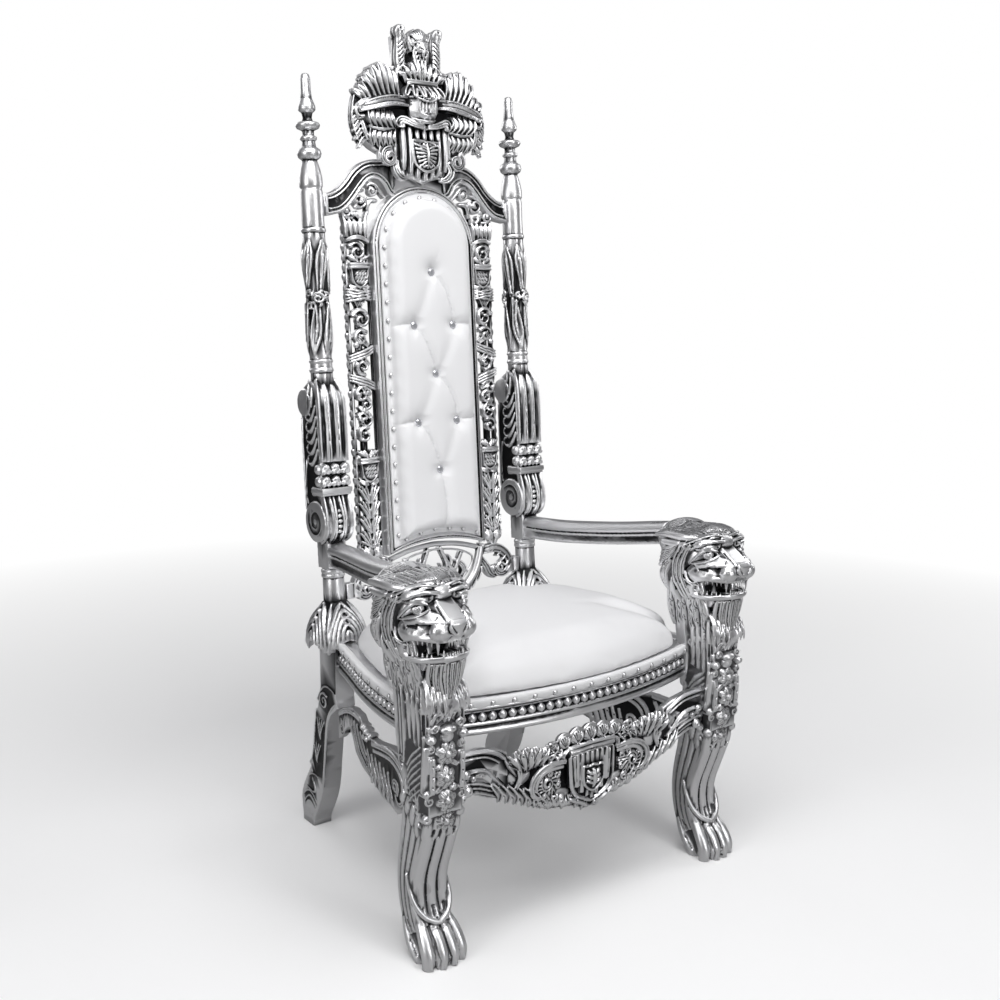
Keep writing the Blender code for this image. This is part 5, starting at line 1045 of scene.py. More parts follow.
def carve_face(work):
    """Lids, brow ridges, lips, tongue and teeth on the roughed head, then the fine lines round them."""
    work.block((-0.02, -0.31, 0.587), (0.02, -0.266, 0.647))
    work.ball((0, -0.33, 0.604), (0.015, 0.026, 0.005))
    lines = []
    for hand in (-1, 1):
        work.ball((hand * 0.0467, -0.3148, 0.6874), (0.0118, 0.0118, 0.0112))
        lines.append(mm([(68.5, -285, 667, 2.2), (65, -301, 686, 4), (56, -316, 699, 4.4),
            (44, -326, 700.5, 4), (33, -333, 695, 2.2)], hand))
        lines.append(mm([(67.5, -288, 666.5, 2), (60, -315, 673, 3), (48, -330, 679, 3),
            (34, -337, 690, 2)], hand))
        lines.append(mm([(8, -326, 712, 3.6), (26, -330, 717, 3.6), (44, -324.5, 717.5, 3.8),
            (60, -304, 709, 3.8), (70, -284, 695, 2.4)], hand))
        lines.append(mm([(8, -319, 722.5, 3.4), (28, -322, 726.5, 3.8), (48, -311, 725, 4),
            (64, -290, 714, 3.6), (72, -268, 702, 2.2)], hand))
        lines.append(mm([(66, -268, 648, 3), (68, -272, 632, 4.2), (66, -288, 621.5, 4.2),
            (60, -306, 622.5, 2.8)], hand))
        for back, thick in ((0.0, 0.0054), (0.011, 0.0054), (0.022, 0.0054)):
            lines.append([(hand * 0.068, -0.284 + back, 0.708, 0.0034),
                (hand * 0.0735, -0.27 + back, 0.682, thick), (hand * 0.0735, -0.264 + back, 0.65, thick),
                (hand * 0.069, -0.268 + back, 0.616, thick), (hand * 0.056, -0.282 + back, 0.586,
                thick * 0.8)])
    work.strands(lines, "round", RIGHT)
    for hand in (-1, 1):
        for x, y, top, tip, wide in ((0.03, -0.358, 0.637, 0.608, 0.0052),
                (0.02, -0.362, 0.599, 0.621, 0.0042)):
            tooth(work, hand * x, y, top, tip, wide)
        for k in range(3):
            tooth(work, hand * (0.003 + 0.0055 * k), -0.3725 + 0.0006 * k * k, 0.635, 0.6225, 0.0027)
            tooth(work, hand * (0.0026 + 0.005 * k), -0.3645 + 0.0006 * k * k, 0.604, 0.615, 0.0026)
        for k in range(5):
            x, y = 0.039 + 0.0042 * k, -0.35 + 0.0095 * k
            tooth(work, hand * x, y, 0.637, 0.6235 - 0.001 * (k % 2), 0.0032)
            tooth(work, hand * (x - 0.001), y + 0.002, 0.6, 0.613 + 0.001 * (k % 2), 0.003)
        eye = Vector((hand * 0.0556, -0.3228, 0.6888))
        gaze = Vector((hand * 0.72, -0.68, 0.12)).normalized()
        across = Vector((0, 0, 1)).cross(gaze).normalized()
        upright = gaze.cross(across)
        for radius, width, depth in ((0.006, 0.0017, 0.0016), (0.0028, 0.0015, 0.0014)):
            ring = [eye + across * radius * a + upright * radius * b for a, b in circle(18)]
            work.cut(ring + ring[:1], width, depth)
        work.cut(curved(mm([(68, -288, 668), (64, -302, 682), (56, -317, 693.5), (45, -327, 695.5),
            (34, -335, 692)], hand)), 0.0018, 0.0022)
        work.cut(curved(mm([(68, -290, 669), (60, -316, 676.5), (48, -331, 682.5), (35, -337, 691.5)],
            hand)), 0.0016, 0.0016)
        work.cut(mm([(28, -333, 703), (31, -332, 696)], hand), 0.0058, 0.0058)
        work.cut(curved(mm([(66, -298, 698), (56, -316, 708.5), (42, -328, 711), (26, -332, 708)], hand)),
            0.0042, 0.0042)
        work.cut(curved(mm([(18, -322, 722.5), (34, -324, 726.5), (50, -314, 724), (64, -294, 713),
            (72, -274, 701)], hand)), 0.0028, 0.0036)
        work.cut(curved(mm([(22, -335, 693), (21.5, -352, 683), (20.5, -372, 672)], hand)), 0.0022, 0.0018)
        work.cut(curved(mm([(64, -308, 656), (58, -330, 660), (52, -342, 664)], hand)), 0.006, 0.003)
        work.cut(curved(mm([(66, -296, 652), (62, -316, 650)], hand)), 0.008, 0.002)
        work.cut(mm([(7.5, -393, 653.5), (12, -393, 660), (16.5, -389, 666)], hand), 0.0028, 0.0044)
        work.cut(curved(mm([(19.5, -378, 668), (20, -380, 656), (12, -386, 644), (0, -390, 640)], hand)),
            0.0024, 0.0026)
        pad = [(hand * (0.03 + 0.021 * a), -0.354 - 0.012 * a, 0.653 + 0.0175 * b) for a,
            b in circle(14)[3:12]]
        work.cut(pad, 0.0024, 0.002)
        for k in range(9):
            row, place = divmod(k, 3)
            work.cut([(hand * (0.026 + 0.006 * place), -0.383 + 0.0056 * place,
                0.66 - 0.0062 * row + 0.0016 * place)], 0.0013, 0.0015)
        work.cut(curved(mm([(72, -268, 640), (71, -276, 629), (67, -294, 624), (59, -320, 631)], hand)),
            0.0024, 0.0042)
        for back in (-0.007, 0.0055, 0.0165, 0.0275):
            work.cut(curved([(hand * 0.074, -0.28 + back, 0.7), (hand * 0.079, -0.266 + back, 0.668),
                (hand * 0.078, -0.264 + back, 0.635), (hand * 0.068, -0.276 + back, 0.6)]), 0.0019, 0.0026)
        for k in range(3):
            z = 0.688 - 0.018 * k
            work.cut(wavy([(hand * 0.078, -0.27, z + 0.012), (hand * 0.08, -0.262, z),
                (hand * 0.079, -0.258, z - 0.012)], 0.0006, 1.0), 0.0013, 0.0012)


def tooth(work, x, y, root, tip, wide):
    """One pointed tooth, up or down."""
    corners = [(x + wide * a, y + wide * b, root) for a, b in ((-1, 0), (-0.4, -1), (0.4, -1), (1, 0),
        (0.4, 1), (-0.4, 1))]
    work.hull(corners + [(x, y - wide * 0.3, tip), (x + wide * 0.18, y, tip)])


def carve_mane(work):
    """The mane: low locks combed back over the crown, curls beside the face and a beard under the chin."""
    hair = []
    for hand in (-1, 1):
        for k in range(6):
            x = 0.006 + 0.0112 * k
            hair.append([(hand * x * 0.75, -0.318 + 0.0044 * k, 0.724 - 0.0008 * k, 0.005),
                (hand * x, -0.282, 0.732 - 0.0026 * k, 0.009), (hand * x * 1.14, -0.242,
                0.7315 - 0.0022 * k, 0.01), (hand * x * 1.12, -0.208, 0.73 - 0.002 * k, 0.0085),
                (hand * x * 0.95, -0.172, 0.724 - 0.003 * k, 0.0045)])
            hair.append([(hand * x * 1.08, -0.27, 0.72 - 0.0036 * k, 0.008),
                (hand * x * 1.14, -0.236, 0.718 - 0.0034 * k, 0.009),
                (hand * x * 1.1, -0.2, 0.715 - 0.003 * k, 0.007)])
        for k in range(5):
            part = k / 4
            hair.append([(hand * (0.06 + 0.004 * part), -0.262 + 0.004 * k, 0.716 - 0.012 * part, 0.005),
                (hand * (0.069 + 0.002 * part), -0.246 + 0.004 * k, 0.7 - 0.022 * part, 0.0072),
                (hand * (0.071 + 0.001 * part), -0.222 + 0.003 * k, 0.688 - 0.03 * part, 0.0068),
                (hand * (0.066 + 0.002 * part), -0.198 + 0.001 * k, 0.682 - 0.036 * part, 0.0034)])
        hair.append(mm([(64, -226, 664, 8), (71, -214, 644, 12), (69, -211, 620, 11.5), (60, -218, 598, 6)],
            hand))
        hair.append(mm([(62, -244, 640, 8), (68, -236, 618, 10.5), (62, -238, 594, 9), (52, -246, 576, 5)],
            hand))
        for k in range(5):
            x = hand * (0.003 + 0.008 * k)
            hair.append([(x, -0.358 + 0.0012 * k * k, 0.592, 0.0062),
                (x * 1.02, -0.354 + 0.0014 * k * k, 0.57, 0.0064), (x * 0.88, -0.35 + 0.0014 * k * k, 0.548,
                0.006), (x * 0.62, -0.347 + 0.0012 * k * k, 0.526 + 0.003 * k, 0.0044),
                (x * 0.4, -0.344, 0.508 + 0.006 * k, 0.002)])
    work.strands(hair, "round", RIGHT)
    for hand in (-1, 1):
        for k in range(19):
            start = 0.0015 + 0.0036 * k
            lift = 0.742 - 0.0005 * k
            work.cut(wavy([(hand * start * 0.75, -0.318 + 0.0017 * k, 0.737 - 0.0004 * k),
                (hand * (start + 0.003), -0.292, lift), (hand * (start + 0.008), -0.266, lift)], 0.0009,
                1.0), 0.0017, 0.0019)
            work.cut(wavy([(hand * (start + 0.005), -0.276, lift), (hand * (start + 0.0085), -0.25,
                lift - 0.001), (hand * (start + 0.009), -0.222, lift - 0.003)], 0.001, 1.2), 0.0018, 0.002)
            work.cut(wavy([(hand * (start + 0.006), -0.236, lift - 0.001),
                (hand * (start + 0.0075), -0.21, lift - 0.004), (hand * (start + 0.004), -0.182,
                lift - 0.01)], 0.001, 1.0), 0.0018, 0.002)
        for k in range(8):
            part = k / 7
            work.cut(wavy([(hand * 0.066, -0.268 + 0.02 * part, 0.716 - 0.02 * part),
                (hand * 0.076, -0.246 + 0.018 * part, 0.696 - 0.03 * part),
                (hand * 0.077, -0.218 + 0.01 * part, 0.684 - 0.036 * part)], 0.0008, 1.0), 0.0018, 0.002)
            work.cut(wavy([(hand * 0.08, -0.232 + 0.0045 * k, 0.66 - 0.002 * k),
                (hand * 0.084, -0.226 + 0.003 * k, 0.636), (hand * 0.078, -0.224 + 0.002 * k, 0.606)],
                0.0008, 1.2), 0.0017, 0.0018)
        for k in range(8):
            x = hand * (0.002 + 0.0056 * k)
            work.cut(wavy([(x, -0.366 + 0.0007 * k * k, 0.59), (x, -0.362 + 0.0007 * k * k, 0.568),
                (x * 0.85, -0.358 + 0.0007 * k * k, 0.546), (x * 0.6, -0.353 + 0.0005 * k * k, 0.522)],
                0.0005, 1.0), 0.0018, 0.0015)


def carve_leg():
    """The right-hand leg; both lions look straight ahead, so the left one is its mirror image."""
    place = SEAT @ Matrix.Translation((LEG_X, 0, 0))
    work = Carving()
    carve_shank(work)
    carve_knee(work)
    carve_neck(work)
    leg = ease_painted_shade(work.fuse("front_leg_right_carved", 0.0015, 66000, place=place, foot=0.0), 0.52, 0.6)
    work = Carving()
    work.keep_mesh(head_block())
    carve_face(work)
    carve_mane(work)
    head = work.fuse("head", 0.001, 62000, place=place)
    draw_in(head.data, (place @ Vector((0, MUZZLE_START, 0))).y, MUZZLE_SHARE)
    # Painted shade inside the open mouth.
    paint_mouth_shade(head.data, place @ Vector((0, -0.312, 0.616)), (0.047, 0.04, 0.0175))
    return add_mesh(leg, head)


def draw_in(mesh, start, share):
    """Shorten what stands further forward than a line, as the muzzle does."""
    for vert in mesh.vertices:
        if vert.co.y < start:
            vert.co.y = start + (vert.co.y - start) * share


def paint_mouth_shade(mesh, centre, radii):
    """Painted shade inside the mouth: points within the radii are darkened almost to black."""
    layer = mesh.attributes["hollow"].data
    for vert in mesh.vertices:
        away = vert.co - centre
        reach = sum((away[k] / radii[k]) ** 2 for k in range(3))
        if reach < 1.0:
            layer[vert.index].value = max(layer[vert.index].value, min(1.0, 3.0 * (1.0 - reach)))


def ease_painted_shade(piece, share, pits=2.5):
    """Weaken the painted shade over low relief by a share, and keep the drilled pits dark."""
    layer = piece.data.attributes["hollow"].data
    values = np.empty(len(layer), np.float32)
    layer.foreach_get("value", values)
    # Painted shade: sunkenness is pulled toward the flat level, and the deepest points are pushed darker.
    values = FLAT_SHADE + (values - FLAT_SHADE) * share + np.maximum(values - 0.82, 0) * pits
    layer.foreach_set("value", np.clip(values, 0, 1))
    return piece


def add_mesh(piece, other):
    """Take another piece's mesh into this one."""
    form = bmesh.new()
    form.from_mesh(piece.data)
    form.from_mesh(other.data)
    form.to_mesh(piece.data)
    form.free()
    bpy.data.objects.remove(other)
    return piece


leg_right = carve_leg()
leg_left = other_hand(leg_right, "front_leg_left_carved")
stands_for(leg_right, "front_leg_right")
stands_for(leg_left, "front_leg_left")


# Arms: a moulded and silvered bar, screwed to the front of each post and tenoned into the lion's head.
ARM_PATH = mm([(267.5, 228.8, 662), (269, 190, 664), (281, 120, 668), (302, 40, 676), (325, -40, 686),
    (345, -110, 697), (355.5, -157.8, 704.5)])
ARM_SECTION = [(0.0, 0.5), (0.1, 0.5), (0.2, 0.49), (0.3, 0.46), (0.38, 0.41), (0.44, 0.34), (0.48, 0.26),
    (0.495, 0.17), (0.47, 0.09), (0.42, 0.055), (0.37, 0.045), (0.37, 0.005), (0.42, -0.02), (0.46, -0.035),
    (0.46, -0.075), (0.42, -0.1), (0.395, -0.16), (0.385, -0.24), (0.39, -0.33), (0.405, -0.4),
    (0.43, -0.43), (0.43, -0.47), (0.39, -0.5), (0.2, -0.5), (0.0, -0.5)]


def moulding(path, section, width, height):
    """A flat section carried along a path that stays nearly level; its face turns out to the right."""
    form = bmesh.new()
    rings = []
    for index, point in enumerate(path):
        here = Vector(point)
        along = (Vector(path[min(index + 1, len(path) - 1)]) - Vector(path[max(index - 1, 0)])).normalized()
        across = along.cross(Vector((0, 0, 1))).normalized()
        rings.append([form.verts.new(here + across * (a * width) + Vector((0, 0, b * height))) for a,
            b in section])
    wall(form, rings)
    form.faces.new(rings[0])
    form.faces.new(reversed(rings[-1]))
    bmesh.ops.recalc_face_normals(form, faces=form.faces)
    return form


def carve_arm():
    """The right-hand arm; fine lines at its front end run on into the mane."""
    work = Carving()
    route = curved(ARM_PATH, 8)
    whole = ARM_SECTION + [(-a, b) for a, b in reversed(ARM_SECTION) if a > 0]
    work.keep(moulding(route, whole, 0.046, 0.05))
    for k in range(7):
        start = 0.345 + 0.0035 * k
        work.cut([(start - 0.012, -0.12 - 0.003 * k, 0.7235), (start - 0.006, -0.14, 0.7265),
            (start, -0.157, 0.728)], 0.002, 0.0014)
    return work.fuse("arm_right_carved", 0.0016, 13000, place=SEAT)


arm_right = carve_arm()
arm_left = other_hand(arm_right, "arm_left_carved")
stands_for(arm_right, "arm_right")
stands_for(arm_left, "arm_left")


# Seat frame: a bowed front rail and two side rails, silvered, each with a run of turned half beads
# between fillets, and a plain rear rail; the cushion's edge is nailed down on top of them.
RAIL_Z = 0.405
RAIL_TOP = 0.476
RAIL_MIDDLE = 0.4405
FRONT_SECTION = [(-0.5, 0.5), (0.46, 0.5), (0.46, 0.3), (0.5, 0.27), (0.5, 0.22), (0.4, 0.2), (0.36, 0.17),
    (0.34, 0.12), (0.26, 0.09), (0.24, 0.0), (0.26, -0.1), (0.34, -0.14), (0.42, -0.15), (0.46, -0.18),
    (0.46, -0.22), (0.38, -0.26), (0.42, -0.32), (0.5, -0.36), (0.52, -0.41), (0.49, -0.46), (0.42, -0.5),
    (-0.5, -0.5)]
SIDE_ROUTE = [(0.266, 0.2034, RAIL_MIDDLE), (0.288, 0.12, RAIL_MIDDLE), (0.318, 0.01, RAIL_MIDDLE),
    (0.338, -0.1, RAIL_MIDDLE), (0.346, -0.2136, RAIL_MIDDLE)]


def bow(share, half, rear, ahead, height):
    """A point on the bowed front; share runs from -1 to 1 across the chair."""
    return (half * share, rear - ahead * (1 - share * share), height)


def even(path, pitch):
    """Places at an even pitch along a path, each with the direction of the path there."""
    line = [Vector(point) for point in path]
    length = sum((b - a).length for a, b in zip(line, line[1:]))
    count = max(1, round(length / pitch))
    step = length / count
    places, run, due = [], 0.0, step / 2
    for a, b in zip(line, line[1:]):
        part = (b - a).length
        while due <= run + part and len(places) < count:
            places.append((a.lerp(b, (due - run) / part), (b - a).normalized()))
            due += step
        run += part
    return places


def bead_row(work, route, out, drop, pitch, radii):
    """Half beads along a route, stood off it to the side that faces out."""
    for place, along in even(route, pitch):
        across = along.cross(Vector((0, 0, 1))).normalized()
        turn = Matrix((along, across, Vector((0, 0, 1)))).transposed().to_4x4()
        work.ball(place + across * out + Vector((0, 0, drop)), radii, turn, detail=3)


def add_nails(piece, spots, radius, height):
    """Domed nail heads added to a piece, each given as (place, the way it faces)."""
    form = bmesh.new()
    form.from_mesh(piece.data)
    layer = form.verts.layers.float.get("hollow")
    for spot, facing in spots:
        turn = facing.to_track_quat("Z", "Y").to_matrix().to_4x4()
        rings = []
        for angle in (-0.35, 0.0, 0.35, 0.75, 1.15):
            reach = radius * math.cos(angle)
            rings.append([form.verts.new(spot + turn @ Vector((reach * a, reach * b,
                height * math.sin(angle)))) for a, b in circle(12)])
        for face in wall(form, rings):
            face.smooth = True
        form.faces.new(rings[-1]).smooth = True
        form.faces.new(reversed(rings[0]))
        # Painted shade: each nail's colour is dark round its foot and lighter toward its crown.
        for level, ring in enumerate(rings):
            for vertex in ring:
                vertex[layer] = (0.85, 0.62, 0.34, 0.22, 0.18)[level]
    form.to_mesh(piece.data)
    form.free()


front_route = [bow(-1 + k / 16, LEG_X - 0.0377, -0.236, 0.056, RAIL_MIDDLE) for k in range(33)]
work = Carving()
work.keep(moulding(front_route, FRONT_SECTION, 0.036, 0.071))
bead_row(work, front_route, 0.0118, -0.002, 0.0205, (0.0088, 0.0062, 0.0082))
rail_front = work.fuse("seat_rail_front_carved", 0.0014, 28000, place=SEAT)

work = Carving()
side_route = curved(SIDE_ROUTE, 8)
side_route.reverse()
work.keep(moulding(side_route, FRONT_SECTION, 0.034, 0.071))
bead_row(work, side_route, 0.011, -0.002, 0.0205, (0.0088, 0.006, 0.0082))
rail_right = work.fuse("seat_rail_right_carved", 0.0014, 15000, place=SEAT)
rail_left = other_hand(rail_right, "seat_rail_left_carved")

work = Carving()
work.block((-0.2427, 0.212, RAIL_Z), (0.2427, 0.24, RAIL_TOP))
rail_back = work.fuse("seat_rail_back_plain", 0.004, 3000, place=SEAT)
BAND_OUT = 0.0215
NAIL_PITCH = 0.045
NAIL_RADIUS = 0.0056
for piece, route, hand in ((rail_front, front_route, 1), (rail_right, side_route, 1),
        (rail_left, side_route, -1)):
    spots = []
    for place, along in even(route, NAIL_PITCH):
        facing = along.cross(Vector((0, 0, 1))).normalized()
        spot = SEAT @ (place + facing * BAND_OUT + Vector((0, 0, 0.0265)))
        spots.append((Vector((spot.x * hand, spot.y, spot.z)), Vector((facing.x * hand, facing.y, 0))))
    add_nails(piece, spots, NAIL_RADIUS, 0.004)
for piece, node in ((rail_front, "seat_rail_front"), (rail_right, "seat_rail_right"),
        (rail_left, "seat_rail_left"), (rail_back, "seat_rail_back")):
    stands_for(piece, node)


# Front apron: one pierced board carved with a shield under a shell crest, C-scrolls full of curling
# leaves on both sides and a panelled arm out to each knee, glued and screwed between the front legs.
APRON = Matrix.Translation((0, -0.305 + CENTRE_SHIFT, 0))
APRON_HALF = 0.3212


def lobe(work, foot, tip, width, stand):
    """One hollow shell lobe from its foot to a rounded, rolled tip; all points lie in the X-Z plane."""
    fx, fz = foot
    tx, tz = tip
    work.strands([[(fx + (tx - fx) * t, stand + rise, fz + (tz - fz) * t, width * share) for t, rise,
        share in ((0.0, 0.002, 0.45), (0.35, -0.0036, 0.75), (0.75, -0.006, 1.0), (1.0, 0.002, 0.62))]],
        "gouge")


def curl(work, x, z, size, stand, hand):
    """A leaf tip rolled into a small scroll round a drilled eye."""
    work.strands([spiral(x, stand, z, size, 1.35, 0.6, size * 0.36, hand, 0.004)], "ridge")
    work.cut([(x + size * 0.1, stand - 0.006, z)], size * 0.3, 0.006)


def shell(work, x, root, tip, wide, lean):
    """One broad fan lobe: a low dome with ribs that spread from its root and a scalloped, rolled edge."""
    tall = (tip - root) / 2
    mid = root + tall
    work.ball((x, -0.002, mid), (wide, 0.0125, tall))
    rim = []
    for k in range(7):
        turn = math.radians(-14 + 34.7 * k)
        swell = 1.0 + 0.1 * (k % 2)
        rim.append((x + wide * swell * math.cos(turn), -0.006, mid + tall * swell * math.sin(turn) * 0.94,
            0.003))
    work.strands([rim], "round")
    for k in range(5):
        turn = math.radians(34 + 28 * k) + lean
        work.cut([(x, -0.014, root + 0.003), (x + wide * 0.8 * math.cos(turn), -0.014,
            mid + tall * 0.7 * math.sin(turn))], 0.002, 0.0028)
    work.cut([(x + wide * 0.95, -0.01, root + 0.003)], 0.0034, 0.008)


def carve_apron():
    """The whole apron, carved on its front: shells, scrolls and leaves on both sides of the shield."""
    work = Carving()
    half = mm([(0, 368), (60, 364), (90, 350), (150, 346), (190, 352), (212, 350), (228, 336), (234, 306),
        (205, 282), (160, 256), (130, 240), (100, 228), (55, 222), (20, 210), (0, 204)])
    work.slab(half + [(-x, z) for x, z in reversed(half) if x > 0], -0.003, 0.01)
    for hand in (-1, 1):
        arm = [(0.205, 0.372), (0.235, 0.385), (0.27, 0.392), (APRON_HALF, 0.393), (APRON_HALF, 0.349),
            (0.262, 0.352), (0.235, 0.342), (0.205, 0.325)]
        work.slab([(x * hand, z) for x, z in arm], -0.004, 0.01)
        low = [(APRON_HALF, 0.334), (0.29, 0.337), (0.255, 0.328), (0.225, 0.306), (0.205, 0.296),
            (0.195, 0.28), (0.245, 0.288), (0.285, 0.306), (APRON_HALF, 0.308)]
        work.slab([(x * hand, z) for x, z in low], -0.003, 0.009)
    edges = [[(APRON_HALF, -0.006, 0.39, 0.005), (0.276, -0.008, 0.391, 0.0052),
        (0.243, -0.009, 0.383, 0.0052), (0.218, -0.008, 0.368, 0.0045), (0.206, -0.005, 0.352, 0.003)],
        [(APRON_HALF, -0.006, 0.379, 0.0028), (0.276, -0.008, 0.38, 0.0028), (0.246, -0.008, 0.373, 0.0026),
        (0.224, -0.006, 0.356, 0.002)], [(APRON_HALF, -0.007, 0.353, 0.005), (0.278, -0.009, 0.356, 0.0052),
        (0.252, -0.009, 0.346, 0.0052), (0.234, -0.008, 0.324, 0.0048), (0.216, -0.006, 0.306, 0.003)],
        mm([(0, -14, 348, 5), (60, -14, 346, 5)]), mm([(0, -17, 340, 4), (58, -17, 338, 4)]),
        mm([(0, -14, 332, 3), (56, -14, 330, 3)])]
    work.strands(both_hands(edges), "ridge")
    sweep = [mm([(66, -12, 322, 5.2), (95, -15, 328, 6.4), (130, -15, 322, 6.8), (153, -14, 300, 6.6),
        (152, -13, 274, 5.8), (134, -12, 259, 4.8), (116, -12, 262, 3.6)]),
        mm([(70, -10, 312, 4), (100, -12, 316, 4.6), (126, -12, 310, 4.6), (141, -12, 292, 4.2),
        (138, -11, 276, 3)]), mm([(186, -4, 352, 5), (176, -10, 326, 6.2), (183, -10, 300, 6),
        (196, -6, 284, 4)])]
    work.strands(both_hands(sweep), "band")
    for hand in (-1, 1):
        for k in range(7):
            x = 0.208 - 0.0215 * k
            tip = (0.36, 0.369, 0.37, 0.367, 0.361, 0.356, 0.352)[k]
            foot = (hand * (0.182 - 0.013 * k), 0.322 + 0.001 * k)
            lobe(work, foot, (hand * x, tip), 0.0118, -0.0065)
            work.cut([(hand * (x + 0.0105), -0.016, tip - 0.012)], 0.0028, 0.006)
            for side in (-0.34, 0.0, 0.34):
                work.cut([(foot[0] + hand * 0.002, -0.012, foot[1] + 0.01),
                    (hand * (x + 0.01 * side), -0.016, tip - 0.006)], 0.0015, 0.0016)
        for x, root, tip, wide in ((0.0, 0.348, 0.385, 0.019), (0.033, 0.348, 0.383, 0.0185),
                (0.066, 0.345, 0.378, 0.018), (0.092, 0.342, 0.366, 0.013)):
            shell(work, hand * x, root, tip, wide, -hand * 3.0 * x)
        work.strands([spiral(hand * 0.103, -0.008, 0.362, 0.0085, 1.3, 2.6, 0.004, hand=-hand)], "round")
        for k in range(7):
            x = 0.232 - 0.0195 * k
            z = 0.312 - 0.0075 * k
            work.strands([[(hand * (x + 0.012), -0.006, z + 0.006, 0.0044),
                (hand * (x + 0.001), -0.012, z - 0.008, 0.0072), (hand * (x - 0.008), -0.009, z - 0.024,
                0.0066), (hand * (x - 0.007), -0.002, z - 0.036, 0.0044)]], "gouge")
        work.ball((hand * 0.112, 0.0, 0.287), (0.04, 0.011, 0.032))
        work.ball((hand * 0.176, 0.0, 0.318), (0.03, 0.008, 0.024))
        work.ball((hand * 0.08, 0.0, 0.248), (0.04, 0.009, 0.02))
        for k in range(9):
            turn = math.radians(150 + 26 * k)
            work.strands([[(hand * (0.112 + 0.012 * math.cos(turn)), -0.0105,
                0.287 + 0.011 * math.sin(turn), 0.004), (hand * (0.112 + 0.024 * math.cos(turn + 0.3)),
                -0.0105, 0.287 + 0.02 * math.sin(turn + 0.3), 0.0062),
                (hand * (0.112 + 0.036 * math.cos(turn + 0.42)), -0.006,
                0.287 + 0.029 * math.sin(turn + 0.42), 0.0042)]], "gouge")
            if k % 3 == 1:
                work.cut([(hand * (0.112 + 0.03 * math.cos(turn + 0.1)), -0.014,
                    0.287 + 0.025 * math.sin(turn + 0.1))], 0.0032, 0.008)
        for k in range(5):
            turn = math.radians(200 - 38 * k)
            work.strands([[(hand * (0.112 + 0.007 * math.cos(turn)), -0.006, 0.286 + 0.006 * math.sin(turn),
                0.0034), (hand * (0.112 + 0.017 * math.cos(turn + 0.35)), -0.012,
                0.286 + 0.014 * math.sin(turn + 0.35), 0.0056), (hand
                * (0.112 + 0.027 * math.cos(turn + 0.55)), -0.007, 0.286 + 0.021 * math.sin(turn + 0.55),
                0.0034)]], "blade")
        work.strands([spiral(hand * 0.112, -0.01, 0.286, 0.016, 1.7, 2.6, 0.0044, hand=-hand, lift=0.006)],
            "ridge")
        for x, z, size, way in ((0.086, 0.3, 0.0085, 1), (0.083, 0.276, 0.008, -1),
                (0.104, 0.305, 0.0075, 1), (0.128, 0.298, 0.007, -1), (0.092, 0.252, 0.009, 1),
                (0.074, 0.246, 0.0075, -1), (0.118, 0.246, 0.008, 1)):
            curl(work, hand * x, z, size, -0.009, hand * way)
        for k, (x, z, wide) in enumerate(((0.15, 0.247, 0.0088), (0.136, 0.241, 0.008),
                (0.119, 0.236, 0.0095), (0.1, 0.229, 0.01), (0.082, 0.226, 0.0085), (0.066, 0.221, 0.009),
                (0.048, 0.222, 0.0078), (0.031, 0.214, 0.009), (0.014, 0.205, 0.0085))):
            work.strands([[(hand * (x + 0.004), -0.004, z + 0.03, wide * 0.5),
                (hand * (x + 0.002), -0.011, z + 0.016, wide), (hand * x, -0.007, z + 0.004, wide * 0.9),
                (hand * (x - 0.001), 0.001, z, wide * 0.5)]], "blade")
            if k % 2:
                work.cut([(hand * (x + 0.009), -0.016, z + 0.02)], 0.003, 0.007)
        for k in range(5):
            x = 0.262 + 0.0115 * k
            z = 0.334 + 0.004 * math.sin(k * 0.8)
            work.strands([[(hand * (x - 0.004), -0.002, z + 0.002, 0.004),
                (hand * x, -0.008, z + 0.0075, 0.0052), (hand * (x + 0.005), -0.004, z + 0.012, 0.0028)]],
                "blade")
            work.cut([(hand * (x + 0.004), -0.012, z + 0.001)], 0.0026, 0.006)
        bar = [[(hand * APRON_HALF, -0.002, 0.321, 0.013), (hand * 0.29, -0.003, 0.322, 0.012),
            (hand * 0.258, -0.004, 0.312, 0.011), (hand * 0.228, -0.004, 0.296, 0.009)]]
        work.strands(bar, "blade")
        for x, z, size in ((0.3, 0.318, 0.0105), (0.312, 0.307, 0.0085), (0.304, 0.352, 0.0085),
                (0.287, 0.34, 0.006)):
            work.ball((hand * x, -0.009, z), (size, size * 0.8, size))
            work.cut([(hand * (x - 0.002), -0.02, z)], size * 0.34, 0.004)
        work.strands([mm([(60, -13, 344, 4), (70, -13, 340, 5), (74, -12, 330, 5), (66, -12, 322, 4)],
            hand)], "ridge")
        work.strands([mm([(9.5, -12, 214, 3.5), (24, -16, 226, 5.2), (40, -16, 232, 5.6),
            (56, -14, 240, 4)], hand)], "ridge")
        work.strands([mm([(56, -14, 328, 4.6), (55.5, -16, 290, 5), (52, -16, 262, 5), (40, -16, 243, 4.8),
            (18, -16, 232, 4.6), (0, -15, 226, 4.6)], hand)], "ridge")
        work.strands([mm([(46, -14, 326, 4.2), (45.5, -15, 290, 4.4), (42, -15, 264, 4)], hand)], "ridge")
    shield = mm([(-56, 340), (56, 340), (52, 262), (40, 242), (18, 232), (0, 224), (-18, 232), (-40, 242),
        (-52, 262)])
    work.slab(shield, -0.011, 0.0)
    bars = []
    for k in range(4):
        x = 0.0128 * k
        foot = (0.232, 0.238, 0.248, 0.262)[k]
        bars.append([(x, -0.0125, 0.329, 0.0056), (x, -0.0135, 0.3, 0.0058),
            (x * 0.98, -0.013, foot, 0.005)])
    work.strands(both_hands(bars), "round")
    inner = mm([(-26, 304), (-10, 300), (0, 305), (10, 300), (26, 304), (28, 274), (17, 256), (0, 247),
        (-17, 256), (-28, 274)])
    work.slab(inner, -0.0195, 0.0)
    rim = [[(x, -0.02, z, 0.0024) for x, z in inner + inner[:1]]]
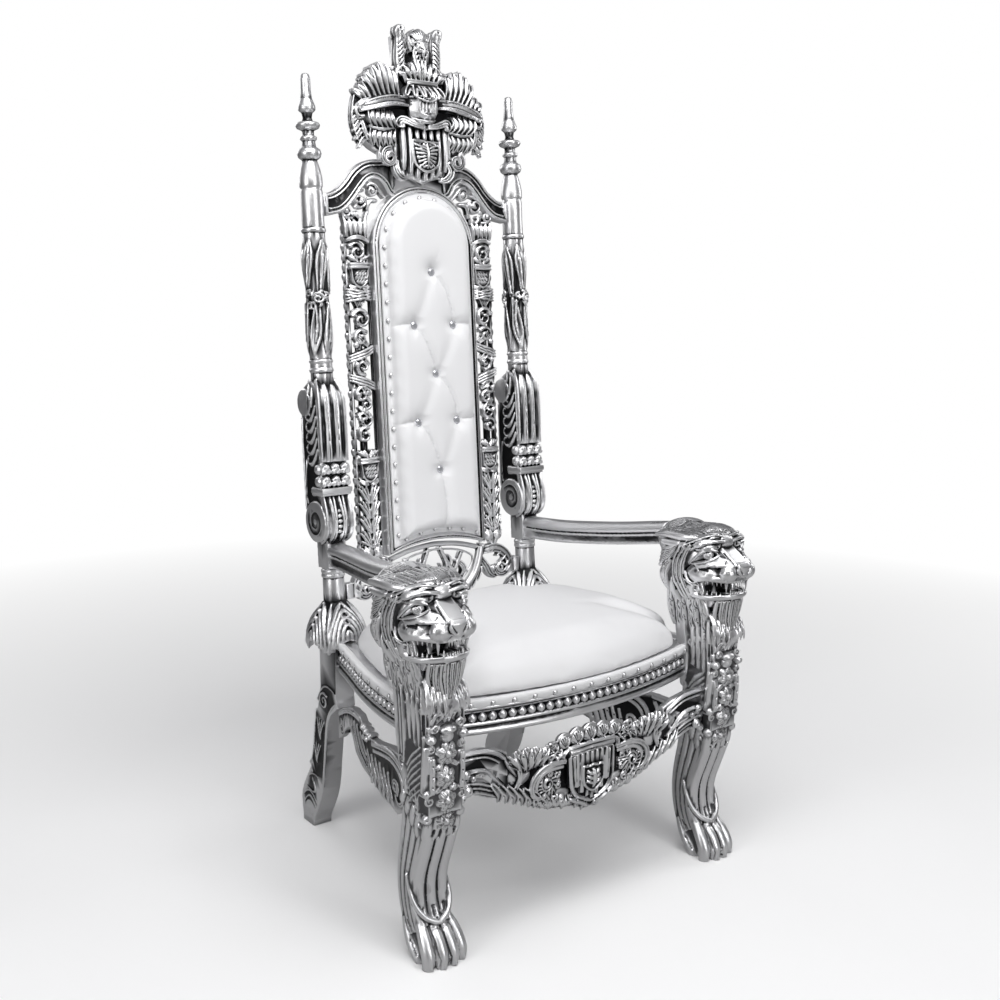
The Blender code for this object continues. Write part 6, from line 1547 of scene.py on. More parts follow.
    leafage = [mm([(0, -20, 256, 2.4), (0, -23, 268, 5), (0, -23.5, 282, 5.4), (0, -21.5, 294, 3)])]
    for k in range(3):
        z = 0.266 + 0.0095 * k
        leafage.append([(0.002, -0.0215, z - 0.002, 0.0028), (0.009, -0.0235, z + 0.002, 0.0042),
            (0.0175 - 0.0015 * k, -0.021, z + 0.005, 0.0024)])
    work.strands(rim + both_hands(leafage), "round")
    for x, z in ((0.013, 0.2845), (0.013, 0.303), (0.0075, 0.268)):
        for hand in (-1, 1):
            work.cut([(hand * x, -0.021, z)], 0.0024, 0.0036)
    return ease_painted_shade(work.fuse("front_apron_carved", 0.00135, 80000, place=APRON), 0.55)


stands_for(carve_apron(), "front_apron")


# Side stretchers: a ribbed neck, a cluster of beads and a broad leafy C-scroll, sawn from one board and
# carved on both faces, set askew between each rear leg and front leg.
STRETCHER_TOP = mm([(203, 316), (181, 328), (150, 342), (122, 348), (83, 346), (62, 328), (36, 314),
    (-12, 318), (-70, 331), (-136, 335), (-200, 332), (-249.5, 327)])
STRETCHER_LOW = mm([(-249.5, 262), (-200, 262), (-160, 246), (-136, 218), (-112, 204), (-75, 209),
    (-35, 211), (6, 222), (70, 236), (105, 255), (122, 284), (140, 304), (168, 282), (186, 262),
    (203, 252)])
STRETCHER_SKEW = 0.139


def carve_stretcher():
    """The right-hand stretcher, carved alike on both faces and skewed to meet both legs."""
    skew = Matrix(((1, -STRETCHER_SKEW, 0, 0.2755 + STRETCHER_SKEW * 0.204), (0, 1, 0, 0), (0, 0, 1, 0),
        (0, 0, 0, 1)))
    work = Carving()
    work.slab(STRETCHER_TOP + STRETCHER_LOW, -0.0085, 0.0085, across="x")
    for face in (-1, 1):
        x = face * 0.0085
        bands = [[(x, 0.016, 0.306, 0.0048), (x, -0.03, 0.317, 0.0062), (x, -0.09, 0.324, 0.0066),
            (x, -0.14, 0.308, 0.0066), (x, -0.157, 0.27, 0.0062), (x, -0.138, 0.234, 0.006),
            (x, -0.112, 0.226, 0.005), (x, -0.102, 0.242, 0.0036)],
            [(x, 0.01, 0.294, 0.0036), (x, -0.034, 0.303, 0.0044), (x, -0.086, 0.308, 0.0046),
            (x, -0.124, 0.296, 0.0046), (x, -0.14, 0.268, 0.0042), (x, -0.13, 0.246, 0.0034)],
            [(x, 0.2, 0.309, 0.0044), (x, 0.18, 0.32, 0.0052), (x, 0.15, 0.334, 0.0056),
            (x, 0.12, 0.34, 0.0056), (x, 0.086, 0.338, 0.005)], [(x, -0.16, 0.33, 0.0044),
            (x, -0.205, 0.327, 0.0048), (x, -0.249, 0.321, 0.0046)],
            [(x, -0.17, 0.262, 0.004), (x, -0.205, 0.268, 0.0044), (x, -0.249, 0.268, 0.0044)]]
        work.strands(bands, "band", RIGHT)
        leaves = [[(x, 0.112, 0.324, 0.005), (x, 0.102, 0.284, 0.0064), (x, 0.07, 0.25, 0.0062),
            (x, 0.012, 0.232, 0.0046)], [(x, 0.096, 0.322, 0.0044), (x, 0.084, 0.29, 0.0054),
            (x, 0.056, 0.264, 0.005), (x, 0.02, 0.25, 0.0034)], [(x, 0.078, 0.312, 0.004),
            (x, 0.066, 0.288, 0.0048), (x, 0.044, 0.272, 0.0034)], side_spiral(x, 0.183, 0.283, 0.0155, 1.4,
            1.2, 0.005, 1), side_spiral(x, -0.1, 0.258, 0.015, 1.5, 4.2, 0.0048, -1),
            side_spiral(x, 0.036, 0.244, 0.01, 1.3, 0.4, 0.0038, 1)]
        for k in range(6):
            y = 0.026 - 0.021 * k
            leaves.append([(x, y + 0.014, 0.285 - 0.002 * k, 0.0036),
                (x, y + 0.003, 0.262 - 0.004 * k, 0.007), (x, y - 0.008, 0.238 - 0.004 * k, 0.0062),
                (x, y - 0.008, 0.219 - 0.001 * k, 0.0036)])
        for k in range(4):
            y = -0.176 - 0.019 * k
            leaves.append([(x, y + 0.008, 0.318, 0.004), (x, y - 0.004, 0.3, 0.0066), (x, y, 0.284, 0.0056),
                (x, y + 0.006, 0.272, 0.003)])
        work.strands(leaves, "blade", RIGHT)
        for k in range(8):
            y = 0.118 + 0.0078 * k
            work.strands([[(x, y, 0.347 - 0.002 * k, 0.0026), (x, y - 0.003, 0.33 - 0.0036 * k, 0.003),
                (x, y - 0.001, 0.314 - 0.005 * k, 0.0024)]], "ridge", RIGHT)
        for k in range(6):
            work.cut([(x * 1.4, 0.01 - 0.021 * k, 0.27 - 0.004 * k)], 0.003, 0.004)
    for y, z in ((0.066, 0.326), (0.051, 0.3215), (0.045, 0.3075), (0.03, 0.3165), (0.058, 0.308)):
        work.ball((0, y, z), (0.0145, 0.009, 0.009))
    return ease_painted_shade(work.fuse("side_stretcher_right_carved", 0.0014, 20000, place=SEAT @ skew), 0.7)


stretcher_right = carve_stretcher()
stretcher_left = other_hand(stretcher_right, "side_stretcher_left_carved")
stands_for(stretcher_right, "side_stretcher_right")
stands_for(stretcher_left, "side_stretcher_left")


# Seat cushion: a domed pad of foam on webbing, covered in soft white leatherette that is drawn down
# over the rails and held by a white edge band with small silvered nails.
def leatherette(name):
    """White coated cloth with a fine pebble grain and a soft shine."""
    made, tree, output = new_material(name)
    shader = add(tree, "ShaderNodeBsdfPrincipled", Roughness=0.46)
    shader.inputs["Base Color"].default_value = (0.8, 0.8, 0.81, 1.0)
    place = add(tree, "ShaderNodeTexCoord")
    grain = add(tree, "ShaderNodeTexVoronoi", Scale=900.0)
    folds = add(tree, "ShaderNodeTexNoise", Scale=14.0, Detail=3.0, Roughness=0.5)
    fine = add(tree, "ShaderNodeBump", Strength=0.1, Distance=0.0004)
    broad = add(tree, "ShaderNodeBump", Strength=0.1, Distance=0.004)
    wire(tree, (place, "Object", grain, "Vector"), (place, "Object", folds, "Vector"),
        (grain, "Distance", fine, "Height"), (folds, "Fac", broad, "Height"),
        (broad, "Normal", fine, "Normal"), (fine, "Normal", shader, "Normal"),
        (shader, 0, output, "Surface"))
    return made


WHITE_HIDE = leatherette("white_leatherette")
SEAT_CENTRE = (0.0, -0.06)
SEAT_RISE = [(0.0003, 1.0), (0.01, 1.0), (0.022, 0.998), (0.036, 0.988), (0.05, 0.962), (0.063, 0.912),
    (0.075, 0.83), (0.084, 0.72), (0.09, 0.58), (0.094, 0.42), (0.0962, 0.24), (0.0968, 0.1)]


def seat_outline():
    """The plan of the seat, right half then left, clear of the posts' skirts and of the legs."""
    right = mm([(0, 205), (120, 205), (190.5, 205), (192.5, 192), (203.5, 170), (222, 156), (246, 150),
        (268, 149), (280, 128), (300, 70), (317, 10), (330, -40), (339, -90), (345, -130), (344.6, -165),
        (343, -183.5), (320, -184.5), (296, -185), (293.2, -200), (292.5, -236), (290, -256)])
    right += [bow(share, 0.3, -0.254, 0.056, 0)[:2] for share in (0.9, 0.78, 0.64, 0.48, 0.32, 0.16, 0.0)]
    return right + [(-x, y) for x, y in reversed(right) if x > 0]


BAND = mm([(6, 35.8), (14, 37.2), (18.8, 36.6), (21.2, 34), (21.6, 30), (21.4, 25), (20.6, 20.5),
    (19.6, 18.6), (18, 19.6), (17.2, 24), (17, 32), (6, 35.2)])


def edge_band(form, route, hand):
    """The folded edge of the cover along one rail: it puffs a little between its nails."""
    line = [Vector(point) for point in route]
    fine = [a.lerp(b, k / 3) for a, b in zip(line, line[1:]) for k in range(3)] + [line[-1]]
    run, rings = 0.0, []
    length = sum((b - a).length for a, b in zip(fine, fine[1:]))
    pitch = length / max(1, round(length / NAIL_PITCH))
    for index, here in enumerate(fine):
        run += (here - fine[index - 1]).length if index else 0.0
        along = (fine[min(index + 1, len(fine) - 1)] - fine[max(index - 1, 0)]).normalized()
        across = along.cross(Vector((0, 0, 1))).normalized() * hand
        puff = abs(math.sin(math.pi * run / pitch + math.pi / 2))
        ring = []
        for out, rise in BAND:
            swell = 0.0012 * (1 - puff ** 2.0) if 0.018 < out else 0.0
            lower = -0.0022 * (1 - puff ** 3.0) if rise < 0.022 else 0.0
            ring.append(form.verts.new(here + across * (out + 0.001 - swell)
                + Vector((0, 0, rise - lower))))
        rings.append(ring)
    for face in wall(form, rings):
        if hand > 0:
            face.normal_flip()
    for ring in (rings[0], rings[-1]):
        form.faces.new(ring)


SEAT_SKIN = 0.0068
SEAT_HELD = 0.01
SEAT_SWELL = 0.008
COVER = {"quality": 4, "mass": 0.3, "tension_stiffness": 25, "compression_stiffness": 25,
    "bending_stiffness": 4, "use_pressure": True, "uniform_pressure_force": 4.0,
    "vertex_group_mass": "held"}
COVER_FRAMES = 20


def plumped(piece, held_below, most, voxel):
    """The foam presses the cover out: a short cloth simulation, with its result kept in the mesh."""
    even_skin = piece.modifiers.new("even_skin", "REMESH")
    even_skin.mode = "VOXEL"
    even_skin.voxel_size = voxel
    mesh = bake(piece)
    before = places_of(mesh)
    held = piece.vertex_groups.new(name="held")
    held.add([vert.index for vert in mesh.vertices if vert.co.z < held_below], 1.0, "REPLACE")
    cover = piece.modifiers.new("cover", "CLOTH")
    for key, value in COVER.items():
        setattr(cover.settings, key, value)
    cover.settings.effector_weights.gravity = 0.0
    cover.collision_settings.use_collision = False
    for moment in range(1, COVER_FRAMES + 1):
        scene.frame_set(moment)
    after = places_of(piece.evaluated_get(bpy.context.evaluated_depsgraph_get()).data)
    piece.modifiers.remove(cover)
    piece.vertex_groups.clear()
    scene.frame_set(1)
    move = after - before
    reach = np.maximum(np.linalg.norm(move, axis=1, keepdims=True), 1e-9)
    move *= np.minimum(1.0, most / reach)
    mesh.vertices.foreach_set("co", (before + move).ravel())
    mesh.update()
    calmed = piece.modifiers.new("calmed", "SMOOTH")
    calmed.factor = 0.5
    calmed.iterations = 14
    return bake(piece)


def seat_cushion():
    """The domed pad in rings from its foot to its crown, plumped, with the nailed band round its edge."""
    form = bmesh.new()
    plan = seat_outline()
    centre = Vector((*SEAT_CENTRE, 0))
    rings = []
    for height, share in SEAT_RISE:
        ring = []
        for x, y in plan:
            dip = 0.0015 * math.sin(17 * math.atan2(y - centre.y, x)) * (1 - share) * share
            ring.append(form.verts.new((x * share, centre.y + (y - centre.y) * share,
                RAIL_TOP + height + dip)))
        rings.append(ring)
    wall(form, rings)
    count = len(plan)
    top = form.verts.new((centre.x, centre.y, RAIL_TOP + 0.097))
    foot = form.verts.new((centre.x, centre.y, RAIL_TOP + 0.0003))
    for k in range(count):
        form.faces.new((rings[-1][k], rings[-1][(k + 1) % count], top))
        form.faces.new((rings[0][(k + 1) % count], rings[0][k], foot))
    bmesh.ops.recalc_face_normals(form, faces=form.faces)
    bmesh.ops.subdivide_edges(form, edges=form.edges[:], cuts=1, use_grid_fill=True)
    for _ in range(3):
        inner = [v for v in form.verts if v.co.z > RAIL_TOP + 0.004]
        bmesh.ops.smooth_vert(form, verts=inner, factor=0.4, use_axis_x=True, use_axis_y=True,
            use_axis_z=True)
    for vert in form.verts:
        vert.co.z -= max(0.0, vert.co.z - RAIL_TOP - 0.012) * 0.06
    piece = link("seat_cushion_soft", mesh_of(form, "seat_cushion_soft"))
    mesh = plumped(piece, RAIL_TOP + SEAT_HELD, SEAT_SWELL, SEAT_SKIN)
    form = bmesh.new()
    for hand, route in ((1, front_route), (1, side_route), (-1, side_route)):
        edge_band(form, [(hand * x, y, z) for x, y, z in route], hand)
    band = link("edge_band", mesh_of(form, "edge_band"))
    finer = band.modifiers.new("finer", "SUBSURF")
    finer.levels = finer.render_levels = 1
    bake(band)
    add_mesh(piece, band)
    mesh.transform(SEAT)
    mesh.shade_smooth()
    mesh.materials.append(WHITE_HIDE)
    return piece


seat = stands_for(seat_cushion(), "seat_cushion", slot="white_leatherette")


# Back frame: an arched moulding of silvered hardwood, mitred round the padded panel, with a low arch
# at its foot; domed nails through the edge of the leatherette hold it inside the moulding.
FRAME_HALF = 0.134
FRAME_TOP = 1.458
FRAME_BOTTOM = 0.64
MOULDING = 0.016
FRAME_DIP = 0.022
NAIL_INSET = 0.0105


def arch(half, top, bottom):
    """An arched outline in X and Z, with a low arch cut up into its foot."""
    rise = top - half
    points = [(half * math.cos(math.pi * k / 40), rise + half * math.sin(math.pi * k / 40))
        for k in range(41)]
    points += [(-half, rise + (bottom - rise) * k / 20) for k in range(1, 21)]
    points += [(-half + half * k / 6, bottom + FRAME_DIP * (1 - (1 - k / 6) ** 2)) for k in range(1, 12)]
    points += [(half, bottom + (rise - bottom) * k / 20) for k in range(20)]
    return points


def ring_of(steps):
    """A closed moulding round the arch from (inset, depth) pairs."""
    form = bmesh.new()
    rings = []
    for inset, depth in steps:
        outline = arch(FRAME_HALF - inset, FRAME_TOP - inset, FRAME_BOTTOM + inset)
        rings.append([form.verts.new((x, depth, z)) for x, z in outline])
    wall(form, rings + rings[:1])
    bmesh.ops.recalc_face_normals(form, faces=form.faces)
    return form


back_frame = Carving()
back_frame.keep(ring_of(((0.0, 0.016), (0.0, -0.018), (0.0012, -0.0212), (0.0034, -0.0225),
    (0.005, -0.0215), (0.0056, -0.0195), (0.0068, -0.0195), (0.0078, -0.0235), (0.01, -0.0245),
    (0.012, -0.0235), (0.0128, -0.0205), (0.0136, -0.02), (0.015, -0.0195), (0.016, -0.018),
    (MOULDING, 0.016))))
back_frame = back_frame.fuse("back_frame_carved", 0.0012, 22000, place=BACK)
nail_line = arch(FRAME_HALF - MOULDING - NAIL_INSET, FRAME_TOP - MOULDING - NAIL_INSET,
    FRAME_BOTTOM + MOULDING + NAIL_INSET)
nail_line = [(x, -0.0255, z) for x, z in nail_line + nail_line[:1]]
facing = (BACK.to_3x3() @ Vector((0, -1, 0))).normalized()
add_nails(back_frame, [(BACK @ spot, facing) for spot, _ in even(nail_line, 0.04)], NAIL_RADIUS, 0.0042)
stands_for(back_frame, "back_frame")


# Padded back: foam on a board, covered in the same white leatherette. Seven buttons draw it down, and
# the slack lies in sewn folds between them; its edge is nailed flat inside the moulding.
PAD_GAP = 0.0003
PAD_EDGE = -0.0235
PAD_FACE = -0.056
BUTTON_SINK = 0.0135
BUTTON_FACE = -0.052 + BUTTON_SINK
BUTTONS = mm([(0, 1268), (0, 1043), (0, 826), (-52, 1151), (-52, 935), (52, 1151), (52, 935)])
FOLDS = [mm([(0, 1268), (16, 1254.5), (34, 1227.5), (47, 1187), (52, 1151)]),
    mm([(52, 1151), (70, 1153), (90, 1152), (108, 1148)]), mm([(-108, 1148), (-90, 1152), (-70, 1153.5),
    (-52, 1151)]), mm([(-52, 1151), (-36, 1134), (-21, 1104), (-9.5, 1076), (0, 1043)]),
    mm([(0, 1043), (16, 1029), (33, 1006), (46, 974), (52, 935)]), mm(
    [(52, 935), (70, 937), (90, 937.5), (108, 936)]), mm([(-108, 931), (-90, 935), (-70, 937.5),
    (-52, 935)]), mm([(-52, 935), (-37, 920), (-22, 892), (-9.5, 860), (0, 826)]),
    mm([(0, 826), (6, 790), (10.5, 745), (8.5, 704), (0, 680), (-14, 668)])]
VALLEYS = [mm([(0, 1268), (-22, 1222), (-52, 1151)]), mm([(52, 1151), (32, 1100), (0, 1043)]),
    mm([(0, 1043), (-22, 1002), (-52, 935)]), mm([(52, 935), (30, 890), (0, 826)])]
PLEATS = [(0, 1.25, 0.06), (0, 1.75, 0.036), (3, 1.15, 0.036), (3, 1.75, 0.032), (3, 2.3, 0.034),
    (1, 0.1, 0.036), (1, 0.6, 0.032), (4, 1.2, 0.034), (4, 1.9, 0.028), (2, 0.55, 0.032), (2, 1.05, 0.03),
    (5, 1.9, 0.03), (6, 1.8, 0.03), (0, -1.9, 0.026), (1, -1.7, 0.026), (2, -2.2, 0.024)]


def inside(x, z):
    """How far points lie inside the moulding's inner edge, in metres."""
    half, top, bottom = FRAME_HALF - MOULDING, FRAME_TOP - MOULDING, FRAME_BOTTOM + MOULDING
    rise = top - half
    side = np.where(z > rise, half - np.hypot(x, z - rise), half - np.abs(x))
    return np.minimum(side, z - (bottom + FRAME_DIP * (1 - (np.abs(x) / half) ** 2)))


def from_line(x, z, line):
    """The signed distance from a bent line, and how far along it the nearest place is, from 0 to 1."""
    best = np.full(x.shape, 9.0)
    signed = np.zeros(x.shape)
    share = np.zeros(x.shape)
    legs = list(zip(line, line[1:]))
    for index, ((ax, az), (bx, bz)) in enumerate(legs):
        run_x, run_z = bx - ax, bz - az
        length = math.hypot(run_x, run_z)
        part = np.clip(((x - ax) * run_x + (z - az) * run_z) / length ** 2, 0, 1)
        gap = np.hypot(x - ax - run_x * part, z - az - run_z * part)
        side = np.sign((x - ax) * run_z - (z - az) * run_x)
        near = gap < best
        best = np.where(near, gap, best)
        signed = np.where(near, gap * side, signed)
        share = np.where(near, (index + part) / len(legs), share)
    return signed, share


def pad_depth(x, z):
    """The front face of the padding: a flat nailed edge, then a full pad drawn down along its folds."""
    edge = inside(x, z)
    start = np.clip((edge - 0.0125) / 0.028, 0, 1)
    full = np.sqrt(np.clip(1 - (1 - start) ** 2, 0, 1)) ** 0.9
    drawn = np.zeros(x.shape)
    lip = np.zeros(x.shape)
    for line in FOLDS:
        gap, _ = from_line(x, z, line)
        drawn = np.maximum(drawn, 0.0062 * np.exp(-np.abs(gap) / 0.0036) + 0.0046
            * np.exp(-(gap / 0.018) ** 2))
        lip += 0.0016 * np.sign(gap) * np.exp(-np.abs(gap) / 0.006)
    for line in VALLEYS:
        gap, share = from_line(x, z, line)
        drawn = np.maximum(drawn, (0.003 + 0.0022 * (2 * share - 1) ** 2) * np.exp(-(gap / 0.015) ** 2))
    for index, angle, length in PLEATS:
        bx, bz = BUTTONS[index]
        tip = (bx + length * math.cos(angle), bz + length * math.sin(angle))
        gap, share = from_line(x, z, [(bx, bz), tip])
        drawn = np.maximum(drawn, 0.0048 * (1 - share) ** 1.3 * np.exp(
            -(gap / (0.003 + 0.004 * share)) ** 2))
    for bx, bz in BUTTONS:
        away = np.hypot(x - bx, z - bz)
        drawn = np.maximum(drawn, 0.015 * np.exp(-(away / 0.0175) ** 1.6))
        drawn += 0.0042 * np.exp(-(away / 0.032) ** 2)
    pull = 0.0009 * np.cos(math.tau * z / 0.04) * np.exp(-((edge - 0.016) / 0.01) ** 2)
    return PAD_EDGE + (PAD_FACE - PAD_EDGE) * full + (drawn - lip) * full + pull


def panel_grid(columns, rows):
    """Points over the arched panel, row by row from its foot to its crown."""
    inset = MOULDING + PAD_GAP
    half, top, bottom = FRAME_HALF - inset, FRAME_TOP - inset, FRAME_BOTTOM + inset
    rise = top - half
    grid = []
    for row in range(rows + 1):
        part = row / rows
        level = bottom + (top - bottom) * (1 - (1 - part) ** 1.12)
        width = half if level <= rise else math.sqrt(max(0.0, half ** 2 - (level - rise) ** 2))
        ease = max(0.0, 1 - (level - bottom) / 0.2)
        across = [width * math.sin(0.5 * math.pi * (2 * k / columns - 1)) * 0.35 + width
            * (2 * k / columns - 1) * 0.65 for k in range(columns + 1)]
        grid.append([(x, level + FRAME_DIP * (1 - (x / half) ** 2) * ease) for x in across])
    return grid


def padded_back(name, front, rear, columns, rows):
    """A closed pad in the arch; front gives the depth of its face at each point."""
    form = bmesh.new()
    grid = panel_grid(columns, rows)
    x = np.array([[point[0] for point in row] for row in grid])
    z = np.array([[point[1] for point in row] for row in grid])
    depth = front(x, z)
    faces = [[form.verts.new((x[r, c], depth[r, c], z[r, c])) for c in range(columns + 1)]
        for r in range(rows + 1)]
    for low, high in zip(faces, faces[1:]):
        for k in range(columns):
            form.faces.new((low[k], low[k + 1], high[k + 1], high[k]))
    rim = faces[0] + [row[-1] for row in faces[1:]] + faces[-1][-2::-1] + [row[0] for row in faces[-2:0:-1]]
    back = [form.verts.new((v.co.x, rear, v.co.z)) for v in rim]
    for k in range(len(rim)):
        form.faces.new((rim[k], rim[k - 1], back[k - 1], back[k]))
    form.faces.new(back)
    bmesh.ops.remove_doubles(form, verts=form.verts, dist=0.00002)
    bmesh.ops.triangulate(form, faces=[face for face in form.faces if len(face.verts) > 4])
    bmesh.ops.recalc_face_normals(form, faces=form.faces)
    bmesh.ops.transform(form, matrix=BACK, verts=form.verts)
    mesh = mesh_of(form, name)
    mesh.shade_smooth()
    mesh.materials.append(WHITE_HIDE)
    return link(name, mesh)


pad = stands_for(padded_back("back_cushion_soft", pad_depth, 0.004, 92, 290), "back_cushion",
    slot="white_leatherette")
stands_for(padded_back("back_panel_soft", lambda x, z: np.full(x.shape, 0.0043), 0.013, 12, 60),
    "back_panel", slot="white_leatherette")


# Buttons: seven faceted crystals in the tufts of the back, each on a looped metal shank.
def crystal(name):
    """Clear cut glass over a foil back, bright where a facet turns to the light."""
    made, tree, output = new_material(name)
    shader = add(tree, "ShaderNodeBsdfPrincipled", Roughness=0.05, Metallic=0.55, IOR=1.6)
    shader.inputs["Base Color"].default_value = (0.58, 0.59, 0.62, 1.0)
    shader.inputs["Coat Weight"].default_value = 1.0
    wire(tree, (shader, 0, output, "Surface"))
    return made


CRYSTAL = crystal("crystal")
for index, (x, z) in enumerate(BUTTONS, start=1):
    stone = bmesh.new()
    for radius, rise, turn in ((0.008, -0.001, 0.0), (0.0104, 0.0004, 0.0), (0.0106, 0.0016, 0.5),
            (0.0086, 0.0046, 0.0), (0.0052, 0.0068, 0.5)):
        for a, b in circle(10, turn):
            stone.verts.new((x + radius * a, BUTTON_FACE - rise, z + radius * b))
    bmesh.ops.convex_hull(stone, input=stone.verts[:])
    loose = [v for v in stone.verts if not v.link_faces]
    bmesh.ops.delete(stone, geom=loose, context="VERTS")
    bmesh.ops.transform(stone, matrix=BACK, verts=stone.verts)
    mesh = mesh_of(stone, "button_%d_cut" % index)
    mesh.materials.append(CRYSTAL)
    stands_for(link("button_%d_cut" % index, mesh), "button_%d" % index, slot="crystal")


# Crest rail: a swan-necked board tenoned between the posts over the arch, its plain face framed by
# raised fillets that follow both edges, silvered all over.
TOP_LINE = mm([(240.5, 1434.5), (222, 1438.5), (205, 1447.5), (188, 1463), (172, 1482), (155, 1497),
    (135, 1508), (110, 1513.5), (60, 1516)])
LOW_LINE = mm([(70, 1432), (83, 1440), (96, 1460), (112, 1470), (130, 1466), (148, 1449), (166, 1427.5),
    (184, 1408.5), (206, 1394.5), (240.5, 1387.5)])
FIELD_LOW = -0.012
FIELD_TOP = -0.0035


def tilted_field(top, low):
    """The plain face leans back from its lower edge to its upper edge, and so it catches the light."""
    form = bmesh.new()
    rings = []
    steps = 44
    for step in range(steps + 1):
        ends = []
        for line in (top, low[::-1]):
            place = step / steps * (len(line) - 1)
            near = min(int(place), len(line) - 2)
            ends.append([line[near][k] + (line[near + 1][k] - line[near][k]) * (place - near)
                for k in (0, 1)])
        (x_top, z_top), (x_low, z_low) = ends
        rings.append([form.verts.new(spot) for spot in ((x_top, FIELD_TOP, z_top),
            (x_low, FIELD_LOW, z_low), (x_low, 0.01, z_low), (x_top, 0.01, z_top))])
    wall(form, rings)
    form.faces.new(rings[0])
    form.faces.new(rings[-1][::-1])
    bmesh.ops.recalc_face_normals(form, faces=form.faces)
    return form


def carve_crest_rail():
    """The swan-necked board with its two plain fields, and fillets along both edges."""
    top = curved(TOP_LINE, 5)
    low = curved(LOW_LINE, 5)
    line = [(0, 1.516), *reversed(top), *reversed(low)]
    inner = arch(FRAME_HALF + 0.0005, FRAME_TOP + 0.0005, FRAME_BOTTOM)
    crown = sorted(((x, z) for x, z in inner if 0 <= x <= 0.066 and z > 1.4), key=lambda p: -p[0])
    line += crown
    outline = line + [(-x, z) for x, z in reversed(line) if x > 0]
    work = Carving()
    work.slab(outline, FIELD_TOP, 0.014)
    work.keep(tilted_field(top, low))
    work.keep(tilted_field([(-x, z) for x, z in top], [(-x, z) for x, z in low]))
    fillets = []
    for edge, inset in ((top, -1), (low, 1)):
        for off, thick, stand in ((0.0042, 0.004, -0.0015), (0.0125, 0.0022, -0.001)):
            stand += FIELD_TOP - 0.001 if inset < 0 else FIELD_LOW
            run = []
            for index, (x, z) in enumerate(edge[:-1] if inset < 0 else edge):
                before, after = edge[max(index - 1, 0)], edge[min(index + 1, len(edge) - 1)]
                along = Vector((after[0] - before[0], after[1] - before[1])).normalized()
                normal = Vector((-along.y, along.x)) if edge is low else Vector((along.y, -along.x))
                if normal.y * inset < 0:
                    normal = -normal
                run.append((x + normal.x * off, stand, z + normal.y * off, thick))
            fillets.append([point for point in run if point[0] < 0.237])
    fillets.append(mm([(237, -13.5, 1392, 3.6), (237, -13.5, 1432, 3.6)]))
    work.strands(both_hands(fillets), "ridge")
    return work.fuse("crest_rail_carved", 0.0014, 24000, place=BACK)


stands_for(carve_crest_rail(), "crest_rail")


# Crest carving: helmet, coronet, bird's head between two horns and a feathered mantle over a shield of
# stripes, carved from glued-up blocks and screwed to the face of the crest rail.
CREST_FACE = -0.03
CREST_REST = 1.519


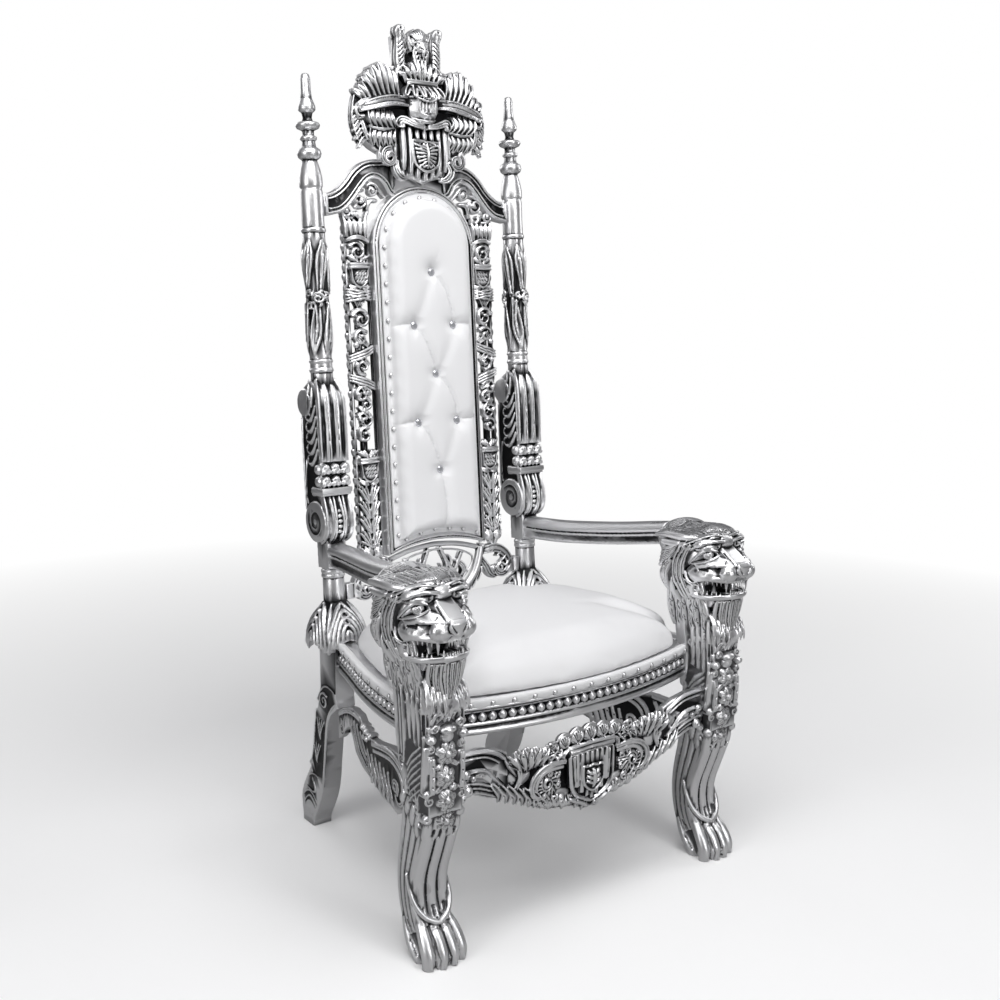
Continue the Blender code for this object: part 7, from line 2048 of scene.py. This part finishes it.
def carve_crest():
    """The crest in one block: back boards, shield, mantling, helmet, horns and bird."""
    work = Carving()
    y = CREST_FACE
    half = mm([(0, 1700), (34, 1700), (70, 1690), (118, 1680), (140, 1640), (148, 1600), (126, 1556),
        (94, 1524), (70, 1490), (0, 1480)])
    work.slab(half + [(-x, z) for x, z in half[-2:0:-1]], -0.024, -0.0125)
    above = [(0, 1.712), (0.06, 1.712), (0.1, 1.704), (0.134, 1.676), (0.156, 1.64), (0.164, 1.6),
        (0.152, 1.556), (0.122, 1.534), (0.09, CREST_REST), (0, CREST_REST)]
    work.slab(above + [(-x, z) for x, z in above[-2:0:-1]], -0.02, 0.003)
    work.slab(mm([(-52, 1700), (52, 1700), (56, 1776), (44, 1786), (34, 1752), (-34, 1752), (-44, 1786),
        (-56, 1776)]), -0.02, 0.003)
    work.slab(mm([(-64, 1585), (64, 1585), (65, 1500), (50, 1478), (20, 1470), (0, 1461), (-20, 1470),
        (-50, 1478), (-65, 1500)]), y + 0.004, -0.0125)
    bars = []
    for k in range(4):
        x = 0.0182 * k
        foot = (1.466, 1.471, 1.479, 1.488)[k]
        for back in (0.0, 0.006):
            bars.append([(x, y - 0.006 + back, 1.59 - 0.0015 * k, 0.0054),
                (x, y - 0.01 + back, 1.545, 0.0058), (x, y - 0.009 + back, foot + 0.016, 0.0056),
                (x * 0.985, y - 0.004 + back, foot + 0.002, 0.0044)])
    work.strands(both_hands(bars), "round")
    inner = mm([(-35, 1553), (35, 1553), (35, 1506), (20, 1493), (0, 1484), (-20, 1493), (-35, 1506)])
    work.slab(inner, y - 0.0165, y)
    work.strands([[(x, y - 0.0165, z, 0.003) for x, z in inner + inner[:1]]], "band")
    bird = [mm([(0, -17.5, 1494, 3), (0, -21, 1506, 6.2), (0, -22.5, 1522, 7.4), (0, -20.5, 1536, 4.4),
        (-1, -20, 1546, 3.4)], ahead=y)]
    for hand in (-1, 1):
        for k in range(6):
            reach = 0.03 - 0.0022 * k
            bird.append([(hand * 0.003, y - 0.0205, 1.534 - 0.005 * k, 0.003),
                (hand * reach * 0.55, y - 0.0215, 1.542 - 0.008 * k, 0.0034),
                (hand * reach, y - 0.0185, 1.544 - 0.0092 * k, 0.0018)])
        bird.append(mm([(2, -19.5, 1500, 2.6), (9, -20, 1494, 2.6), (13, -18.5, 1499, 1.6)], hand, y))
    work.strands(bird, "ridge")
    for hand in (-1, 1):
        work.cut(mm([(20, -20, 1545), (6, -20, 1547)], hand, y), 0.0028, 0.003)
        work.cut([(hand * 0.01, y - 0.02, 1.502)], 0.0026, 0.004)
    dress = []
    for hand in (-1, 1):
        dress.append((mm([(4, -20, 1581, 4.6), (22, -21, 1583, 6), (42, -18, 1590, 7.4), (58, -13, 1597, 8),
            (68, -10, 1590, 6.4), (64, -12, 1580, 5), (52, -15, 1583, 4)], hand, y), "blade"))
        dress.append((mm([(30, -4, 1634, 13), (70, -10, 1636, 14.5), (112, -12, 1627, 14.5),
            (142, -8, 1618, 12.5), (160, -4, 1611, 9)], hand, y), "band"))
        for k in range(4):
            lift = 0.005 * k
            work.cut(wavy([(hand * 0.04, y - 0.022, 1.628 + lift), (hand * 0.08, y - 0.024, 1.627 + lift),
                (hand * 0.12, y - 0.024, 1.618 + lift), (hand * 0.15, y - 0.016, 1.61 + lift)], 0.0008,
                2.0), 0.0018, 0.0014)
        dress.append((mm([(118, -10, 1632, 4.6), (142, -10, 1630, 5.4), (160, -4, 1621, 6),
            (165, 2, 1606, 6), (156, -2, 1593, 5.4), (146, -5, 1598, 4)], hand, y), "ridge"))
        dress.append((mm([(160, 6, 1640, 5.5), (167.5, 4, 1612, 7.5), (165.5, 6, 1580, 8),
            (158, 6, 1556, 7), (150, 6, 1538, 3.6)], hand, y), "blade"))
        dress.append((mm([(150, 4, 1590, 4), (146, -2, 1566, 5.8), (138, 0, 1548, 3)], hand, y), "blade"))
        for k in range(5):
            x = 0.07 + 0.0135 * k
            top = (1.698, 1.71, 1.7125, 1.704, 1.688)[k]
            lean = 0.002 + 0.003 * k
            dress.append(([(hand * x * 0.9, y - 0.004, 1.64, 0.0064), (hand * x, y - 0.009, 1.662, 0.0082),
                (hand * (x + lean * 0.6), y - 0.008, top - 0.014, 0.008),
                (hand * (x + lean), y + 0.0, top, 0.005)], "gouge"))
            dress.append(([(hand * (x + 0.006) * 0.92, y - 0.002, 1.642, 0.003),
                (hand * (x + 0.0065), y - 0.009, 1.664, 0.0034), (hand * (x + 0.006 + lean * 0.6),
                y - 0.007, top - 0.018, 0.0032), (hand * (x + 0.006 + lean), y, top - 0.008, 0.0022)],
                "ridge"))
        for k in range(3):
            x = 0.132 + 0.012 * k
            top = 1.672 - 0.009 * k
            dress.append(([(hand * (x - 0.01), y - 0.002, 1.63, 0.0046),
                (hand * (x - 0.003), y - 0.006, 1.645 - 0.003 * k, 0.0072),
                (hand * (x + 0.006), y, top - 0.008, 0.0064), (hand * (x + 0.01), y + 0.006, top, 0.003)],
                "gouge"))
        for k in range(5):
            x = 0.078 + 0.0132 * k
            dress.append(([(hand * (x + 0.002), y - 0.002, 1.612 + 0.001 * k, 0.0044),
                (hand * (x + 0.006), y - 0.01, 1.6, 0.007), (hand * (x + 0.003), y - 0.01, 1.587, 0.0072),
                (hand * (x - 0.006), y - 0.002, 1.577, 0.0038)], "gouge"))
            dress.append(([(hand * (x - 0.006), y + 0.004, 1.576, 0.0042),
                (hand * (x + 0.001), y - 0.004, 1.562, 0.0068), (hand * (x - 0.001), y - 0.002, 1.549,
                0.0064), (hand * (x - 0.008), y + 0.004, 1.538 - 0.002 * (k % 2), 0.003)], "gouge"))
        dress.append((mm([(68, 0, 1578, 4), (90, -6, 1574, 4.8), (118, -5, 1573, 4.8),
            (136, -1, 1578, 3.6)], hand, y), "ridge"))
        for k in range(5):
            z = 1.612 - 0.0175 * k
            x = 0.1665 - 0.0007 * k * k
            dress.append(([(hand * (x - 0.012), y + 0.004, z + 0.012, 0.004),
                (hand * x, y + 0.001, z, 0.0062), (hand * (x + 0.006), y + 0.004, z - 0.012, 0.003)],
                "blade"))
            work.cut([(hand * (x - 0.006), y - 0.008, z - 0.006)], 0.0034, 0.006)
        for k in range(4):
            z = 1.57 - 0.013 * k
            dress.append(([(hand * 0.068, y + 0.002, z + 0.014, 0.004),
                (hand * (0.071 + 0.001 * k), y - 0.003, z, 0.0046),
                (hand * 0.069, y + 0.002, z - 0.014, 0.003)], "ridge"))
        dress.append((spiral(hand * 0.088, y - 0.004, 1.514, 0.02, 1.35, 1.2, 0.007, hand=-hand,
            lift=0.005), "blade"))
        dress.append((mm([(104, 2, 1536, 4), (112, -1, 1524, 6), (110, 0, 1508, 4)], hand, y), "blade"))
        dress.append((mm([(66, 2, 1512, 5), (75, -2, 1498, 8.2), (70, -4, 1482, 9), (55, -2, 1470, 7.4),
            (44, -2, 1474, 4)], hand, y), "blade"))
        for k in range(3):
            dress.append(([(hand * (0.008 + 0.014 * k), y - 0.012, 1.666, 0.006),
                (hand * (0.01 + 0.018 * k), y - 0.03 + 0.006 * k, 1.656, 0.0088),
                (hand * (0.01 + 0.0195 * k), y - 0.036 + 0.007 * k, 1.64 + 0.002 * k, 0.004)], "gouge"))
        for k in range(4):
            x = 0.006 + 0.0135 * k
            top = (1.727, 1.72, 1.711, 1.7)[k]
            dress.append(([(hand * x * 0.8, y - 0.006, 1.678, 0.0052), (hand * x, y - 0.014, 1.693, 0.0066),
                (hand * (x * 1.1 + 0.002), y - 0.012, top - 0.008, 0.0056),
                (hand * (x * 1.16 + 0.003), y - 0.007, top, 0.0022)], "ridge"))
    for k in range(3):
        dress.append(([(0, y - 0.01 - 0.002 * k, 1.686 + 0.01 * k, 0.0055),
            (0, y - 0.016, 1.705 + 0.006 * k, 0.005), (0, y - 0.01, 1.722 + 0.004 * k, 0.0024)], "ridge"))
    walls = []
    for path, _ in dress:
        high = min(point[2] for point in path) > 1.53
        outer = max(abs(point[0]) for point in path) > 0.15
        for step in (0.008, 0.015, 0.023, 0.03)[:2 if outer else 4] if high else (0.008,):
            walls.append([(x, a + step, z, thick * 0.96) for x, a, z, thick in path])
    work.strands(walls, "round")
    for shape in ("ridge", "gouge", "blade", "band"):
        work.strands([path for path, kind in dress if kind == shape], shape)
    work.block((-0.04, y - 0.014, 1.6665), (0.04, y + 0.004, 1.6825))
    for z in (1.6685, 1.68):
        work.strands([[(-0.0405, y - 0.0135, z, 0.0026), (0.0405, y - 0.0135, z, 0.0026)]], "ridge")
    work.ball((0, y + 0.002, 1.64), (0.038, 0.026, 0.034), detail=4)
    work.hull([(x, a, b) for x in (-0.037, 0.037) for a, b in ((y - 0.014, 1.648), (y - 0.012, 1.616))]
        + [(x, y - 0.012, 1.598) for x in (-0.026, 0.026)] + [(x, y - 0.029, b) for x,
        b in ((-0.024, 1.646), (0.024, 1.646), (-0.02, 1.61), (0.02, 1.61))]
        + mm([(0, -34, 1640), (0, -31, 1600)], ahead=y) + [(x, y, b) for x,
        b in ((-0.04, 1.648), (0.04, 1.648), (-0.032, 1.596), (0.032, 1.596))])
    work.strands([mm([(-40, -10, 1646, 3), (-22, -30, 1640, 3.4), (0, -35, 1632, 3.4), (22, -30, 1640, 3.4),
        (40, -10, 1646, 3)], ahead=y), mm([(-31, -6, 1600, 4.6), (-14, -22, 1594, 5.2), (0, -26, 1592, 5.2),
        (14, -22, 1594, 5.2), (31, -6, 1600, 4.6)], ahead=y), mm([(-28, -4, 1610, 3.6),
        (-13, -28, 1606, 3.6), (0, -32, 1604, 3.6), (13, -28, 1606, 3.6), (28, -4, 1610, 3.6)], ahead=y)],
        "ridge")
    for k in range(5):
        x = -0.018 + 0.009 * k
        work.cut([(x, y - 0.036, 1.63), (x, y - 0.034, 1.612)], 0.0016, 0.0014)
    for hand in (-1, 1):
        work.cut(mm([(6, -36, 1641), (22, -26, 1644)], hand, y), 0.0022, 0.006)
        for k in range(4):
            x, z = hand * (0.058 - 0.005 * k), 1.69 + 0.007 * k
            work.strands([[(x, y, z - 0.008, 0.0046), (x + hand * 0.004, y - 0.006, z + 0.004, 0.0054),
                (x, y, z + 0.016, 0.0026)]], "ridge")
        horn = mm([(44, -22, 1700), (47, -24, 1722), (47.5, -26, 1745), (46, -27, 1765), (47, -28, 1779)],
            hand)
        for back in (0.0, 0.011):
            work.strands([[(x, a + back, z, wide) for (x, a, z), wide in zip(horn,
                (0.013, 0.0122, 0.0116, 0.011, 0.0112))]], "round")
            work.strands([[(hand * 0.047, -0.028 + back, 1.772, 0.011),
                (hand * 0.048, -0.0285 + back, 1.781, 0.0142), (hand * 0.0485, -0.029 + back, 1.788,
                0.0142), (hand * 0.0485, -0.0292 + back, 1.7935, 0.0105)]], "round")
        work.ball((hand * 0.0485, -0.034, 1.788), (0.0125, 0.011, 0.0092))
        work.cut([(hand * 0.0485, -0.046, 1.789)], 0.0065, 0.006)
        for k in range(6):
            z = 1.712 + 0.0092 * k
            work.strands([[(hand * 0.036, -0.03, z + 0.006, 0.0022),
                (hand * 0.044, -0.0375, z + 0.001, 0.0032), (hand * 0.0545, -0.034, z - 0.006, 0.0022)]],
                "ridge")
            work.cut([(hand * 0.037, -0.036, z + 0.0105), (hand * 0.046, -0.04, z + 0.0045),
                (hand * 0.055, -0.036, z - 0.002)], 0.002, 0.003)
    work.ball((0, -0.028, 1.722), (0.0165, 0.013, 0.03))
    work.block((-0.04, -0.014, 1.7), (0.04, -0.003, 1.748))
    work.ball((0, -0.028, 1.765), (0.0235, 0.024, 0.0225), detail=4)
    work.ball((0, -0.044, 1.752), (0.015, 0.013, 0.015))
    work.strands([[(hand * 0.008, a, 1.79, 0.004), (hand * 0.02, a, 1.782, 0.005),
        (hand * 0.0235, a, 1.764, 0.005), (hand * 0.018, a, 1.744, 0.004)] for hand in (-1, 1)
        for a in (-0.03, -0.022, -0.014)], "round")
    work.hull(mm([(-6.5, -50, 1760), (6.5, -50, 1760), (-5, -58, 1748), (5, -58, 1748), (0, -60, 1738),
        (-3, -50, 1732), (3, -50, 1732), (0, -44, 1730), (0, -52, 1764)]))
    comb = []
    for k in range(5):
        x = 0.005 * k
        comb.append([(x * 0.7, -0.05, 1.768 - 0.001 * k, 0.0026), (x, -0.046, 1.782 - 0.0016 * k, 0.0038),
            (x * 1.15, -0.034, 1.7925 - 0.003 * k, 0.0036), (x * 1.1, -0.014, 1.7925 - 0.0034 * k, 0.0026)])
    comb.append(mm([(4, -54, 1759, 2.6), (11, -50, 1762, 3.4), (18, -40, 1760, 2.8)]))
    for k in range(4):
        comb.append([(0.014 - 0.002 * k, -0.042, 1.752 - 0.009 * k, 0.0036),
            (0.018 - 0.002 * k, -0.04, 1.742 - 0.009 * k, 0.0046), (0.017 - 0.002 * k, -0.036,
            1.73 - 0.009 * k, 0.0024)])
        comb.append([(0.004, -0.044 + 0.002 * k, 1.742 - 0.009 * k, 0.0034),
            (0.006, -0.0445 + 0.002 * k, 1.732 - 0.009 * k, 0.0042),
            (0.004, -0.038 + 0.002 * k, 1.722 - 0.009 * k, 0.0022)])
    work.strands(both_hands(comb), "ridge")
    for hand in (-1, 1):
        work.cut([(hand * 0.0105, -0.051, 1.757)], 0.0026, 0.0026)
        work.cut(mm([(3, -58, 1744), (10, -52, 1747)], hand), 0.0018, 0.0022)
    return work.fuse("crest_carving_carved", 0.0013, 98000, place=BACK)


stands_for(carve_crest(), "crest_carving")


# Fretworks: pierced boards between the arch and the posts, sawn and carved as a run of scrolls,
# lily leaves, two small shields with crowns and a fall of husks, with the leaf spandrel at the top.
FRET_X = 0.168


def carve_fretwork():
    """The right-hand strip on its spine, carved from the spandrel at its top down to its foot."""
    work = Carving()
    y = -0.004
    paths = {"ridge": [], "gouge": [], "blade": [], "band": [], "round": []}
    spine = [mm([(0, 4, 1400, 8), (2, 4, 1300, 8.5), (-2, 4, 1200, 8.5), (2, 4, 1100, 8.5),
        (-1, 4, 1000, 8.5), (1, 4, 900, 8.5), (0, 4, 800, 9), (0, 4, 636, 9)])]
    side = [mm([(-30.5, 4, 1385, 4), (-31.5, 4, 1200, 4), (-31.5, 4, 900, 4), (-31.5, 4, 636, 4)])]
    work.strands(spine + side, "round")
    for k in range(5):
        x = -0.024 + 0.012 * k
        paths["ridge"].append([(x * 0.94, y - 0.004, 1.346, 0.0042), (x, y - 0.008, 1.362, 0.005),
            (x * 1.04, y - 0.006, 1.377, 0.0044), (x * 1.1 + 0.002, y - 0.001,
            1.386 + 0.004 * math.sin(k * 2.1), 0.0024)])
    work.slab(mm([(-26, 1345), (22, 1345), (24, 1378), (-27, 1378)]), -0.008, 0.01)
    paths["band"].append(mm([(-31, -4, 1333, 3.6), (-22, -9, 1340, 4.8), (-4, -10, 1345, 5.2),
        (13, -9, 1343, 5), (24, -4, 1337, 3.6)], ahead=y))
    scrolls = ((0.0, 1.314, 0.0215, 1.35, 0.5, 0.0062, 1), (-0.002, 1.168, 0.0235, 1.3, 0.3, 0.0062, 1),
        (0.0, 1.128, 0.019, 1.25, 2.6, 0.0056, -1), (-0.002, 1.064, 0.018, 1.2, 4.4, 0.0052, 1),
        (0.004, 1.004, 0.02, 1.2, 2.8, 0.0056, -1), (-0.004, 0.982, 0.016, 1.2, 0.8, 0.005, 1),
        (0.0, 0.947, 0.02, 1.3, 0.5, 0.0058, 1), (0.002, 0.915, 0.0185, 1.25, 2.2, 0.0054, -1))
    for x, z, size, turns, start, width, hand in scrolls:
        paths["ridge"].append(spiral(x, y - 0.004, z, size, turns, start, width, hand=hand, lift=0.004))
        paths["blade"].append([(x - size * 0.25, y, z - size * 0.42, 0.003),
            (x + size * 0.05, y - 0.005, z - size * 0.05, 0.0058), (x + size * 0.42, y, z + size * 0.35,
            0.0028)])
        work.cut([(x + size * 0.55, y - 0.01, z - size * 0.4)], 0.0034, 0.008)
        work.cut([(x - size * 0.55, y - 0.01, z + size * 0.42)], 0.0034, 0.008)
    for low in (1.238, 0.812):
        top = low + 0.05
        work.slab([(-0.0235, top - 0.01), (0.0165, top - 0.01), (0.0165, low + 0.01), (-0.003, low - 0.004),
            (-0.0235, low + 0.01)], -0.012, 0.01)
        for z in (top, top - 0.008):
            paths["ridge"].append([(-0.027, y - 0.009, z, 0.0034), (0.021, y - 0.009, z - 0.001, 0.0034)])
        paths["ridge"].append([(-0.0235, -0.012, top - 0.012, 0.0022),
            (-0.0235, -0.012, low + 0.011, 0.0022), (-0.003, -0.012, low - 0.003, 0.0022),
            (0.0165, -0.012, low + 0.011, 0.0022), (0.0165, -0.012, top - 0.012, 0.0022)])
        for k in range(4):
            for j in range(3):
                x, z = -0.0175 + 0.0072 * k + 0.0025 * (j % 2), top - 0.018 - 0.0085 * j
                work.cut([(x - 0.0016, -0.013, z + 0.0012), (x + 0.0016, -0.013, z - 0.0012)], 0.0022,
                    0.0024)
        for hand in (-1, 1):
            for k in range(3):
                paths["ridge"].append([(hand * 0.002 - 0.003, y - 0.004, top + 0.003, 0.0036),
                    (hand * (0.006 + 0.006 * k) - 0.003, y - 0.008, top + 0.012, 0.0044),
                    (hand * (0.01 + 0.009 * k) - 0.003, y - 0.002, top + 0.02 - 0.001 * k, 0.0022)])
            paths["blade"].append([(-0.003 + hand * 0.003, y - 0.004, low - 0.004, 0.005),
                (-0.003 + hand * 0.015, y - 0.007, low - 0.006, 0.0068),
                (-0.003 + hand * 0.024, y - 0.002, low + 0.004, 0.003)])
    for z, tilt in ((1.218, 0.5), (1.092, 1.0), (1.032, -1.0), (1.222, -0.5)):
        for k in range(3):
            drop = 0.0065 * (k - 1)
            paths["ridge"].append([(-0.031, y - 0.001, z + drop + 0.012 * tilt, 0.0026),
                (-0.01, y - 0.008, z + drop + 0.002 * tilt, 0.0036),
                (0.012, y - 0.007, z + drop - 0.004 * tilt, 0.0034),
                (0.03, y - 0.001, z + drop - 0.01 * tilt, 0.0024)])
    for hand in (-1, 1):
        paths["blade"].append(mm([(1, -2, 1196, 5), (10, -8, 1212, 7), (24, -3, 1232, 3)], hand, y))
    for z in (1.124, 1.082, 1.016, 0.964):
        paths["blade"].append([(-0.018, y - 0.002, z - 0.014, 0.0042), (-0.002, y - 0.009, z, 0.0086),
            (0.014, y - 0.003, z + 0.014, 0.0036)])
        work.cut([(-0.01, y - 0.014, z - 0.006), (0.004, y - 0.016, z + 0.005)], 0.0016, 0.0016)
        work.ball((0.014, y - 0.005, z - 0.012), (0.0068, 0.006, 0.006))
    for k in range(5):
        z = 0.786 - 0.0335 * k
        for hand in (-1, 1):
            for j in range(3):
                spread = (1.0, 0.68, 0.36)[j]
                paths["ridge"].append([(hand * 0.002 - 0.001, y - 0.004, z - 0.024 + 0.003 * j, 0.0036),
                    (hand * 0.0145 * spread - 0.001, y - 0.008, z - 0.004 + 0.003 * j, 0.0046),
                    (hand * 0.0265 * spread - 0.001, y - 0.002, z + 0.012 + 0.004 * j, 0.0026)])
    for hand in (-1, 1):
        work.ball((hand * 0.0125 - 0.002, y - 0.002, 0.652), (0.0135, 0.01, 0.013))
        paths["ridge"].append(mm([(2, -7, 668, 3), (14, -9, 672, 3.6), (26, -3, 680, 2.4)], hand, y))
    for k in range(34):
        z = 1.365 - 0.0212 * k
        paths["round"].append([(0.0235 + 0.002 * (k % 3), 0.006, z + 0.007, 0.004),
            (0.0285 + 0.0015 * (k % 2), 0.005, z, 0.0052), (0.024, 0.006, z - 0.008, 0.0038)])
    paths["ridge"] += [spiral(-0.014, y - 0.002, 1.423, 0.0175, 1.45, 2.6, 0.0052, hand=1, lift=0.004),
        spiral(0.018, y - 0.002, 1.4, 0.0125, 1.3, 0.2, 0.0042, hand=-1, lift=0.003),
        spiral(-0.046, y - 0.002, 1.446, 0.0155, 1.4, 0.6, 0.0046, hand=1, lift=0.004),
        mm([(-80, 0, 1432, 3.4), (-67, -3, 1446, 5), (-54, -4, 1462, 4.8), (-38, -2, 1464, 3.4)], ahead=y),
        mm([(-60, 0, 1424, 4), (-44, -4, 1428, 5.6), (-32, -3, 1412, 5), (-34, 0, 1394, 3.6)], ahead=y),
        mm([(-28, 0, 1446, 3.6), (-6, -4, 1442, 5), (12, -3, 1424, 4.4), (26, 0, 1404, 3)], ahead=y),
        mm([(-10, 0, 1400, 3.4), (0, -4, 1392, 4.4), (-16, -3, 1384, 3.4)], ahead=y),
        mm([(4, 0, 1386, 3.4), (18, -4, 1384, 4.6), (30, -1, 1392, 3)], ahead=y),
        mm([(-36, 0, 1404, 4), (-26, -3, 1394, 4.6), (-28, 0, 1380, 4)], ahead=y)]
    for x, z, size in ((-0.02, 1.424, 0.0062), (-0.048, 1.446, 0.0056), (0.019, 1.4, 0.0048),
            (-0.002, 1.408, 0.005)):
        work.ball((x, y - 0.004, z), (size, size * 0.9, size))
    walls = [[(x, a + step, z, thick * 1.05) for x, a, z, thick in path]
        for shape in ("ridge", "blade", "band") for path in paths[shape] for step in (0.0065, 0.0125)]
    work.strands(walls, "round")
    work.slab(mm([(20, 645), (26.2, 645), (26.2, 1365), (20, 1365)]), -0.001, 0.013)
    for shape, lines in paths.items():
        if lines:
            work.strands(lines, shape)
    return work.fuse("fretwork_right_carved", 0.0012, 44000, place=BACK
        @ Matrix.Translation((FRET_X, 0.001, 0)))


fret_right = carve_fretwork()
fret_left = other_hand(fret_right, "fretwork_left_carved")
stands_for(fret_right, "fretwork_right")
stands_for(fret_left, "fretwork_left")


# Lower back rail: pierced leaf work under the arch, with a leafy scroll out to each post and lily bars
# across the opening; it closes the back above the seat and stands on the rear rail.
def carve_lower_rail():
    """The whole rail: bars and leaf work under the arch, and a scroll out to each post."""
    work = Carving()
    y = -0.002
    foot = FRAME_BOTTOM - 0.008
    rails = [[(0.0, y + 0.002, foot + 0.0175, 0.0062), (0.045, y + 0.002, foot + 0.0148, 0.0062),
        (0.09, y + 0.002, foot + 0.006, 0.0062), (0.131, y + 0.002, foot - 0.0075, 0.0062)],
        [(0.0, y, foot + 0.0045, 0.0026), (0.045, y, foot + 0.002, 0.0026),
        (0.082, y - 0.002, foot - 0.0085, 0.0026), (0.11, y - 0.002, foot - 0.025, 0.0026),
        (0.098, y - 0.001, foot - 0.052, 0.0026), (0.07, y - 0.001, foot - 0.078, 0.0026)],
        mm([(130, 0, 628, 10.5), (124, -1, 600, 10), (108, -1, 565, 9.8), (80, 0, 535, 9.8),
        (50, 0, 512, 8.8)], ahead=y), mm([(0, 0, 507, 12.5), (40, 0, 511, 11.8), (80, 0, 521, 9.6)],
        ahead=y)]
    work.strands(both_hands(rails), "round")
    leaves = {"ridge": [], "gouge": [], "blade": [], "band": []}
    for hand in (-1, 1):
        leaves["blade"].append(mm([(126, -4, 616, 8), (148, -6, 620, 10.5), (176, -6, 621, 11),
            (200, -5, 606, 10.5), (214, -4, 584, 10), (208, -4, 562, 9), (190, -4, 552, 7.8),
            (172, -3, 560, 6), (170, -3, 574, 4.8)], hand, y))
        for k in range(5):
            part = k / 4
            x, z = 0.166 + 0.044 * math.sin(part * 1.5), 0.622 - 0.052 * part
            leaves["ridge"].append([(hand * (x - 0.01), y - 0.007, z - 0.01, 0.0022),
                (hand * x, y - 0.011, z - 0.002, 0.0034), (hand * (x + 0.006), y - 0.006, z + 0.006,
                0.0018)])
        leaves["ridge"].append(spiral(hand * 0.186, y - 0.004, 0.571, 0.012, 1.2, 0.3, 0.005, hand=hand,
            lift=0.003))
        leaves["blade"].append(mm([(128, -2, 600, 7), (143, -4, 582, 9), (152, -3, 562, 9),
            (166, -2, 550, 6.6), (176, 0, 553, 4)], hand, y))
        leaves["ridge"].append(spiral(hand * 0.137, y - 0.004, 0.627, 0.01, 1.2, 2.2, 0.004, hand=hand,
            lift=0.003))
        for k in range(4):
            x, z = 0.118 - 0.016 * k, 0.566 - 0.0145 * k
            leaves["gouge"].append([(hand * (x + 0.01), y - 0.002, z + 0.014, 0.0044),
                (hand * (x + 0.006), y - 0.006, z - 0.002, 0.0066),
                (hand * (x - 0.004), y - 0.002, z - 0.018, 0.0044)])
        leaves["band"].append(mm([(10, 0, 514, 4.8), (34, -2, 552, 4.8), (62, -2, 594, 4.6),
            (78, 0, 624, 4.2)], hand, y))
        leaves["band"].append(mm([(80, 0, 548, 4.2), (56, -2, 574, 4.6), (30, -2, 606, 4.4),
            (16, 0, 640, 4.4)], hand, y))
        leaves["blade"].append(mm([(60, 0, 604, 4), (78, -3, 592, 8), (82, -2, 572, 6), (68, 0, 560, 3.4)],
            hand, y))
        for k in range(3):
            leaves["ridge"].append([(hand * 0.018 + hand * 0.012 * k, y - 0.001, 0.574 + 0.012 * k, 0.0028),
                (hand * 0.022 + hand * 0.012 * k, y - 0.004, 0.59 + 0.01 * k, 0.004),
                (hand * 0.014 + hand * 0.012 * k, y - 0.001, 0.602 + 0.009 * k, 0.0024)])
        work.ball((hand * 0.162, y - 0.003, 0.572), (0.008, 0.008, 0.008))
        work.block((min(hand * 0.204, hand * 0.2395), -0.01, 0.556),
            (max(hand * 0.204, hand * 0.2395), 0.012, 0.5905))
        work.block((min(hand * 0.03, hand * 0.046), -0.012, RAIL_TOP + 0.02),
            (max(hand * 0.03, hand * 0.046), 0.012, 0.52))
        work.cut(mm([(222, -12, 560), (222, -12, 588)], hand), 0.0024, 0.0022)
    walls = [[(x, a + step, z, thick * 1.05) for x, a, z, thick in path] for lines in leaves.values()
        for path in lines for step in (0.0065, 0.0125)]
    work.strands(walls, "round")
    for shape, lines in leaves.items():
        if lines:
            work.strands(lines, shape)
    return work.fuse("lower_back_rail_carved", 0.0013, 36000, place=BACK)


stands_for(carve_lower_rail(), "lower_back_rail")


# The strand sections go; the solids from model.glb stay, hidden.
for tool in SECTIONS.values():
    bpy.data.objects.remove(tool)
